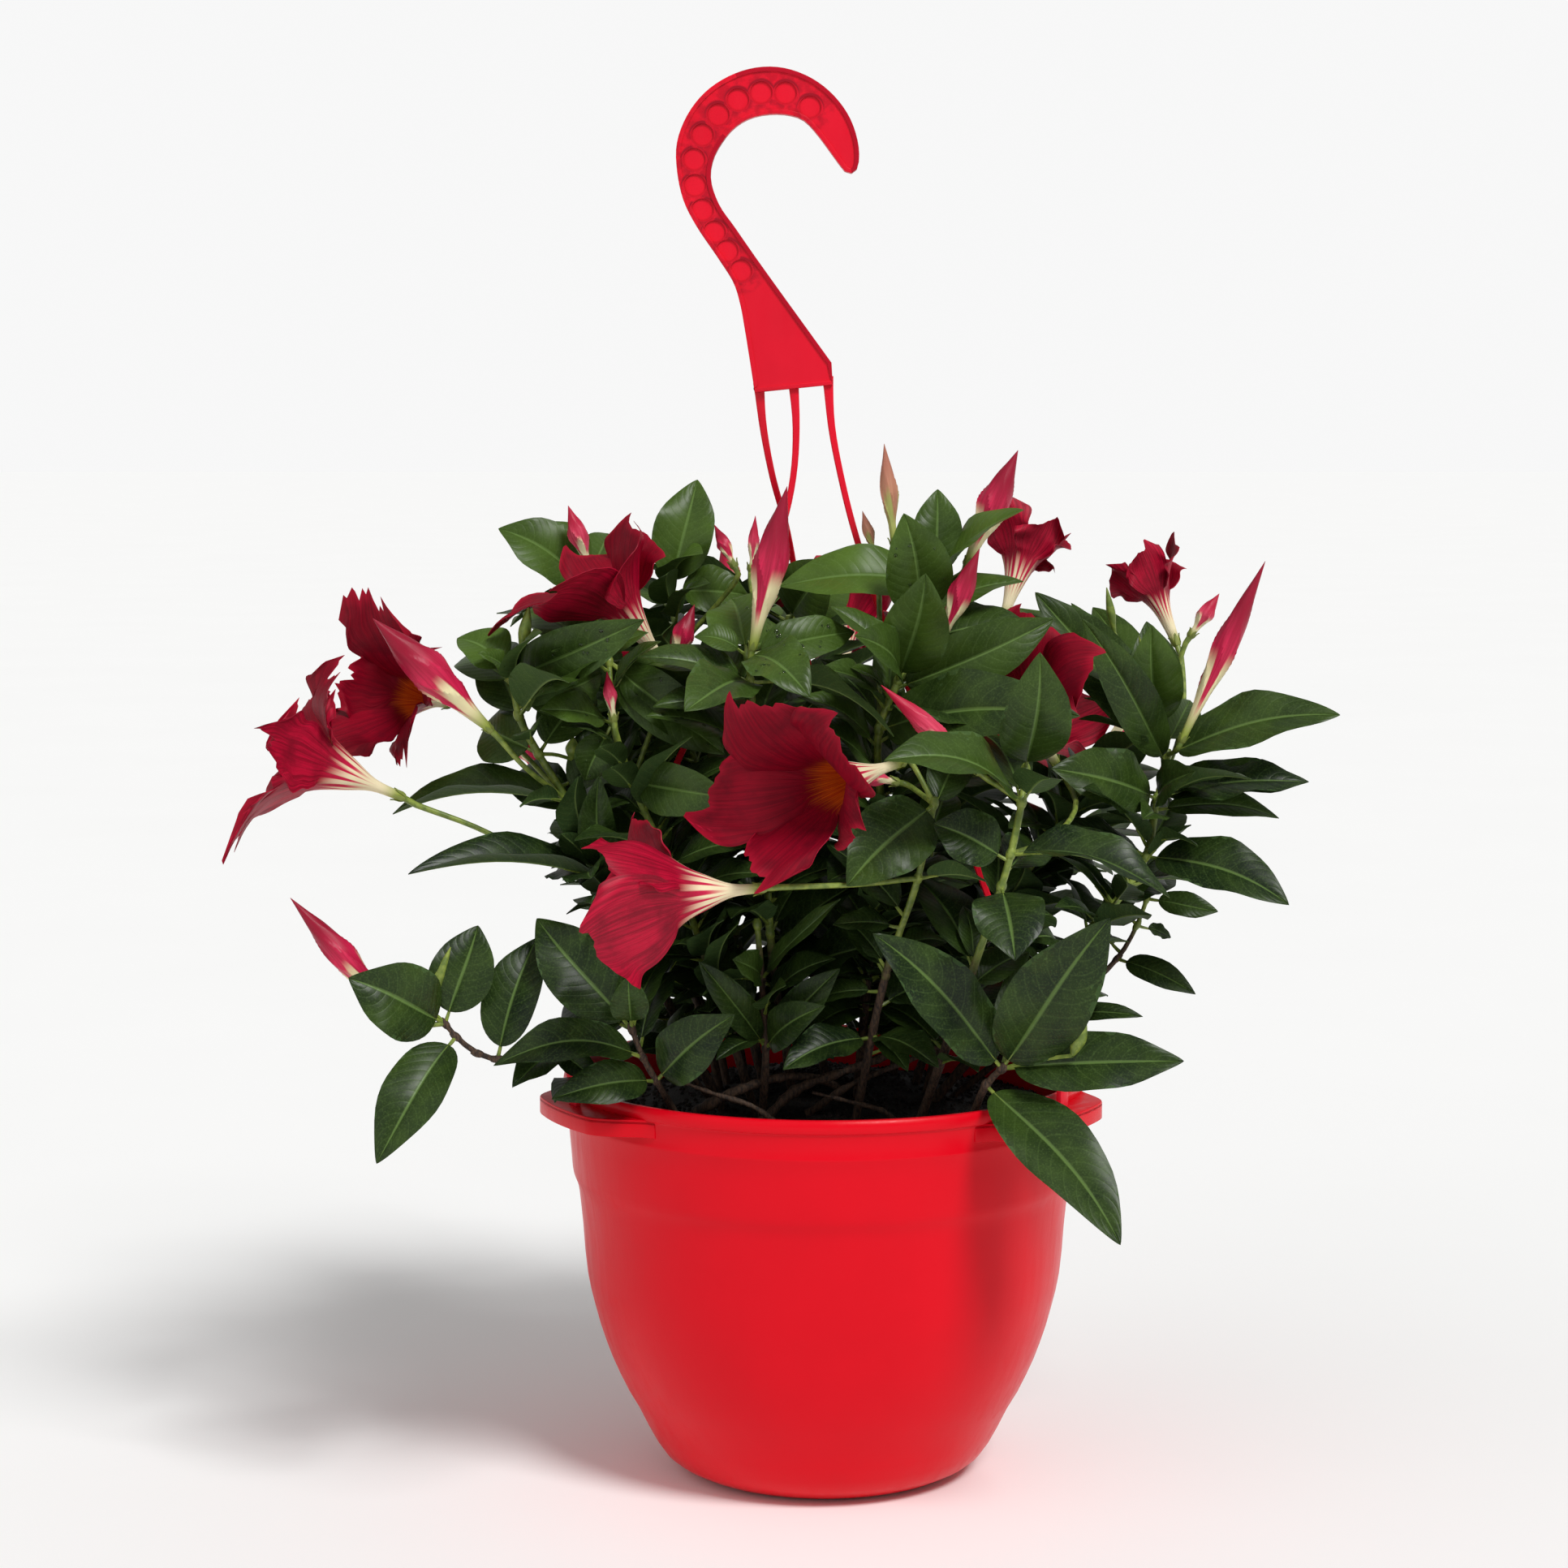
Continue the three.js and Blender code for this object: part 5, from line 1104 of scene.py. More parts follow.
def petal_point(bloom, k, u, v, lift):
    """The grown petal: a round outer edge, ruffled, thinner and sometimes torn."""
    width = bloom.petals[k][2]
    ruffle = bloom.ruffles[k]
    torn = bloom.ragged * (np.sin(9 * v + ruffle.phase) + 0.6 * np.sin(23 * v + 2 * ruffle.phase))
    tip = PETAL_TIP * np.exp(-((v - PETAL_TIP_AT) / PETAL_TIP_WIDTH) ** 2)
    run = u * (0.95 + 0.11 * v - 0.27 * np.abs(v) ** 2.4 + tip * u ** 2 + 0.05 * torn * u)
    shape = throat_half(bloom) * (1 - run) ** 2 + (width / 2) * (2.85 * run - 2.05 * run * run)
    fray = 1 - bloom.ragged * u * (0.07 + 0.06 * np.sin(15 * u + ruffle.phase + 2 * v))
    edge = ruffle.depth * u ** 1.6 * (
        np.abs(v) ** 1.5 * np.sin(2 * math.pi * (ruffle.waves * u + 0.35 * v) + ruffle.phase)
        + 0.7 * u * np.sin(3.4 * v + 1.7 * ruffle.phase))
    cup = PETAL_CUP * u * (1 - u) * (1 - v ** 2)
    return curled_place(bloom, k, run, v * np.maximum(shape * fray, 1.0),
                        PETAL_OVERLAP * v * np.sqrt(u) + edge - cup + lift)


TUBE_FOOT = 2.1
TUBE_ROWS = 15
PIT_ROWS = 10  # rows up the inside of the funnel, from the pit to the mouth
PIT_BOTTOM = 0.37  # height of the pit's bottom, and of its first row, as shares
PIT_START = 0.4  # of the funnel's length
PIT_RUN = 0.19
RIM_UV = (0.5, 0.97)  # the thin edges of a petal take the look of its outer edge
PETAL_HALF = 0.42  # half of a petal's thickness at the throat


def tube_point(bloom, k, t, v, thickness):
    """The funnel between its foot (t = 0) and mouth (t = 1), five-sided towards the mouth."""
    radius = smooth_between([0, 0.34, 0.66, 1],
                            [TUBE_FOOT, 2.9, 0.46 * bloom.mouth, throat_radius(bloom)], t)
    radius = radius - thickness
    around = np.arctan(v * math.tan(SIDE))
    sided = np.clip((t - 0.45) / 0.55, 0, 1) ** 2
    radius = radius * np.cos(around) ** -sided * (1 - 0.05 * (1 - sided) * np.abs(v) ** 4)
    azimuth = sided * around + (1 - sided) * v * SIDE
    return petal_place(bloom, k, radius * np.cos(azimuth), radius * np.sin(azimuth),
                       t * bloom.frame.length)


def petal_grids(bloom, k):
    """Outer and inner points of one fifth of the bloom, from the axis at its foot or pit to the
    edge, with how far along the bloom each row lies."""
    v = np.linspace(-1, 1, ACROSS + 1)
    tube_t, tube_v = np.meshgrid(np.linspace(0, 1, TUBE_ROWS), v, indexing="ij")
    deep_t, deep_v = np.meshgrid(np.linspace(PIT_START, 1, PIT_ROWS), v, indexing="ij")
    u, petal_v = np.meshgrid(np.linspace(0, 1, PETAL_ROWS)[1:] ** 0.85, v, indexing="ij")
    thin = PETAL_HALF * (1 - 0.75 * u ** 2)
    none = np.zeros((1, ACROSS + 1))
    outer = np.concatenate([petal_place(bloom, k, none, none, none),
                            tube_point(bloom, k, tube_t, tube_v, 0),
                            petal_point(bloom, k, u, petal_v, -thin)])
    pit = none + PIT_BOTTOM * bloom.frame.length
    inner = np.concatenate([petal_place(bloom, k, none, none, pit),
                            tube_point(bloom, k, deep_t, deep_v, FUNNEL_WALL),
                            petal_point(bloom, k, u, petal_v, thin)])
    outer_run = np.concatenate([[0], tube_t[:, 0] / 2, 0.5 + u[:, 0] / 2])
    inner_run = np.concatenate([[PIT_RUN], deep_t[:, 0] / 2, 0.5 + u[:, 0] / 2])
    return outer, inner, outer_run, inner_run


def grid_quads(index, run, flip):
    """Quads over a grid of point numbers, with uvs: u across, v the run of each row."""
    low, high = slice(None, -1), slice(1, None)
    order = [(low, low), (low, high), (high, high), (high, low)]
    if flip:
        order.reverse()
    across = np.broadcast_to(np.linspace(0, 1, index.shape[1]), index.shape)
    uv = np.stack([across, np.broadcast_to(run[:, None], index.shape)], -1)
    quads = np.stack([index[corner] for corner in order], -1).reshape(-1, 4)
    return quads, np.stack([uv[corner] for corner in order], 2).reshape(-1, 4, 2)


def grow_fifth(piece, bloom, k):
    """One fifth of the bloom as a closed sheet: outside, inside, and the petal's own edges."""
    outer, inner, outer_run, inner_run = petal_grids(bloom, k)
    index = np.arange(outer[..., 0].size).reshape(outer.shape[:2])
    tops = index.size + np.arange(inner[..., 0].size).reshape(inner.shape[:2])
    out_quads, out_uv = grid_quads(index, outer_run, False)
    in_quads, in_uv = grid_quads(tops, inner_run, True)
    below, above = index[-PETAL_ROWS:], tops[-PETAL_ROWS:]
    left = np.stack([below[:-1, 0], below[1:, 0], above[1:, 0], above[:-1, 0]], -1)
    right = np.stack([below[1:, -1], below[:-1, -1], above[:-1, -1], above[1:, -1]], -1)
    tip = np.stack([below[-1, :-1], below[-1, 1:], above[-1, 1:], above[-1, :-1]], -1)
    rim = np.concatenate([left, right, tip])
    rim_uv = np.tile(np.array(RIM_UV), (len(rim), 4, 1))
    piece.add(np.concatenate([outer.reshape(-1, 3), inner.reshape(-1, 3)]),
              np.concatenate([out_quads, in_quads, rim]),
              np.concatenate([out_uv, in_uv, rim_uv]),
              np.repeat([PETAL_BACK, PETAL_FACE, PETAL_BACK],
                        [len(out_quads), len(in_quads), len(rim)]))


CALYX_ROWS = [  # share of its length, half width, how far out a tooth stands
    (0, 1.1, -0.5), (0.25, 1.3, 0.15), (0.7, 0.8, 0.45), (1, 0.15, 1.1),
]
CALYX_THICK = 0.35
CALYX_SINK = 0.6


def grow_calyx(piece, frame, radius, length):
    """Five narrow green teeth round the foot of a bloom or bud."""
    for k in range(PETALS):
        turn = 2 * math.pi * (k + 0.5) / PETALS
        out = math.cos(turn) * frame.first + math.sin(turn) * frame.second
        across = np.cross(frame.axis, out)
        rings = []
        for t, half, stand in CALYX_ROWS:
            middle = frame.base + frame.axis * (length * t - CALYX_SINK) + out * (radius + stand)
            rings.append([middle - across * half, middle + out * CALYX_THICK,
                          middle + across * half, middle - out * CALYX_THICK])
        piece.loft(rings, ring_uv([t for t, _, _ in CALYX_ROWS], 4), CALYX_SKIN)


def curl_blooms(plan):
    """Gives some blooms their grown petals, and keeps these free of leaves."""
    for bloom in plan.blooms:
        if bloom.name in GROWN_BLOOMS:
            mouth, bloom.mouth, bloom.turn, bloom.petals = GROWN_BLOOMS[bloom.name]
            bloom.frame = axis_frame(bloom.frame.base, point(*mouth))
            add_petals(plan.room, bloom, np.linspace(0.2, 1, 5))


WELD = 0.02  # points of one bloom that are closer than this become one


def grow_bloom(bloom, chance):
    piece = Piece()
    bloom.ragged = RAGGED.get(bloom.name, LEAST_RAGGED)
    bloom.ruffles = [SimpleNamespace(depth=chance.uniform(2.0, 4.0), waves=chance.uniform(0.9, 1.9),
                                     phase=chance.uniform(0, 2 * math.pi)) for _ in range(PETALS)]
    for k in range(PETALS):
        grow_fifth(piece, bloom, k)
    grow_calyx(piece, bloom.frame, TUBE_FOOT, 6)
    flower = piece.build(bloom.name.replace("bloom", "flower"),
                         [PETAL_FACE_FINISH, PETAL_BACK_FINISH, CALYX_FINISH],
                         [bloom.name], sharp=60)
    reworked(flower, lambda mesh: bmesh.ops.remove_doubles(mesh, verts=mesh.verts, dist=WELD * MM))


BUD_TURNS = {"pink": 0.55, "crimson": 0.7, "tan": 0.4}
BUD_SLIMNESS = {"pink": 0.94, "crimson": 0.94, "tan": 0.8}
BUD_ROWS = 34
BUD_FACETS = 50
PETAL_STEP = 0.2  # height of the step at each petal's edge, as a share


def grow_bud(bud):
    """A furled bud: five petals wound round each other, each edge a low step."""
    piece = Piece()
    frame = bud.frame
    t = np.linspace(0, 1, BUD_ROWS) ** 0.9
    wide = bud.radius * BUD_SLIMNESS[bud.colour]
    profile = smooth_between([0, 0.2, 0.38, 0.52, 0.7, 0.88, 1],
                             [1.7, 0.42 * wide, 0.78 * wide, wide, 0.74 * wide, 0.3 * wide, 0.1], t)
    turn = np.linspace(0, 2 * math.pi, BUD_FACETS, endpoint=False)
    wound = (PETALS * turn[None] / (2 * math.pi) + PETALS * BUD_TURNS[bud.colour] * t[:, None]) % 1
    step = PETAL_STEP * (wound ** 3 - 0.25) * np.sin(np.pi * np.clip(t * 1.08, 0, 1))[:, None]
    radius = profile[:, None] * (1 + step)
    lean = 0.05 * frame.length * t ** 2
    path = frame.base + (t * frame.length)[:, None] * frame.axis
    rings = path[:, None] + radius[..., None] * (
        np.cos(turn)[None, :, None] * frame.first + np.sin(turn)[None, :, None] * frame.second)
    rings = rings + (0.25 * lean * np.sin(np.pi * t))[:, None, None] * frame.second
    piece.loft(rings, ring_uv(t, BUD_FACETS), 0)
    grow_calyx(piece, frame, 1.7, 4.5)
    finish = BUD_FINISHES[bud.colour]
    piece.build(f"furled_{bud.name}", [finish, finish, CALYX_FINISH],
                [bud.name], sharp=40)


# ---- pot
# Radius and height up the outside, from the flat underside to the top of the rolled rim.
POT_OUTSIDE = [
    (0, 0), (58, 0), (62, 0.6), (68, 2.6), (75, 6.2), (79, 9.4), (83.4, 15.6), (87.4, 23),
    (92.3, 33), (97.3, 41.5), (101.4, 50), (104.9, 58), (107.8, 66), (110.4, 74), (112.7, 82.6),
    (114.8, 91), (116.3, 99), (117.5, 110), (118.4, 123), (119.4, 133), (120.1, 139.5),
    (120.6, 142.6), (121.3, 145), (122.2, 147.2), (122.9, 149.2), (123.4, 152), (124.0, 160),
    (124.8, 169), (125.3, 177.6), (125.75, 178.6), (125.75, 179.8), (125.4, 180.8),
    (125.6, 186), (125.9, 190.4), (126.4, 191.4), (127.2, 191.8), (127.6, 192.8), (127.65, 195),
    (127.3, 196.9), (126.3, 197.9),
]
POT_INSIDE = [
    (124.6, 198), (123.2, 197.4), (122.6, 195.6), (121.9, 186), (121.4, 178), (120.2, 160),
    (118.0, 145), (115.6, 120), (113.2, 100), (108, 78), (102.2, 60), (90, 34), (75.5, 9.5),
    (60, WALL), (0, WALL),
]
TURNS = 168  # facets round the pot
DRAIN_FACETS = 24
EAR_STEPS = 32
POT_EDGE = 0.55  # width of the rounded edges
LIP_STEP = 0.4  # the lip of an ear starts this far below its top
SLOT_REACH = 20  # the slots are cut this far above and below an ear's top


def mesh_object(name, points, faces):
    mesh = bpy.data.meshes.new(name)
    mesh.from_pydata([tuple(np.asarray(p) * MM) for p in points], [], faces)
    mesh.update()
    piece = bpy.data.objects.new(name, mesh)
    bpy.context.scene.collection.objects.link(piece)
    return piece


def turned_object(name, profile, around):
    """A closed shape of revolution about Z; the profile starts and ends on the axis."""
    points, faces, rings = [], [], []
    for r, z in profile:
        if r == 0:
            rings.append([len(points)] * around)
            points.append((0, 0, z))
            continue
        rings.append(list(range(len(points), len(points) + around)))
        points += [(x, y, z) for x, y in circle(r, around)]
    for low, high in zip(rings, rings[1:]):
        for i in range(around):
            j = (i + 1) % around
            faces.append(list(dict.fromkeys([low[i], low[j], high[j], high[i]])))
    return mesh_object(name, points, faces)


def prism(name, outline, low, high, place):
    """An upright prism over an outline of (x, y) points, its corners put by place(x, y, z)."""
    count = len(outline)
    points = [place(x, y, z) for z in (low, high) for x, y in outline]
    faces = [list(range(count))[::-1], list(range(count, 2 * count))]
    faces += [[i, (i + 1) % count, count + (i + 1) % count, count + i] for i in range(count)]
    return mesh_object(name, points, faces)


def as_it_is(x, y, z):
    return (x, y, z)


def upright(x, z, y):
    """For outlines that are drawn in the hook's plane."""
    return (x, y, z)


def turned_about(angle):
    c, s = math.cos(math.radians(angle)), math.sin(math.radians(angle))
    return lambda x, y, z: (c * x - s * y, s * x + c * y, z)


def reworked(piece, change):
    """The piece with a change made to its faces."""
    mesh = bmesh.new()
    mesh.from_mesh(piece.data)
    change(mesh)
    mesh.to_mesh(piece.data)
    mesh.free()
    return piece


def outward(piece):
    return reworked(piece, lambda mesh: bmesh.ops.recalc_face_normals(mesh, faces=mesh.faces))


def settled(piece):
    """The piece with its modifiers made into its mesh."""
    graph = bpy.context.evaluated_depsgraph_get()
    data = bpy.data.meshes.new_from_object(piece.evaluated_get(graph))
    piece.modifiers.clear()
    piece.data = data
    return piece


def cut(piece, *tools):
    for tool in tools:
        outward(tool)
        change = piece.modifiers.new("cut", "BOOLEAN")
        change.operation = "DIFFERENCE"
        change.solver = "EXACT"
        change.object = tool
    settled(piece)
    for tool in tools:
        bpy.data.objects.remove(tool)
    return piece


SOFTENED_FROM = 32  # degrees between two faces whose edge gets rounded


def softened(piece, width, segments=2):
    bevel = piece.modifiers.new("edge", "BEVEL")
    bevel.width = width * MM
    bevel.segments = segments
    bevel.limit_method = "ANGLE"
    bevel.angle_limit = math.radians(SOFTENED_FROM)
    bevel.harden_normals = False
    return settled(piece)


def joined(name, pieces):
    """One object out of several."""
    mesh = bmesh.new()
    for piece in pieces:
        mesh.from_mesh(piece.data)
        bpy.data.objects.remove(piece)
    data = bpy.data.meshes.new(name)
    mesh.to_mesh(data)
    mesh.free()
    whole = bpy.data.objects.new(name, data)
    bpy.context.scene.collection.objects.link(whole)
    return whole


def finished(piece, *finishes, sharp=38):
    for finish in finishes:
        piece.data.materials.append(finish)
    piece.data.polygons.foreach_set("use_smooth", np.ones(len(piece.data.polygons), bool))
    piece.data.set_sharp_from_angle(angle=math.radians(sharp))
    return piece


def ear_outline(wall=None):
    """An ear in plan, swung in to the rim at both ends: its plate, or the wall of its lip."""
    angles = np.linspace(-EAR_HALF_SPAN, EAR_HALF_SPAN, EAR_STEPS + 1)
    ends = np.clip((np.abs(angles) - EAR_STRAIGHT) / (EAR_HALF_SPAN - EAR_STRAIGHT), 0, 1)
    outer = EAR_RADIUS - (EAR_RADIUS - EAR_END_RADIUS) * ends ** 2 * (3 - 2 * ends)
    inner = outer - wall if wall else np.full(len(outer), EAR_FOOT_RADIUS)
    far, near = ([(r * math.cos(a), r * math.sin(a)) for r, a in zip(radii, np.radians(angles))]
                 for radii in (outer, inner))
    return far + near[::-1]


def strap_block(name, size, play, low, high, angle):
    """An upright block where the strap of an ear runs: size is tangential, radial."""
    half_x, half_y = size[1] / 2 + play, size[0] / 2 + play
    outline = [(STRAP_RADIUS + x * half_x, y * half_y)
               for x, y in ((-1, -1), (1, -1), (1, 1), (-1, 1))]
    return prism(name, outline, low, high, turned_about(angle))


def ear_pieces(angle):
    place = turned_about(angle)
    plate = prism("plate", ear_outline(), EAR_TOP - EAR_PLATE, EAR_TOP, place)
    cut(plate, strap_block("slot", STRAP_END, GAP, EAR_TOP - SLOT_REACH, EAR_TOP + SLOT_REACH,
                           angle))
    lip = prism("lip", ear_outline(WALL), EAR_TOP - EAR_LIP, EAR_TOP - LIP_STEP, place)
    return [softened(outward(part), POT_EDGE) for part in (plate, lip)]


def make_pot():
    body = outward(turned_object("pot_body", POT_OUTSIDE + POT_INSIDE, TURNS))
    cut(body, *[prism("hole", circle(DRAIN_RADIUS, DRAIN_FACETS, *middle), -2, WALL + 2, as_it_is)
                for middle in circle(DRAIN_CIRCLE, DRAIN_HOLES)])
    parts = [body]
    for angle in EAR_ANGLES:
        parts += ear_pieces(angle)
    dressed(finished(joined("moulded_pot", parts), POT_FINISH), ["pot"])


# ---- hanger
def round_outline(points, steps, corners):
    """The outline with its bends smoothed; the corners, given in order, stay sharp."""
    count = len(points)
    out = []
    for start, end in zip(corners, corners[1:] + [corners[0] + count]):
        run = [(*points[i % count], 0) for i in range(start, end + 1)]
        if len(run) == 2:
            out.append(run[0][:2])
        else:
            out += [tuple(p[:2]) for p in Curve(run).spaced(steps * (len(run) - 1))[:-1]]
    return out


def offset_outline(outline, inset):
    """The outline moved inwards, whichever way round it runs."""
    ring = np.array(outline, float)
    ways = np.roll(ring, -1, 0) - np.roll(ring, 1, 0)
    ways /= np.linalg.norm(ways, axis=1, keepdims=True)
    area = 0.5 * np.sum(ring[:, 0] * np.roll(ring[:, 1], -1) - np.roll(ring[:, 0], -1) * ring[:, 1])
    inner = np.stack([-ways[:, 1], ways[:, 0]], 1) * np.sign(area)
    return [tuple(place) for place in ring + inset * inner]


HOOK_CORNERS = [0, 34, 35]  # outline points that stay sharp: the foot of the plate
HOOK_STEPS = 4  # new points from each outline point to the next
HOOK_RIM = 2.2  # width of the raised edge
FACE_SINK = 0.7  # the face lies this far below the raised edge
CORE_INSET = 0.5  # and its own outline this far inside the edge's
CORE_EDGE = 0.3
CELL_FACETS = 28
SHADED_SIDE = unit(point(0.8, 0.6, 0))  # parts of the edge that look this way get a darker finish: painted shade
SHADED_FROM = 0.25


def make_hook():
    outline = round_outline(HOOK_OUTLINE, HOOK_STEPS, HOOK_CORNERS)
    half = HOOK_THICKNESS / 2
    core = outward(prism("core", offset_outline(outline, CORE_INSET), -half + FACE_SINK,
                         half - FACE_SINK, upright))
    cells = []
    for side in (-1, 1):
        face = side * (half - FACE_SINK)
        low, high = sorted((face - side * CELL_DEPTH, face + side))
        cells += [prism("cell", circle(CELL_RADIUS, CELL_FACETS, x, z), low, high, upright)
                  for x, z in HOOK_CELLS]
    cut(core, outward(joined("cells", cells)))
    return [softened(core, CORE_EDGE, 1), hook_edge(outline, half)]


def hook_edge(outline, half):
    """The raised edge round the hook: a band from the outline inwards, on both faces."""
    inner = offset_outline(outline, HOOK_RIM)
    count = len(outline)
    points = [upright(x, z, y) for y in (-half, half) for x, z in outline + inner]
    faces, dark = [], []
    for i in range(count):
        j = (i + 1) % count
        away = unit(point(*outline[i], 0) - point(*inner[i], 0))
        # edge faces that look up and to the right get the darker finish: painted shade
        dark += [int(away @ SHADED_SIDE > SHADED_FROM)] * 4
        faces.append([i, j, count + j, count + i])
        faces.append([2 * count + i, 3 * count + i, 3 * count + j, 2 * count + j])
        faces.append([i, 2 * count + i, 2 * count + j, j])
        faces.append([count + i, count + j, 3 * count + j, 3 * count + i])
    rim = mesh_object("rim", points, faces)
    rim.data.polygons.foreach_set("material_index", np.array(dark, np.int32))
    return softened(outward(rim), POT_EDGE)


STRAP_FLARE = 0.7  # the straps widen towards the plate and the ears
STRAP_FLARE_LENGTH = 14
STRAP_STEPS = 60
STRAP_END_EDGE = 0.5
STRAP_FOOT_EDGE = 0.6
STRAP_WAIST = 0.86  # width of the middle of a strap, as a share of its section
STRAP_SECTION = [
    (1.75, 0.9), (1.2, 1.35), (-1.2, 1.35), (-1.75, 0.9),
    (-1.75, -0.9), (-1.2, -1.35), (1.2, -1.35), (1.75, -0.9),
]


def strap_pieces(path_points, angle):
    """A slack strap: flat moulded bar, its wide end through the ear, and the foot below it."""
    path = Curve(path_points).spaced(STRAP_STEPS)
    sides, others = carried_frames(path)
    steps = np.concatenate([[0], np.cumsum(np.linalg.norm(np.diff(path, axis=0), axis=1))])
    flare = STRAP_FLARE * np.exp(-np.minimum(steps, steps[-1] - steps) / STRAP_FLARE_LENGTH)
    rings = [[p + w * a * side + b * other for a, b in STRAP_SECTION]
             for p, side, other, w in zip(path, sides, others, STRAP_WAIST + flare)]
    piece = Piece()
    piece.loft(rings, ring_uv(np.linspace(0, 1, len(path)), len(STRAP_SECTION)), 0)
    faces = [list(face) for face in [*np.vstack(piece.quads), *[end for end, _, _ in piece.ends]]]
    strap = mesh_object("strap", np.vstack(piece.points), faces)
    foot_top = EAR_TOP - EAR_PLATE - GAP
    end = strap_block("end", STRAP_END, 0, foot_top - 1, STRAP_END_TOP, angle)
    foot = strap_block("foot", STRAP_FOOT, 0, foot_top - STRAP_FOOT[2], foot_top, angle)
    return [strap, softened(outward(end), STRAP_END_EDGE),
            softened(outward(foot), STRAP_FOOT_EDGE)]


def make_hanger():
    parts = make_hook()
    for path, angle in zip(STRAP_PATHS, EAR_ANGLES):
        parts += strap_pieces(path, angle)
    hanger = finished(joined("moulded_hanger", parts), HANGER_FINISH, HANGER_SHADED_EDGE_FINISH)
    dressed(hanger, ["hanger"])


# ---- soil
MOUND_HEIGHT = 15  # the soil stands highest round the foot of the stems
MOUND_MIDDLE = (-8, 22)
MOUND_SPREAD = 48
SOIL_RADIUS = 120.2
SOIL_FACETS = 96
SOIL_ROWS = 30
SOIL_LIFT = 1.2  # how far the soil stands over its level, and sinks at the wall
SOIL_SINK = 2.2
SOIL_SUNK_AT = 120
SOIL_GRAIN = 0.35
SOIL_UNDER = [  # radius and height down the side to the pot's base
    (118.6, 158), (115.6, 143), (109, 84), (101.4, 61), (74.6, 10.5), (59, WALL + GAP),
]
CRUMBS = {"Density": 62000.0, "Smallest": 0.45, "Largest": 2.0, "Level": 0.166}


def soil_height(x, y, phases):
    a, b, c, d = phases
    mound = MOUND_HEIGHT * math.exp(-((x - MOUND_MIDDLE[0]) ** 2 + (y - MOUND_MIDDLE[1]) ** 2)
                                    / (2 * MOUND_SPREAD ** 2))
    return (SOIL_LEVEL + SOIL_LIFT + mound
            + 1.6 * math.sin(0.055 * x + a) * math.cos(0.06 * y + b)
            + 1.0 * math.sin(0.13 * x + c) * math.sin(0.12 * y + d)
            - SOIL_SINK * (math.hypot(x, y) / SOIL_SUNK_AT) ** 4)


def make_soil(chance):
    phases = [chance.uniform(0, 6) for _ in range(4)]
    points = [(0, 0, soil_height(0, 0, phases))]
    for i in range(SOIL_ROWS):
        points += [(x, y, soil_height(x, y, phases) + chance.uniform(-SOIL_GRAIN, SOIL_GRAIN))
                   for x, y in circle(SOIL_RADIUS * (i + 1) / SOIL_ROWS, SOIL_FACETS)]
    faces = [[0, 1 + j, 1 + (j + 1) % SOIL_FACETS] for j in range(SOIL_FACETS)]
    for r, z in SOIL_UNDER:
        points += [(x, y, z) for x, y in circle(r, SOIL_FACETS)]
    for low in range(1, len(points) - SOIL_FACETS, SOIL_FACETS):
        high = low + SOIL_FACETS
        faces += [[low + j, high + j, high + (j + 1) % SOIL_FACETS, low + (j + 1) % SOIL_FACETS]
                  for j in range(SOIL_FACETS)]
    faces.append(list(range(high, high + SOIL_FACETS)))
    bed = finished(outward(mesh_object("soil_bed", points, faces)), SOIL_FINISH, sharp=180)
    dressed(bed, ["soil"])
    tree, names = scatter_tree("soil crumbs", crumb_stamp, CRUMB_FINISH, False)
    scattered("soil_crumbs", bed.data, tree, names, CRUMBS)


SCATTER_SEED = 7


def scatter_sockets(tree):
    """Gives the tree its inputs and output; returns its numbers' identifiers by their names."""
    face = tree.interface
    face.new_socket(name="Geometry", in_out="INPUT", socket_type="NodeSocketGeometry")
    names = {}
    for label in ("Density", "Smallest", "Largest", "Level"):
        socket = face.new_socket(name=label, in_out="INPUT", socket_type="NodeSocketFloat")
        names[label] = socket.identifier
    seed = face.new_socket(name="Seed", in_out="INPUT", socket_type="NodeSocketInt")
    seed.default_value = SCATTER_SEED
    face.new_socket(name="Geometry", in_out="OUTPUT", socket_type="NodeSocketGeometry")
    return names


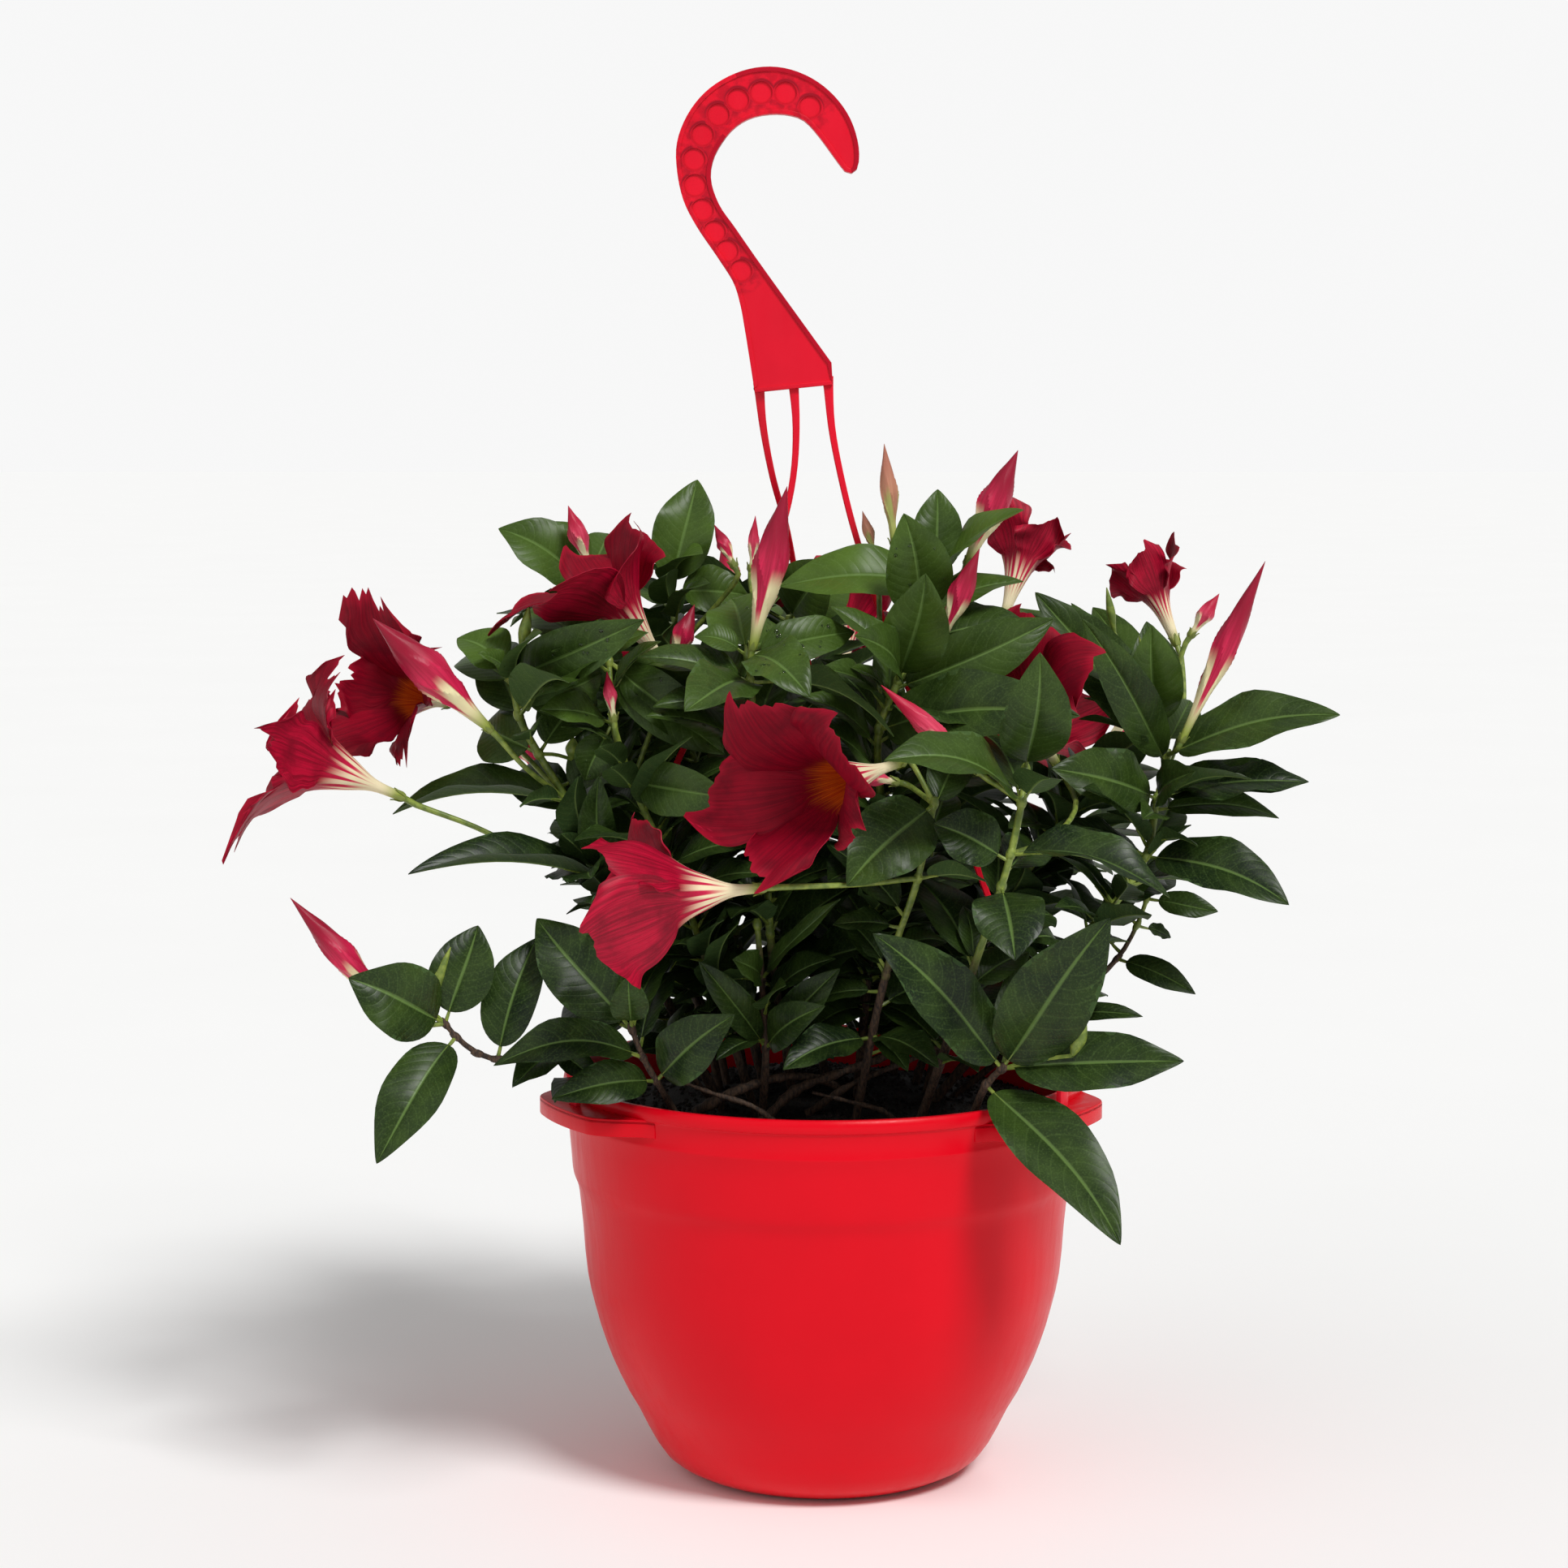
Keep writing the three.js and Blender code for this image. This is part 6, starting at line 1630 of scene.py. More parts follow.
def scatter_tree(name, stamp, finish, standing):
    """A node tree that spreads small stamps over a surface: all standing on it, or turned and
    stretched by chance."""
    tree = bpy.data.node_groups.new(name, "GeometryNodeTree")
    names = scatter_sockets(tree)
    nodes = Nodes(tree)
    given = nodes.add("NodeGroupInput").outputs
    place = nodes.add("GeometryNodeInputPosition").outputs["Position"]
    above = nodes.add("FunctionNodeCompare", {"A": nodes.split(place)[2], "B": given["Level"]},
                      data_type="FLOAT", operation="GREATER_THAN").outputs["Result"]
    spread = nodes.add("GeometryNodeDistributePointsOnFaces", {
        "Mesh": given["Geometry"], "Density": given["Density"], "Seed": given["Seed"],
        "Selection": above}).outputs
    if standing:
        turn = spread["Rotation"]
        size = nodes.add("FunctionNodeRandomValue", {"Min": given["Smallest"],
                                                     "Max": given["Largest"]},
                         data_type="FLOAT").outputs[1]
    else:
        turn = nodes.add("FunctionNodeRandomValue", {"Max": (6.283, 6.283, 6.283)},
                         data_type="FLOAT_VECTOR").outputs["Value"]
        least, most = (nodes.add("ShaderNodeCombineXYZ", {axis: given[label] for axis in "XYZ"})
                       for label in ("Smallest", "Largest"))
        size = nodes.add("FunctionNodeRandomValue", {"Min": least.outputs["Vector"],
                                                     "Max": most.outputs["Vector"]},
                         data_type="FLOAT_VECTOR").outputs["Value"]
    copies = nodes.add("GeometryNodeInstanceOnPoints", {
        "Points": spread["Points"], "Instance": stamp(nodes), "Rotation": turn, "Scale": size})
    real = nodes.add("GeometryNodeRealizeInstances", {"Geometry": copies.outputs["Instances"]})
    paint = nodes.add("GeometryNodeSetMaterial", {"Geometry": real.outputs["Geometry"],
                                                  "Material": finish})
    nodes.add("NodeGroupOutput", {"Geometry": paint.outputs["Geometry"]})
    return tree, names


def scattered(name, surface, tree, names, values):
    """The stamps of a node tree over a surface, as a plain mesh."""
    holder = bpy.data.objects.new(name, surface)
    bpy.context.scene.collection.objects.link(holder)
    spreader = holder.modifiers.new("spread", "NODES")
    spreader.node_group = tree
    for label, value in values.items():
        spreader[names[label]] = value
    dressed(settled(holder), [])


def crumb_stamp(nodes):
    return nodes.add("GeometryNodeMeshIcoSphere", {"Radius": MM, "Subdivisions": 1}).outputs["Mesh"]


def drop_stamp(nodes):
    """A low bead of water."""
    ball = nodes.add("GeometryNodeMeshUVSphere", {"Segments": 12, "Rings": 8, "Radius": MM})
    flat = nodes.add("GeometryNodeTransform", {"Geometry": ball.outputs["Mesh"],
                                               "Scale": (1.0, 1.0, 0.42)})
    return nodes.add("GeometryNodeSetShadeSmooth",
                     {"Geometry": flat.outputs["Geometry"]}).outputs["Geometry"]


OLD_WOOD = [  # points along each old stem over the soil, and its radius
    ([(-62, -48, 186), (-44, -56, 197), (-22, -54, 204), (-4, -50, 203), (10, -46, 196)], 2.6),
    ([(-30, -62, 184), (-14, -60, 199), (8, -56, 207), (30, -48, 214), (50, -44, 226)], 2.3),
    ([(-8, -40, 184), (14, -52, 201), (40, -52, 212), (62, -50, 222)], 1.8),
    ([(-52, -30, 186), (-60, -52, 200), (-66, -66, 212), (-70, -74, 226)], 1.7),
    ([(-20, -70, 183), (-34, -74, 194), (-52, -74, 200), (-70, -70, 206)], 1.5),
    ([(36, -60, 182), (28, -66, 190), (10, -70, 196), (-6, -70, 200)], 1.3),
]
OLD_WOOD_STEPS = 26


def make_old_wood(chance):
    """The short knotted stems that cross over the soil."""
    piece = Piece()
    for points, radius in OLD_WOOD:
        path = Curve([point(*p) for p in points]).spaced(OLD_WOOD_STEPS)
        knots = np.clip(1 + 0.16 * chance.standard_normal(len(path)), 0.7, 1.4)
        piece.rod(path, radius * np.linspace(1.1, 0.55, len(path)) * knots, 10, 0, 1.0)
    piece.build("old_woody_stems", [STEM_FINISH], [], sharp=60)


# ---- finishes
def colour(red, green, blue):
    """A colour given as 0 to 255 screen values, as linear light."""
    def linear(value):
        share = value / 255
        return share / 12.92 if share <= 0.04045 else ((share + 0.055) / 1.055) ** 2.4
    return (linear(red), linear(green), linear(blue), 1.0)


class Nodes:
    """Adds nodes to the tree of a material, of a node group or of the room's light."""

    def __init__(self, tree):
        self.tree = tree

    def add(self, kind, inputs=None, **settings):
        node = self.tree.nodes.new(kind)
        for name, value in settings.items():
            setattr(node, name, value)
        for name, value in (inputs or {}).items():
            self.put(node.inputs[name], value)
        return node

    def put(self, socket, value):
        if isinstance(value, bpy.types.NodeSocket):
            self.tree.links.new(value, socket)
        else:
            socket.default_value = value

    def math(self, operation, first, second=0.0, third=0.0):
        return self.add("ShaderNodeMath", {0: first, 1: second, 2: third},
                        operation=operation).outputs[0]

    def times(self, first, *others):
        for other in others:
            first = self.math("MULTIPLY", first, other)
        return first

    def times_plus(self, value, factor, plus):
        return self.math("MULTIPLY_ADD", value, factor, plus)

    def between(self, value, low, high, start=0.0, end=1.0):
        """value from low to high made smoothly into start to end."""
        return self.add("ShaderNodeMapRange", {"Value": value, 1: low, 2: high, 3: start, 4: end},
                        interpolation_type="SMOOTHSTEP").outputs["Result"]

    def noise(self, vector, scale, detail=3.0, roughness=0.55, distortion=0.0):
        return self.add("ShaderNodeTexNoise", {
            "Vector": vector, "Scale": scale, "Detail": detail, "Roughness": roughness,
            "Distortion": distortion}).outputs["Fac"]

    def mix(self, factor, first, second):
        """The first colour where factor is 0, the second where it is 1."""
        return self.add("ShaderNodeMix", {"Factor": factor, 6: first, 7: second},
                        data_type="RGBA").outputs[2]

    def split(self, vector):
        node = self.add("ShaderNodeSeparateXYZ", {"Vector": vector})
        return node.outputs["X"], node.outputs["Y"], node.outputs["Z"]

    def stretched(self, vector, scale):
        return self.add("ShaderNodeMapping", {"Vector": vector, "Scale": scale}).outputs["Vector"]

    def bump(self, height, strength, distance):
        return self.add("ShaderNodeBump", {"Height": height, "Strength": strength,
                                           "Distance": distance}).outputs["Normal"]

    def nearest_of(self, vector, places):
        """How far the nearest of some places in the hook's plane is."""
        nearest = 1.0
        for x, z in places:
            apart = self.add("ShaderNodeVectorMath", {0: vector, 1: (x * MM, 0, z * MM)},
                             operation="DISTANCE").outputs["Value"]
            nearest = self.math("MINIMUM", nearest, apart)
        return nearest

    def use(self, group, **inputs):
        node = self.tree.nodes.new("ShaderNodeGroup")
        node.node_tree = group
        for name, value in inputs.items():
            self.put(node.inputs[name.replace("_", " ")], value)
        return node.outputs


class Finish(Nodes):
    """A new material: its nodes, its shader's sockets and the coordinates most finishes use."""

    def __init__(self, name):
        self.material = bpy.data.materials.new(name)
        self.material.use_nodes = True
        super().__init__(self.material.node_tree)
        self.shader = self.tree.nodes["Principled BSDF"].inputs
        coordinates = self.add("ShaderNodeTexCoord").outputs
        self.place = coordinates["Object"]
        self.uv = coordinates["UV"]

    def specks(self, *looks):
        """Noise in the object's own place: scale, detail, roughness."""
        return self.noise(self.place, *looks)

    def streaks(self):
        return self.use(STREAKS, UV=self.uv, Vector=self.place)

    def painted(self, relief=None, **sockets):
        """The material with its shader's sockets filled; relief is height, strength, distance."""
        if relief:
            sockets["Normal"] = self.bump(*relief)
        for name, value in sockets.items():
            self.put(self.shader[name.replace("_", " ")], value)
        return self.material


def new_group(name, inputs, outputs):
    """A shader node group with its sockets: name -> kind of each input, names of the outputs."""
    tree = bpy.data.node_groups.new(name, "ShaderNodeTree")
    for label, kind in inputs.items():
        tree.interface.new_socket(name=label, in_out="INPUT", socket_type=kind)
    for label in outputs:
        kind = COLOR if label == "Color" else FLOAT
        tree.interface.new_socket(name=label, in_out="OUTPUT", socket_type=kind)
    nodes = Nodes(tree)
    given = nodes.add("NodeGroupInput").outputs
    out = nodes.add("NodeGroupOutput").inputs
    return tree, nodes, given, out


def moulded_plastic_group():
    """Uneven gloss, faint flow marks and a fine skin, as on moulded plastic."""
    group, nodes, given, out = new_group(
        "moulded plastic", {"Vector": VECTOR, "Color": COLOR, "Deep": COLOR, "Gloss": FLOAT},
        ["Color", "Roughness", "Height"])
    broad = nodes.noise(given["Vector"], 14.0)
    fine = nodes.noise(given["Vector"], 900.0, 2.0)
    flow = nodes.noise(nodes.stretched(given["Vector"], (30.0, 30.0, 3.0)), 6.0, 4.0, 0.6, 0.4)
    mottle = nodes.times(nodes.between(broad, 0.35, 0.7), 0.45)
    nodes.put(out["Color"], nodes.mix(mottle, given["Color"], given["Deep"]))
    rough = nodes.times_plus(nodes.between(flow, 0.35, 0.7), 0.10, given["Gloss"])
    nodes.put(out["Roughness"], nodes.times_plus(fine, 0.06, rough))
    nodes.put(out["Height"], nodes.times_plus(flow, 0.5, nodes.times(fine, 0.5)))
    return group


def leaf_vein_group():
    """Midrib and side veins; a leaf's uv runs along it in X and across it in Y."""
    group, nodes, given, out = new_group(
        "leaf veins", {"UV": VECTOR, "Pairs": FLOAT}, ["Rib", "Vein", "Relief"])
    along, across, _ = nodes.split(given["UV"])
    wide = nodes.math("ABSOLUTE", nodes.times_plus(across, 2.0, -1.0))
    nodes.put(out["Rib"], nodes.between(wide, 0.075, 0.02))
    sweep = nodes.times_plus(nodes.math("POWER", wide, 1.5), -0.20, along)
    phase = nodes.math("FRACT", nodes.times(sweep, given["Pairs"]))
    ridge = nodes.math("ABSOLUTE", nodes.times_plus(phase, 2.0, -1.0))
    inner = nodes.between(wide, 1.0, 0.82)
    nodes.put(out["Vein"], nodes.times(nodes.between(ridge, 0.80, 0.97), inner))
    swell = nodes.math("POWER", nodes.math("SUBTRACT", 1.0, ridge), 0.5)
    nodes.put(out["Relief"], nodes.times(swell, inner))
    return group


def petal_streak_group():
    """Fine streaks that run along a petal from throat to edge: uv across in X, along in Y."""
    group, nodes, given, out = new_group(
        "petal streaks", {"UV": VECTOR, "Vector": VECTOR}, ["Streak", "Stripe", "Relief"])
    across, along, _ = nodes.split(given["UV"])
    place = nodes.add("ShaderNodeCombineXYZ", {"X": across, "Y": along}).outputs["Vector"]
    streak = nodes.noise(nodes.stretched(place, (34.0, 2.2, 1.0)), 1.0, 3.0, 0.6, 0.3)
    nodes.put(out["Streak"], nodes.between(streak, 0.36, 0.66))
    stripe = nodes.noise(nodes.stretched(place, (6.0, 0.8, 1.0)), 1.0, 1.0, 0.4)
    nodes.put(out["Stripe"], nodes.between(stripe, 0.44, 0.56))
    crease = nodes.noise(nodes.stretched(place, (9.0, 3.0, 1.0)), 1.0, 2.0)
    grain = nodes.noise(given["Vector"], 1400.0, 2.0)
    relief = nodes.times_plus(crease, 0.7, nodes.times(streak, 0.5))
    nodes.put(out["Relief"], nodes.times_plus(grain, 0.12, relief))
    return group


FLOAT, VECTOR, COLOR = "NodeSocketFloat", "NodeSocketVector", "NodeSocketColor"
VEINS = leaf_vein_group()
STREAKS = petal_streak_group()
PLASTIC = moulded_plastic_group()
VEIN_PAIRS = 11.0
VEINED = 0.9  # how far the veins show in a leaf's colour
FINE_RELIEF = 0.0004  # distances for the bumps, in metres
STEM_RELIEF = 0.0006
PETAL_RELIEF = 0.0009
SOIL_RELIEF = 0.002


def plastic_finish(name, body, deep, gloss, shine=0.15, shade=None):
    """Moulded plastic; shade says where painted shade darkens it."""
    finish = Finish(name)
    skin = finish.use(PLASTIC, Vector=finish.place, Color=body, Deep=deep, Gloss=gloss)
    color = skin["Color"]
    if shade:
        # painted shade: a darker red mixed in where shade says
        color = finish.mix(shade(finish), color, colour(128, 4, 26))
    return finish.painted(Base_Color=color, Roughness=skin["Roughness"], Specular_IOR_Level=shine,
                          relief=(skin["Height"], 0.18, FINE_RELIEF))


CELL_SHADE_DROP = 1.3  # the painted shadow over a cell is this much thicker above than below
CELL_RING = (1.3, 0.1)  # distances over which the parts of that shade fade, in mm:
CELL_BROW = (5.9, 6.9)  # the thin ring on the cell's edge, the crescent over it,
CELL_BROW_END = (7.4, 6.2)
CELL_WEB = (5.6, 8.5)  # and the patchy web between the cells
CELL_WEB_START = (5.2, 6.0)
CELL_WEB_END = (12.5, 10.0)


def cell_shade(finish):
    """Painted shade on the hanger round its cells: a faint ring on each cell's edge, a painted
    shadow in a crescent along the top of each cell, and a patchy web of painted shade between the
    cells.
    """
    def fade(distance, span, *shares):
        return finish.between(distance, span[0] * MM, span[1] * MM, *shares)

    flat = finish.stretched(finish.place, (1.0, 0.0, 1.0))
    nearest = finish.nearest_of(flat, HOOK_CELLS)
    lower = finish.nearest_of(flat, [(x, z - CELL_SHADE_DROP) for x, z in HOOK_CELLS])
    from_edge = finish.math("ABSOLUTE", finish.math("SUBTRACT", nearest, CELL_RADIUS * MM))
    ring = finish.times(fade(from_edge, CELL_RING), 0.28)
    # painted shadow along the top of each cell, as if lit from above
    brow = finish.times(fade(lower, CELL_BROW), fade(nearest, CELL_BROW_END), 0.8)
    patchy = finish.specks(260.0)
    web = finish.times(fade(nearest, CELL_WEB, 0.6, 0.35), finish.between(patchy, 0.36, 0.62),
                       fade(nearest, CELL_WEB_START), fade(nearest, CELL_WEB_END))
    return finish.math("MAXIMUM", finish.math("MAXIMUM", ring, brow), web)


def leaf_finish(name, dark, fresh_and_lit, vein, gloss, shine, relief):
    """One side of the leaves; tone makes a leaf fresher and lighter: young growth, and painted
    light on the higher blades.
    """
    finish = Finish(name)
    tone = finish.add("ShaderNodeAttribute", attribute_name="tone").outputs["Fac"]
    veins = finish.use(VEINS, UV=finish.uv, Pairs=VEIN_PAIRS)
    patchy = finish.specks(55.0, 4.0)
    fine = finish.specks(1100.0)
    # tone lifts a blade from dark to fresh_and_lit: young growth, and painted light on the higher
    # blades
    lift = finish.times_plus(finish.between(patchy, 0.3, 0.75), 0.2, finish.times(tone, 0.8))
    body = finish.mix(lift, dark, fresh_and_lit)
    body = finish.mix(finish.times(finish.between(fine, 0.45, 0.75), 0.18), body, vein)
    body = finish.mix(finish.times(veins["Vein"], 0.10 * VEINED), body, vein)
    body = finish.mix(finish.times(veins["Rib"], 0.75 * VEINED), body, vein)
    height = finish.times_plus(veins["Relief"], relief, finish.times(fine, 0.06))
    height = finish.times_plus(veins["Rib"], -0.5 * relief, height)
    return finish.painted(Base_Color=body, Roughness=finish.times_plus(patchy, 0.16, gloss),
                          Specular_IOR_Level=shine, relief=(height, 0.3, FINE_RELIEF))


def stem_finish():
    """Green stalks; tone makes a stem brown and woody with a cracked bark."""
    finish = Finish("green to woody stem")
    tone = finish.add("ShaderNodeAttribute", attribute_name="tone").outputs["Fac"]
    blotch = finish.specks(260.0, 4.0)
    bark = finish.noise(finish.stretched(finish.place, (1.0, 1.0, 0.25)), 900.0, 4.0, 0.65)
    green = finish.mix(finish.between(blotch, 0.35, 0.7), colour(96, 116, 44), colour(142, 158, 66))
    brown = finish.mix(finish.between(bark, 0.35, 0.65), colour(36, 26, 20), colour(88, 66, 48))
    wood = finish.between(finish.times_plus(blotch, 0.5, tone), 0.55, 1.0)
    height = finish.times(bark, finish.math("ADD", wood, 0.1))
    return finish.painted(Base_Color=finish.mix(wood, green, brown),
                          Roughness=finish.times_plus(wood, 0.35, 0.42),
                          relief=(height, 0.6, STEM_RELIEF))


def petal_face_finish():
    """The inside of a bloom: orange deep in the throat, then velvety crimson."""
    finish = Finish("crimson petal face")
    along = finish.split(finish.uv)[1]
    streaks = finish.streaks()
    patchy = finish.specks(70.0)
    faint = finish.times(streaks["Streak"], 0.55)
    petal = finish.mix(faint, colour(116, 1, 26), colour(156, 4, 34))
    petal = finish.mix(finish.between(patchy, 0.45, 0.8), petal, colour(98, 1, 22))
    edge = finish.times(finish.between(along, 0.93, 1.0), 0.5)
    petal = finish.mix(edge, petal, colour(176, 16, 46))
    throat = finish.between(finish.times_plus(streaks["Streak"], 0.05, along), 0.41, 0.54)
    deep = finish.mix(streaks["Streak"], colour(236, 118, 24), colour(190, 48, 18))
    return finish.painted(Base_Color=finish.mix(throat, deep, petal),
                          Roughness=finish.times_plus(patchy, 0.12, 0.50),
                          Specular_IOR_Level=0.13, relief=(streaks["Relief"], 0.5, PETAL_RELIEF))


def petal_back_finish():
    """The outside: cream to green tube, pink stripes up the funnel, rosy red petals."""
    finish = Finish("rosy petal back")
    across, along, _ = finish.split(finish.uv)
    streaks = finish.streaks()
    patchy = finish.specks(60.0)
    petal = finish.mix(streaks["Streak"], colour(136, 3, 34), colour(186, 10, 50))
    petal = finish.mix(finish.between(patchy, 0.45, 0.8), petal, colour(120, 3, 30))
    foot = finish.mix(finish.between(along, 0.02, 0.16), colour(150, 164, 66),
                      colour(242, 228, 188))
    wide = finish.math("ABSOLUTE", finish.times_plus(across, 2.0, -1.0))
    rays = finish.times_plus(streaks["Stripe"], 0.17, finish.times_plus(wide, -0.04, along))
    pink = finish.mix(finish.between(along, 0.3, 0.52), colour(206, 34, 76), petal)
    return finish.painted(Base_Color=finish.mix(finish.between(rays, 0.31, 0.49), foot, pink),
                          Roughness=finish.times_plus(patchy, 0.12, 0.44),
                          Specular_IOR_Level=0.2, relief=(streaks["Relief"], 0.5, PETAL_RELIEF))


def bud_finish(name, tip, flank, foot, start, end):
    """A furled bud: pale foot, its colour coming between start and end, darker at each edge."""
    finish = Finish(name)
    along = finish.split(finish.uv)[1]
    streaks = finish.streaks()
    fine = finish.noise(finish.stretched(finish.place, (1.0, 1.0, 0.3)), 700.0)
    petals = finish.mix(finish.between(along, start + 0.1, end + 0.25), flank, tip)
    petals = finish.mix(finish.times(streaks["Streak"], 0.6), petals, tip)
    blend = finish.between(finish.times_plus(streaks["Stripe"], 0.26, along), start, end)
    pale = finish.mix(finish.between(along, 0.03, 0.22), colour(152, 166, 70), foot)
    return finish.painted(Base_Color=finish.mix(blend, pale, petals),
                          Roughness=finish.times_plus(fine, 0.15, 0.36),
                          Specular_IOR_Level=0.3, Subsurface_Weight=0.08,
                          Subsurface_Radius=(0.003, 0.001, 0.001),
                          relief=(streaks["Relief"], 0.4, STEM_RELIEF))


def water_finish():
    finish = Finish("water drop")
    faint = finish.specks(900.0, 2.0)
    return finish.painted(
        Base_Color=finish.mix(faint, colour(246, 250, 248), colour(255, 255, 255)),
        Roughness=0.03, IOR=1.33, Transmission_Weight=1.0)


def calyx_finish():
    finish = Finish("calyx green")
    blotch = finish.specks(420.0)
    return finish.painted(Base_Color=finish.mix(blotch, colour(98, 122, 46), colour(156, 162, 84)),
                          Roughness=finish.times_plus(blotch, 0.2, 0.42),
                          relief=(blotch, 0.3, FINE_RELIEF))


def soil_finish(name, wet, dry, scale):
    finish = Finish(name)
    clods = finish.specks(scale, 6.0, 0.7)
    specks = finish.specks(scale * 5, 3.0, 0.7)
    body = finish.mix(finish.between(clods, 0.35, 0.7), wet, dry)
    body = finish.mix(finish.between(specks, 0.66, 0.8), body, colour(84, 64, 46))
    height = finish.times_plus(clods, 1.0, finish.times(specks, 0.4))
    return finish.painted(Base_Color=body, Roughness=finish.times_plus(clods, 0.3, 0.62),
                          relief=(height, 0.9, SOIL_RELIEF))


def floor_finish():
    finish = Finish("pale floor")
    faint = finish.specks(3.0, 4.0)
    return finish.painted(
        Base_Color=finish.mix(faint, colour(248, 248, 247), colour(251, 251, 250)),
        Roughness=0.9, Specular_IOR_Level=0.0)


POT_FINISH = plastic_finish("red pot plastic", colour(220, 2, 26), colour(208, 2, 23), 0.26)
# cell_shade paints shade round the hook's cells
HANGER_FINISH = plastic_finish("red hanger plastic", colour(228, 12, 42), colour(200, 8, 34), 0.3,
                               0.22, cell_shade)
# the darker finish of the raised edge is painted shade on its side that looks up and to the right
HANGER_SHADED_EDGE_FINISH = plastic_finish("shaded edge of the hanger", colour(186, 8, 36),
                                    colour(150, 4, 28), 0.32)
LEAF_FACE_FINISH = leaf_finish("glossy leaf face", colour(14, 28, 14), colour(90, 120, 38),
                               colour(106, 134, 70), gloss=0.27, shine=0.2, relief=0.8)
LEAF_BACK_FINISH = leaf_finish("pale leaf back", colour(46, 68, 36), colour(86, 112, 50),
                               colour(122, 144, 80), gloss=0.46, shine=0.16, relief=-0.7)
STEM_FINISH = stem_finish()
PETAL_FACE_FINISH = petal_face_finish()
PETAL_BACK_FINISH = petal_back_finish()
BUD_FINISHES = {
    "pink": bud_finish("pink bud", colour(182, 16, 56), colour(226, 76, 106),
                       colour(238, 228, 184), 0.4, 0.54),
    "crimson": bud_finish("crimson bud", colour(146, 6, 42), colour(208, 34, 78),
                          colour(236, 224, 176), 0.38, 0.52),
    "tan": bud_finish("tan bud", colour(176, 112, 92), colour(196, 140, 110),
                      colour(186, 190, 110), 0.42, 0.62),
}
CALYX_FINISH = calyx_finish()
WATER_FINISH = water_finish()
SOIL_FINISH = soil_finish("moist potting soil", colour(10, 7, 5), colour(28, 20, 15), 160.0)
CRUMB_FINISH = soil_finish("soil crumb", colour(16, 11, 8), colour(46, 33, 24), 420.0)


# ---- floor, light and camera
FLOOR_CORNERS = [(-40000, -30000, 0), (40000, -30000, 0), (40000, 60000, 0), (-40000, 60000, 0)]
ROOM_LIGHT = 0.36
BACKDROP_LIGHT = 0.935
LIGHTS = [  # name, degrees right of the front, height, spread, strength
    ("key", 34, 49, 18, 2.35),
    ("fill", -50, 30, 60, 0.4),
]
IMAGE_WIDTH = 1932
SENSOR_WIDTH = 36
CAMERA_FOCUS = 4194.6  # in pixels of that width
CAMERA_PLACE = (-19.44, -1650.24, 511.5)
CAMERA_PITCH = 5.973  # degrees that it looks down
CAMERA_SEES = 40  # how far it sees, in metres


def set_stage():
    floor = mesh_object("pale_floor", FLOOR_CORNERS, [[0, 1, 2, 3]])
    floor.data.materials.append(floor_finish())
    scene = bpy.context.scene
    scene.view_settings.view_transform = "Standard"
    scene.world = bpy.data.worlds.new("soft white room")
    scene.world.use_nodes = True
    nodes = Nodes(scene.world.node_tree)
    backdrop = scene.world.node_tree.nodes["Background"].inputs
    backdrop["Color"].default_value = (1.0, 1.0, 1.0, 1.0)
    seen = nodes.add("ShaderNodeLightPath").outputs["Is Camera Ray"]
    nodes.put(backdrop["Strength"],
              nodes.times_plus(seen, BACKDROP_LIGHT - ROOM_LIGHT, ROOM_LIGHT))
    for name, azimuth, elevation, spread, strength in LIGHTS:
        lamp = bpy.data.lights.new(name, "SUN")
        lamp.angle = math.radians(spread)
        lamp.energy = strength
        light = bpy.data.objects.new(name, lamp)
        light.rotation_euler = (math.radians(90 - elevation), 0, math.radians(azimuth))
        scene.collection.objects.link(light)


def set_camera():
    data = bpy.data.cameras.new("camera")
    data.sensor_width = SENSOR_WIDTH
    data.lens = CAMERA_FOCUS / IMAGE_WIDTH * data.sensor_width
    data.clip_end = CAMERA_SEES
    camera = bpy.data.objects.new("camera", data)
    camera.location = [value * MM for value in CAMERA_PLACE]
    camera.rotation_euler = (math.radians(90) - math.radians(CAMERA_PITCH), 0, 0)
    bpy.context.scene.collection.objects.link(camera)
    bpy.context.scene.camera = camera


# ---- the whole
FILLS = [  # shortest and longest blade, steps along a stem, tries
    ((46, 64), 17, 3),
    ((30, 46), 12, 2),
]
FILL_CLEAR = 1.8
FILL_FRONT = -112
FILL_WINDOW = 214
FILL_BENDS = BENDS[:9] + BENDS[17:25]
FILL_FOOT = 12  # no leaf starts lower than this over the soil
LOW_FILL = 240  # leaves that start below here rise less


def fill_crown(plan, chance):
    """Smaller leaves between the drawn ones, so that the crown is close and dark within."""
    for lengths, step, tries in FILLS:
        for shoot in plan.shoots:
            curve = Curve([shoot.points[0] + UP * 10, *shoot.points[1:]])
            for base in curve.along(np.arange(0.06, 0.985, step / curve.length)):
                if base[2] >= SOIL_LEVEL + FILL_FOOT:
                    fill_round(plan.room, shoot, base, lengths, tries, chance)


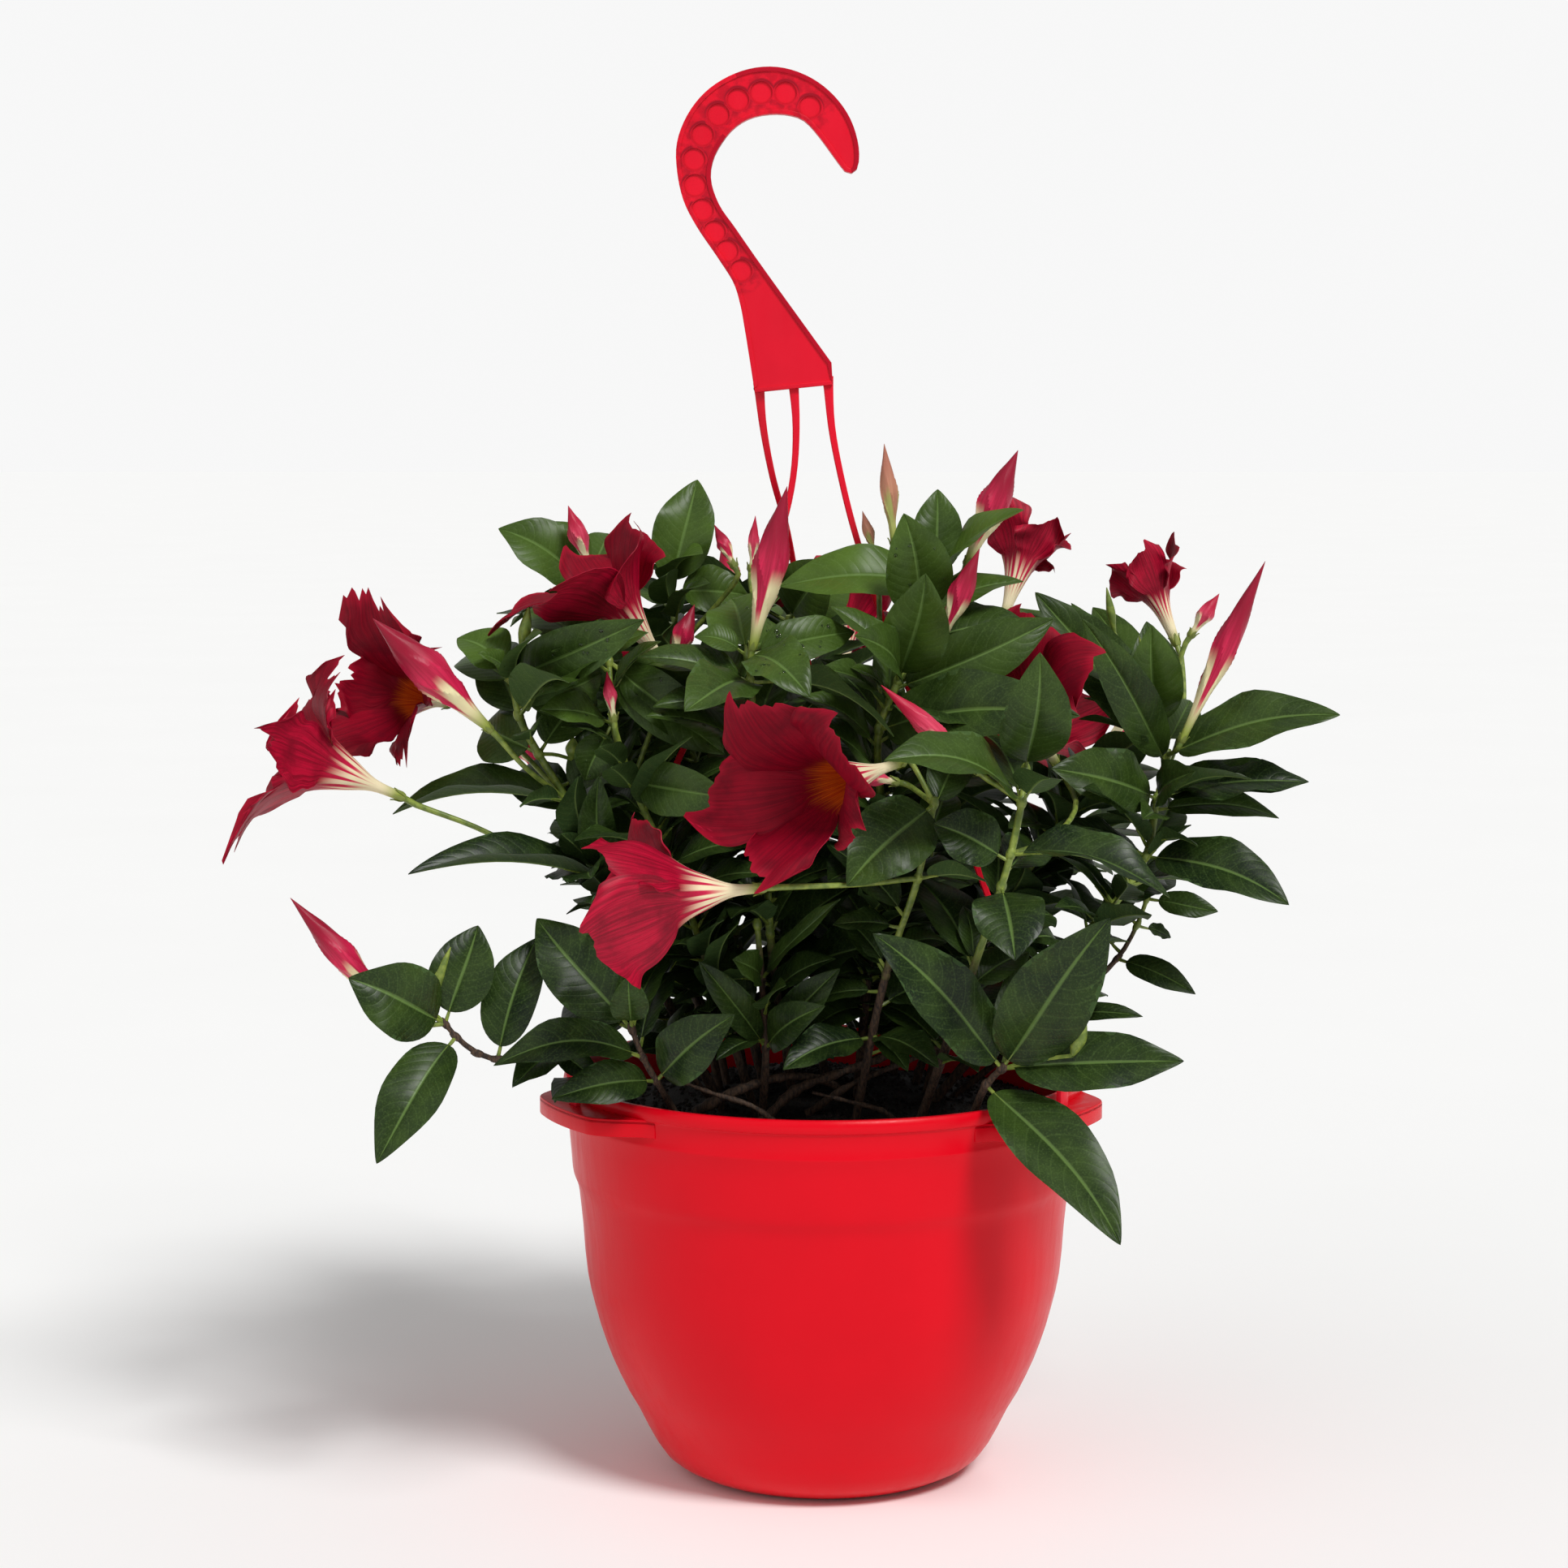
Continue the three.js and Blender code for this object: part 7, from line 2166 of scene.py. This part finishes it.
def fill_round(room, shoot, base, lengths, tries, chance):
    turn = chance.uniform(0, 2 * math.pi)
    outward = math.atan2(base[1], base[0])
    rises = (-0.15, 0.35) if base[2] < LOW_FILL else (0.0, 0.7)
    for i in range(tries):
        heading = turn + 2 * math.pi * i / tries + chance.uniform(-0.4, 0.4)
        length = chance.uniform(*lengths)
        tip = base + length * unit(point(math.cos(heading) + 0.4 * math.cos(outward),
                                         math.sin(heading) + 0.4 * math.sin(outward),
                                         chance.uniform(*rises)))
        width = chance.uniform(0.42, 0.52) * length
        looks = looks_outward(outward)
        if not in_crown(make_leaf(base, tip, width, looks, 0), FILL_FRONT, FILL_WINDOW):
            continue
        leaf = bent_clear(room, shoot, base, tip, width, looks, RULE_ARCH * length, FOLD,
                          FILL_BENDS, FILL_CLEAR)
        if leaf.room >= FILL_CLEAR and in_crown(leaf, FILL_FRONT, FILL_WINDOW):
            keep(room, shoot, 0, leaf)


# More leaves that show from outside: shoot, stalk's foot, tip, width, way the face looks, arch.
MORE_LEAVES = [
    ("right_high", (165.6, 2.0, 358.6), (104, 2, 433), 34, (0, -2, 1), 5),
    ("right_high", (163.3, 4.0, 363.3), (163, 4, 418), 28, (0, -1, 2), 5),
    ("right_high", (163.6, -2.9, 337.5), (236, -3, 341), 24, (0, -1, 1), 5),
    ("right_high", (161.0, -5.3, 327.0), (222, -5, 326), 18, (0, -1, 1), 4),
    ("right_front", (82.2, -124.0, 316.7), (48, -124, 334), 28, (0, -2, 1), 3),
    ("left_mid", (-84.2, -72.8, 333.0), (-62, -112.8, 373.2), 28, (0, -1, 2), 5),
    ("left_mid", (-101.0, -66.0, 403.0), (-48, -86, 362), 28, (0, -1, 0), 5),
    ("left_high", (-146.0, -70.0, 396.0), (-82, -110, 423), 27, (0, -1, 0), 5),
    ("left_high", (-143.9, -70.1, 381.4), (-104, -50, 397), 24, (0, -1, 0), 5),
    ("left_mid", (-99.1, -74.0, 375.3), (-112, -74, 348), 20, (0, -1, 0), 5),
    ("left_mid", (-90.3, -74.1, 347.8), (-44, -114, 344), 26, (0, -1, 0), 5),
    ("centre_left", (-55.7, -6.0, 326.6), (-80, -6, 309), 20, (0, -1, 0), 5),
    ("centre_right", (32.4, -66.5, 390.3), (103, -87, 423), 30, (0, -1, 0), 5),
    ("right_high", (166.8, -0.9, 349.1), (118, -41, 419), 24, (0, -1, 0), 5),
]


def add_leaves(plan):
    by_name = {shoot.name: shoot for shoot in plan.shoots}
    for name, base, tip, width, looks, arch in MORE_LEAVES:
        leaf = bent_clear(plan.room, by_name[name], point(*base), point(*tip), width, looks, arch,
                          FOLD, FEW_BENDS, FILL_CLEAR)
        keep(plan.room, by_name[name], 0, leaf)


WET_PLACES = [(-74, -76, 383), (-114, -90, 409), (-105, -74, 362), (-20, -80, 400),
              (96, -100, 410), (40, -90, 440)]
WET_REACH = 34  # leaves this near to a wet place carry drops,
WET_SIDE = unit(point(0, -0.7, 0.7))
WET_FACING = 0.3  # if they look up and to the front
WET_WIDTH = 19  # and are this wide
DROPS = {"Density": 14000.0, "Smallest": 0.35, "Largest": 1.15, "Level": 0.0}


def is_wet(leaf):
    middle = leaf.base + leaf.along * leaf.length / 2
    near = min(np.linalg.norm(middle - point(*place)) for place in WET_PLACES)
    return near <= WET_REACH and leaf.face @ WET_SIDE >= WET_FACING and leaf.width >= WET_WIDTH


def face_up(mesh):
    """Turns the faces of a mesh so that they look up and to the front."""
    for face in mesh.faces:
        if np.array(face.normal) @ WET_SIDE < 0:
            face.normal_flip()


def make_drops(plan):
    """Beads of water on the upper leaves of a few places."""
    faces, points = [], []
    u, v = np.meshgrid(np.linspace(0.12, 0.9, 12), np.linspace(-0.8, 0.8, 7), indexing="ij")
    index = np.arange(u.size).reshape(u.shape)
    quads = np.stack([index[:-1, :-1], index[1:, :-1], index[1:, 1:], index[:-1, 1:]], -1)
    for shoot in plan.shoots:
        for leaf in filter(is_wet, shoot.blades):
            faces += (quads.reshape(-1, 4) + len(points)).tolist()
            blade = leafy_point(leaf, u, v, BLADE_HALF * (1 - v ** 2) - 0.1)
            points += blade.reshape(-1, 3).tolist()
    blades = reworked(mesh_object("wet_blades", points, faces), face_up)
    tree, names = scatter_tree("water drops", drop_stamp, WATER_FINISH, True)
    scattered("water_drops", blades.data, tree, names, DROPS)
    bpy.data.objects.remove(blades)


def dress():
    set_camera()
    set_stage()
    chance = np.random.default_rng(20)
    plan = plan_plant()
    curl_blooms(plan)
    add_leaves(plan)
    fill_crown(plan, chance)
    make_pot()
    make_hanger()
    make_soil(chance)
    make_old_wood(chance)
    for shoot in plan.shoots:
        grow_shoot(shoot, plan, chance)
    for bloom in plan.blooms:
        grow_bloom(bloom, chance)
    for bud in plan.buds:
        grow_bud(bud)
    make_drops(plan)


dress()
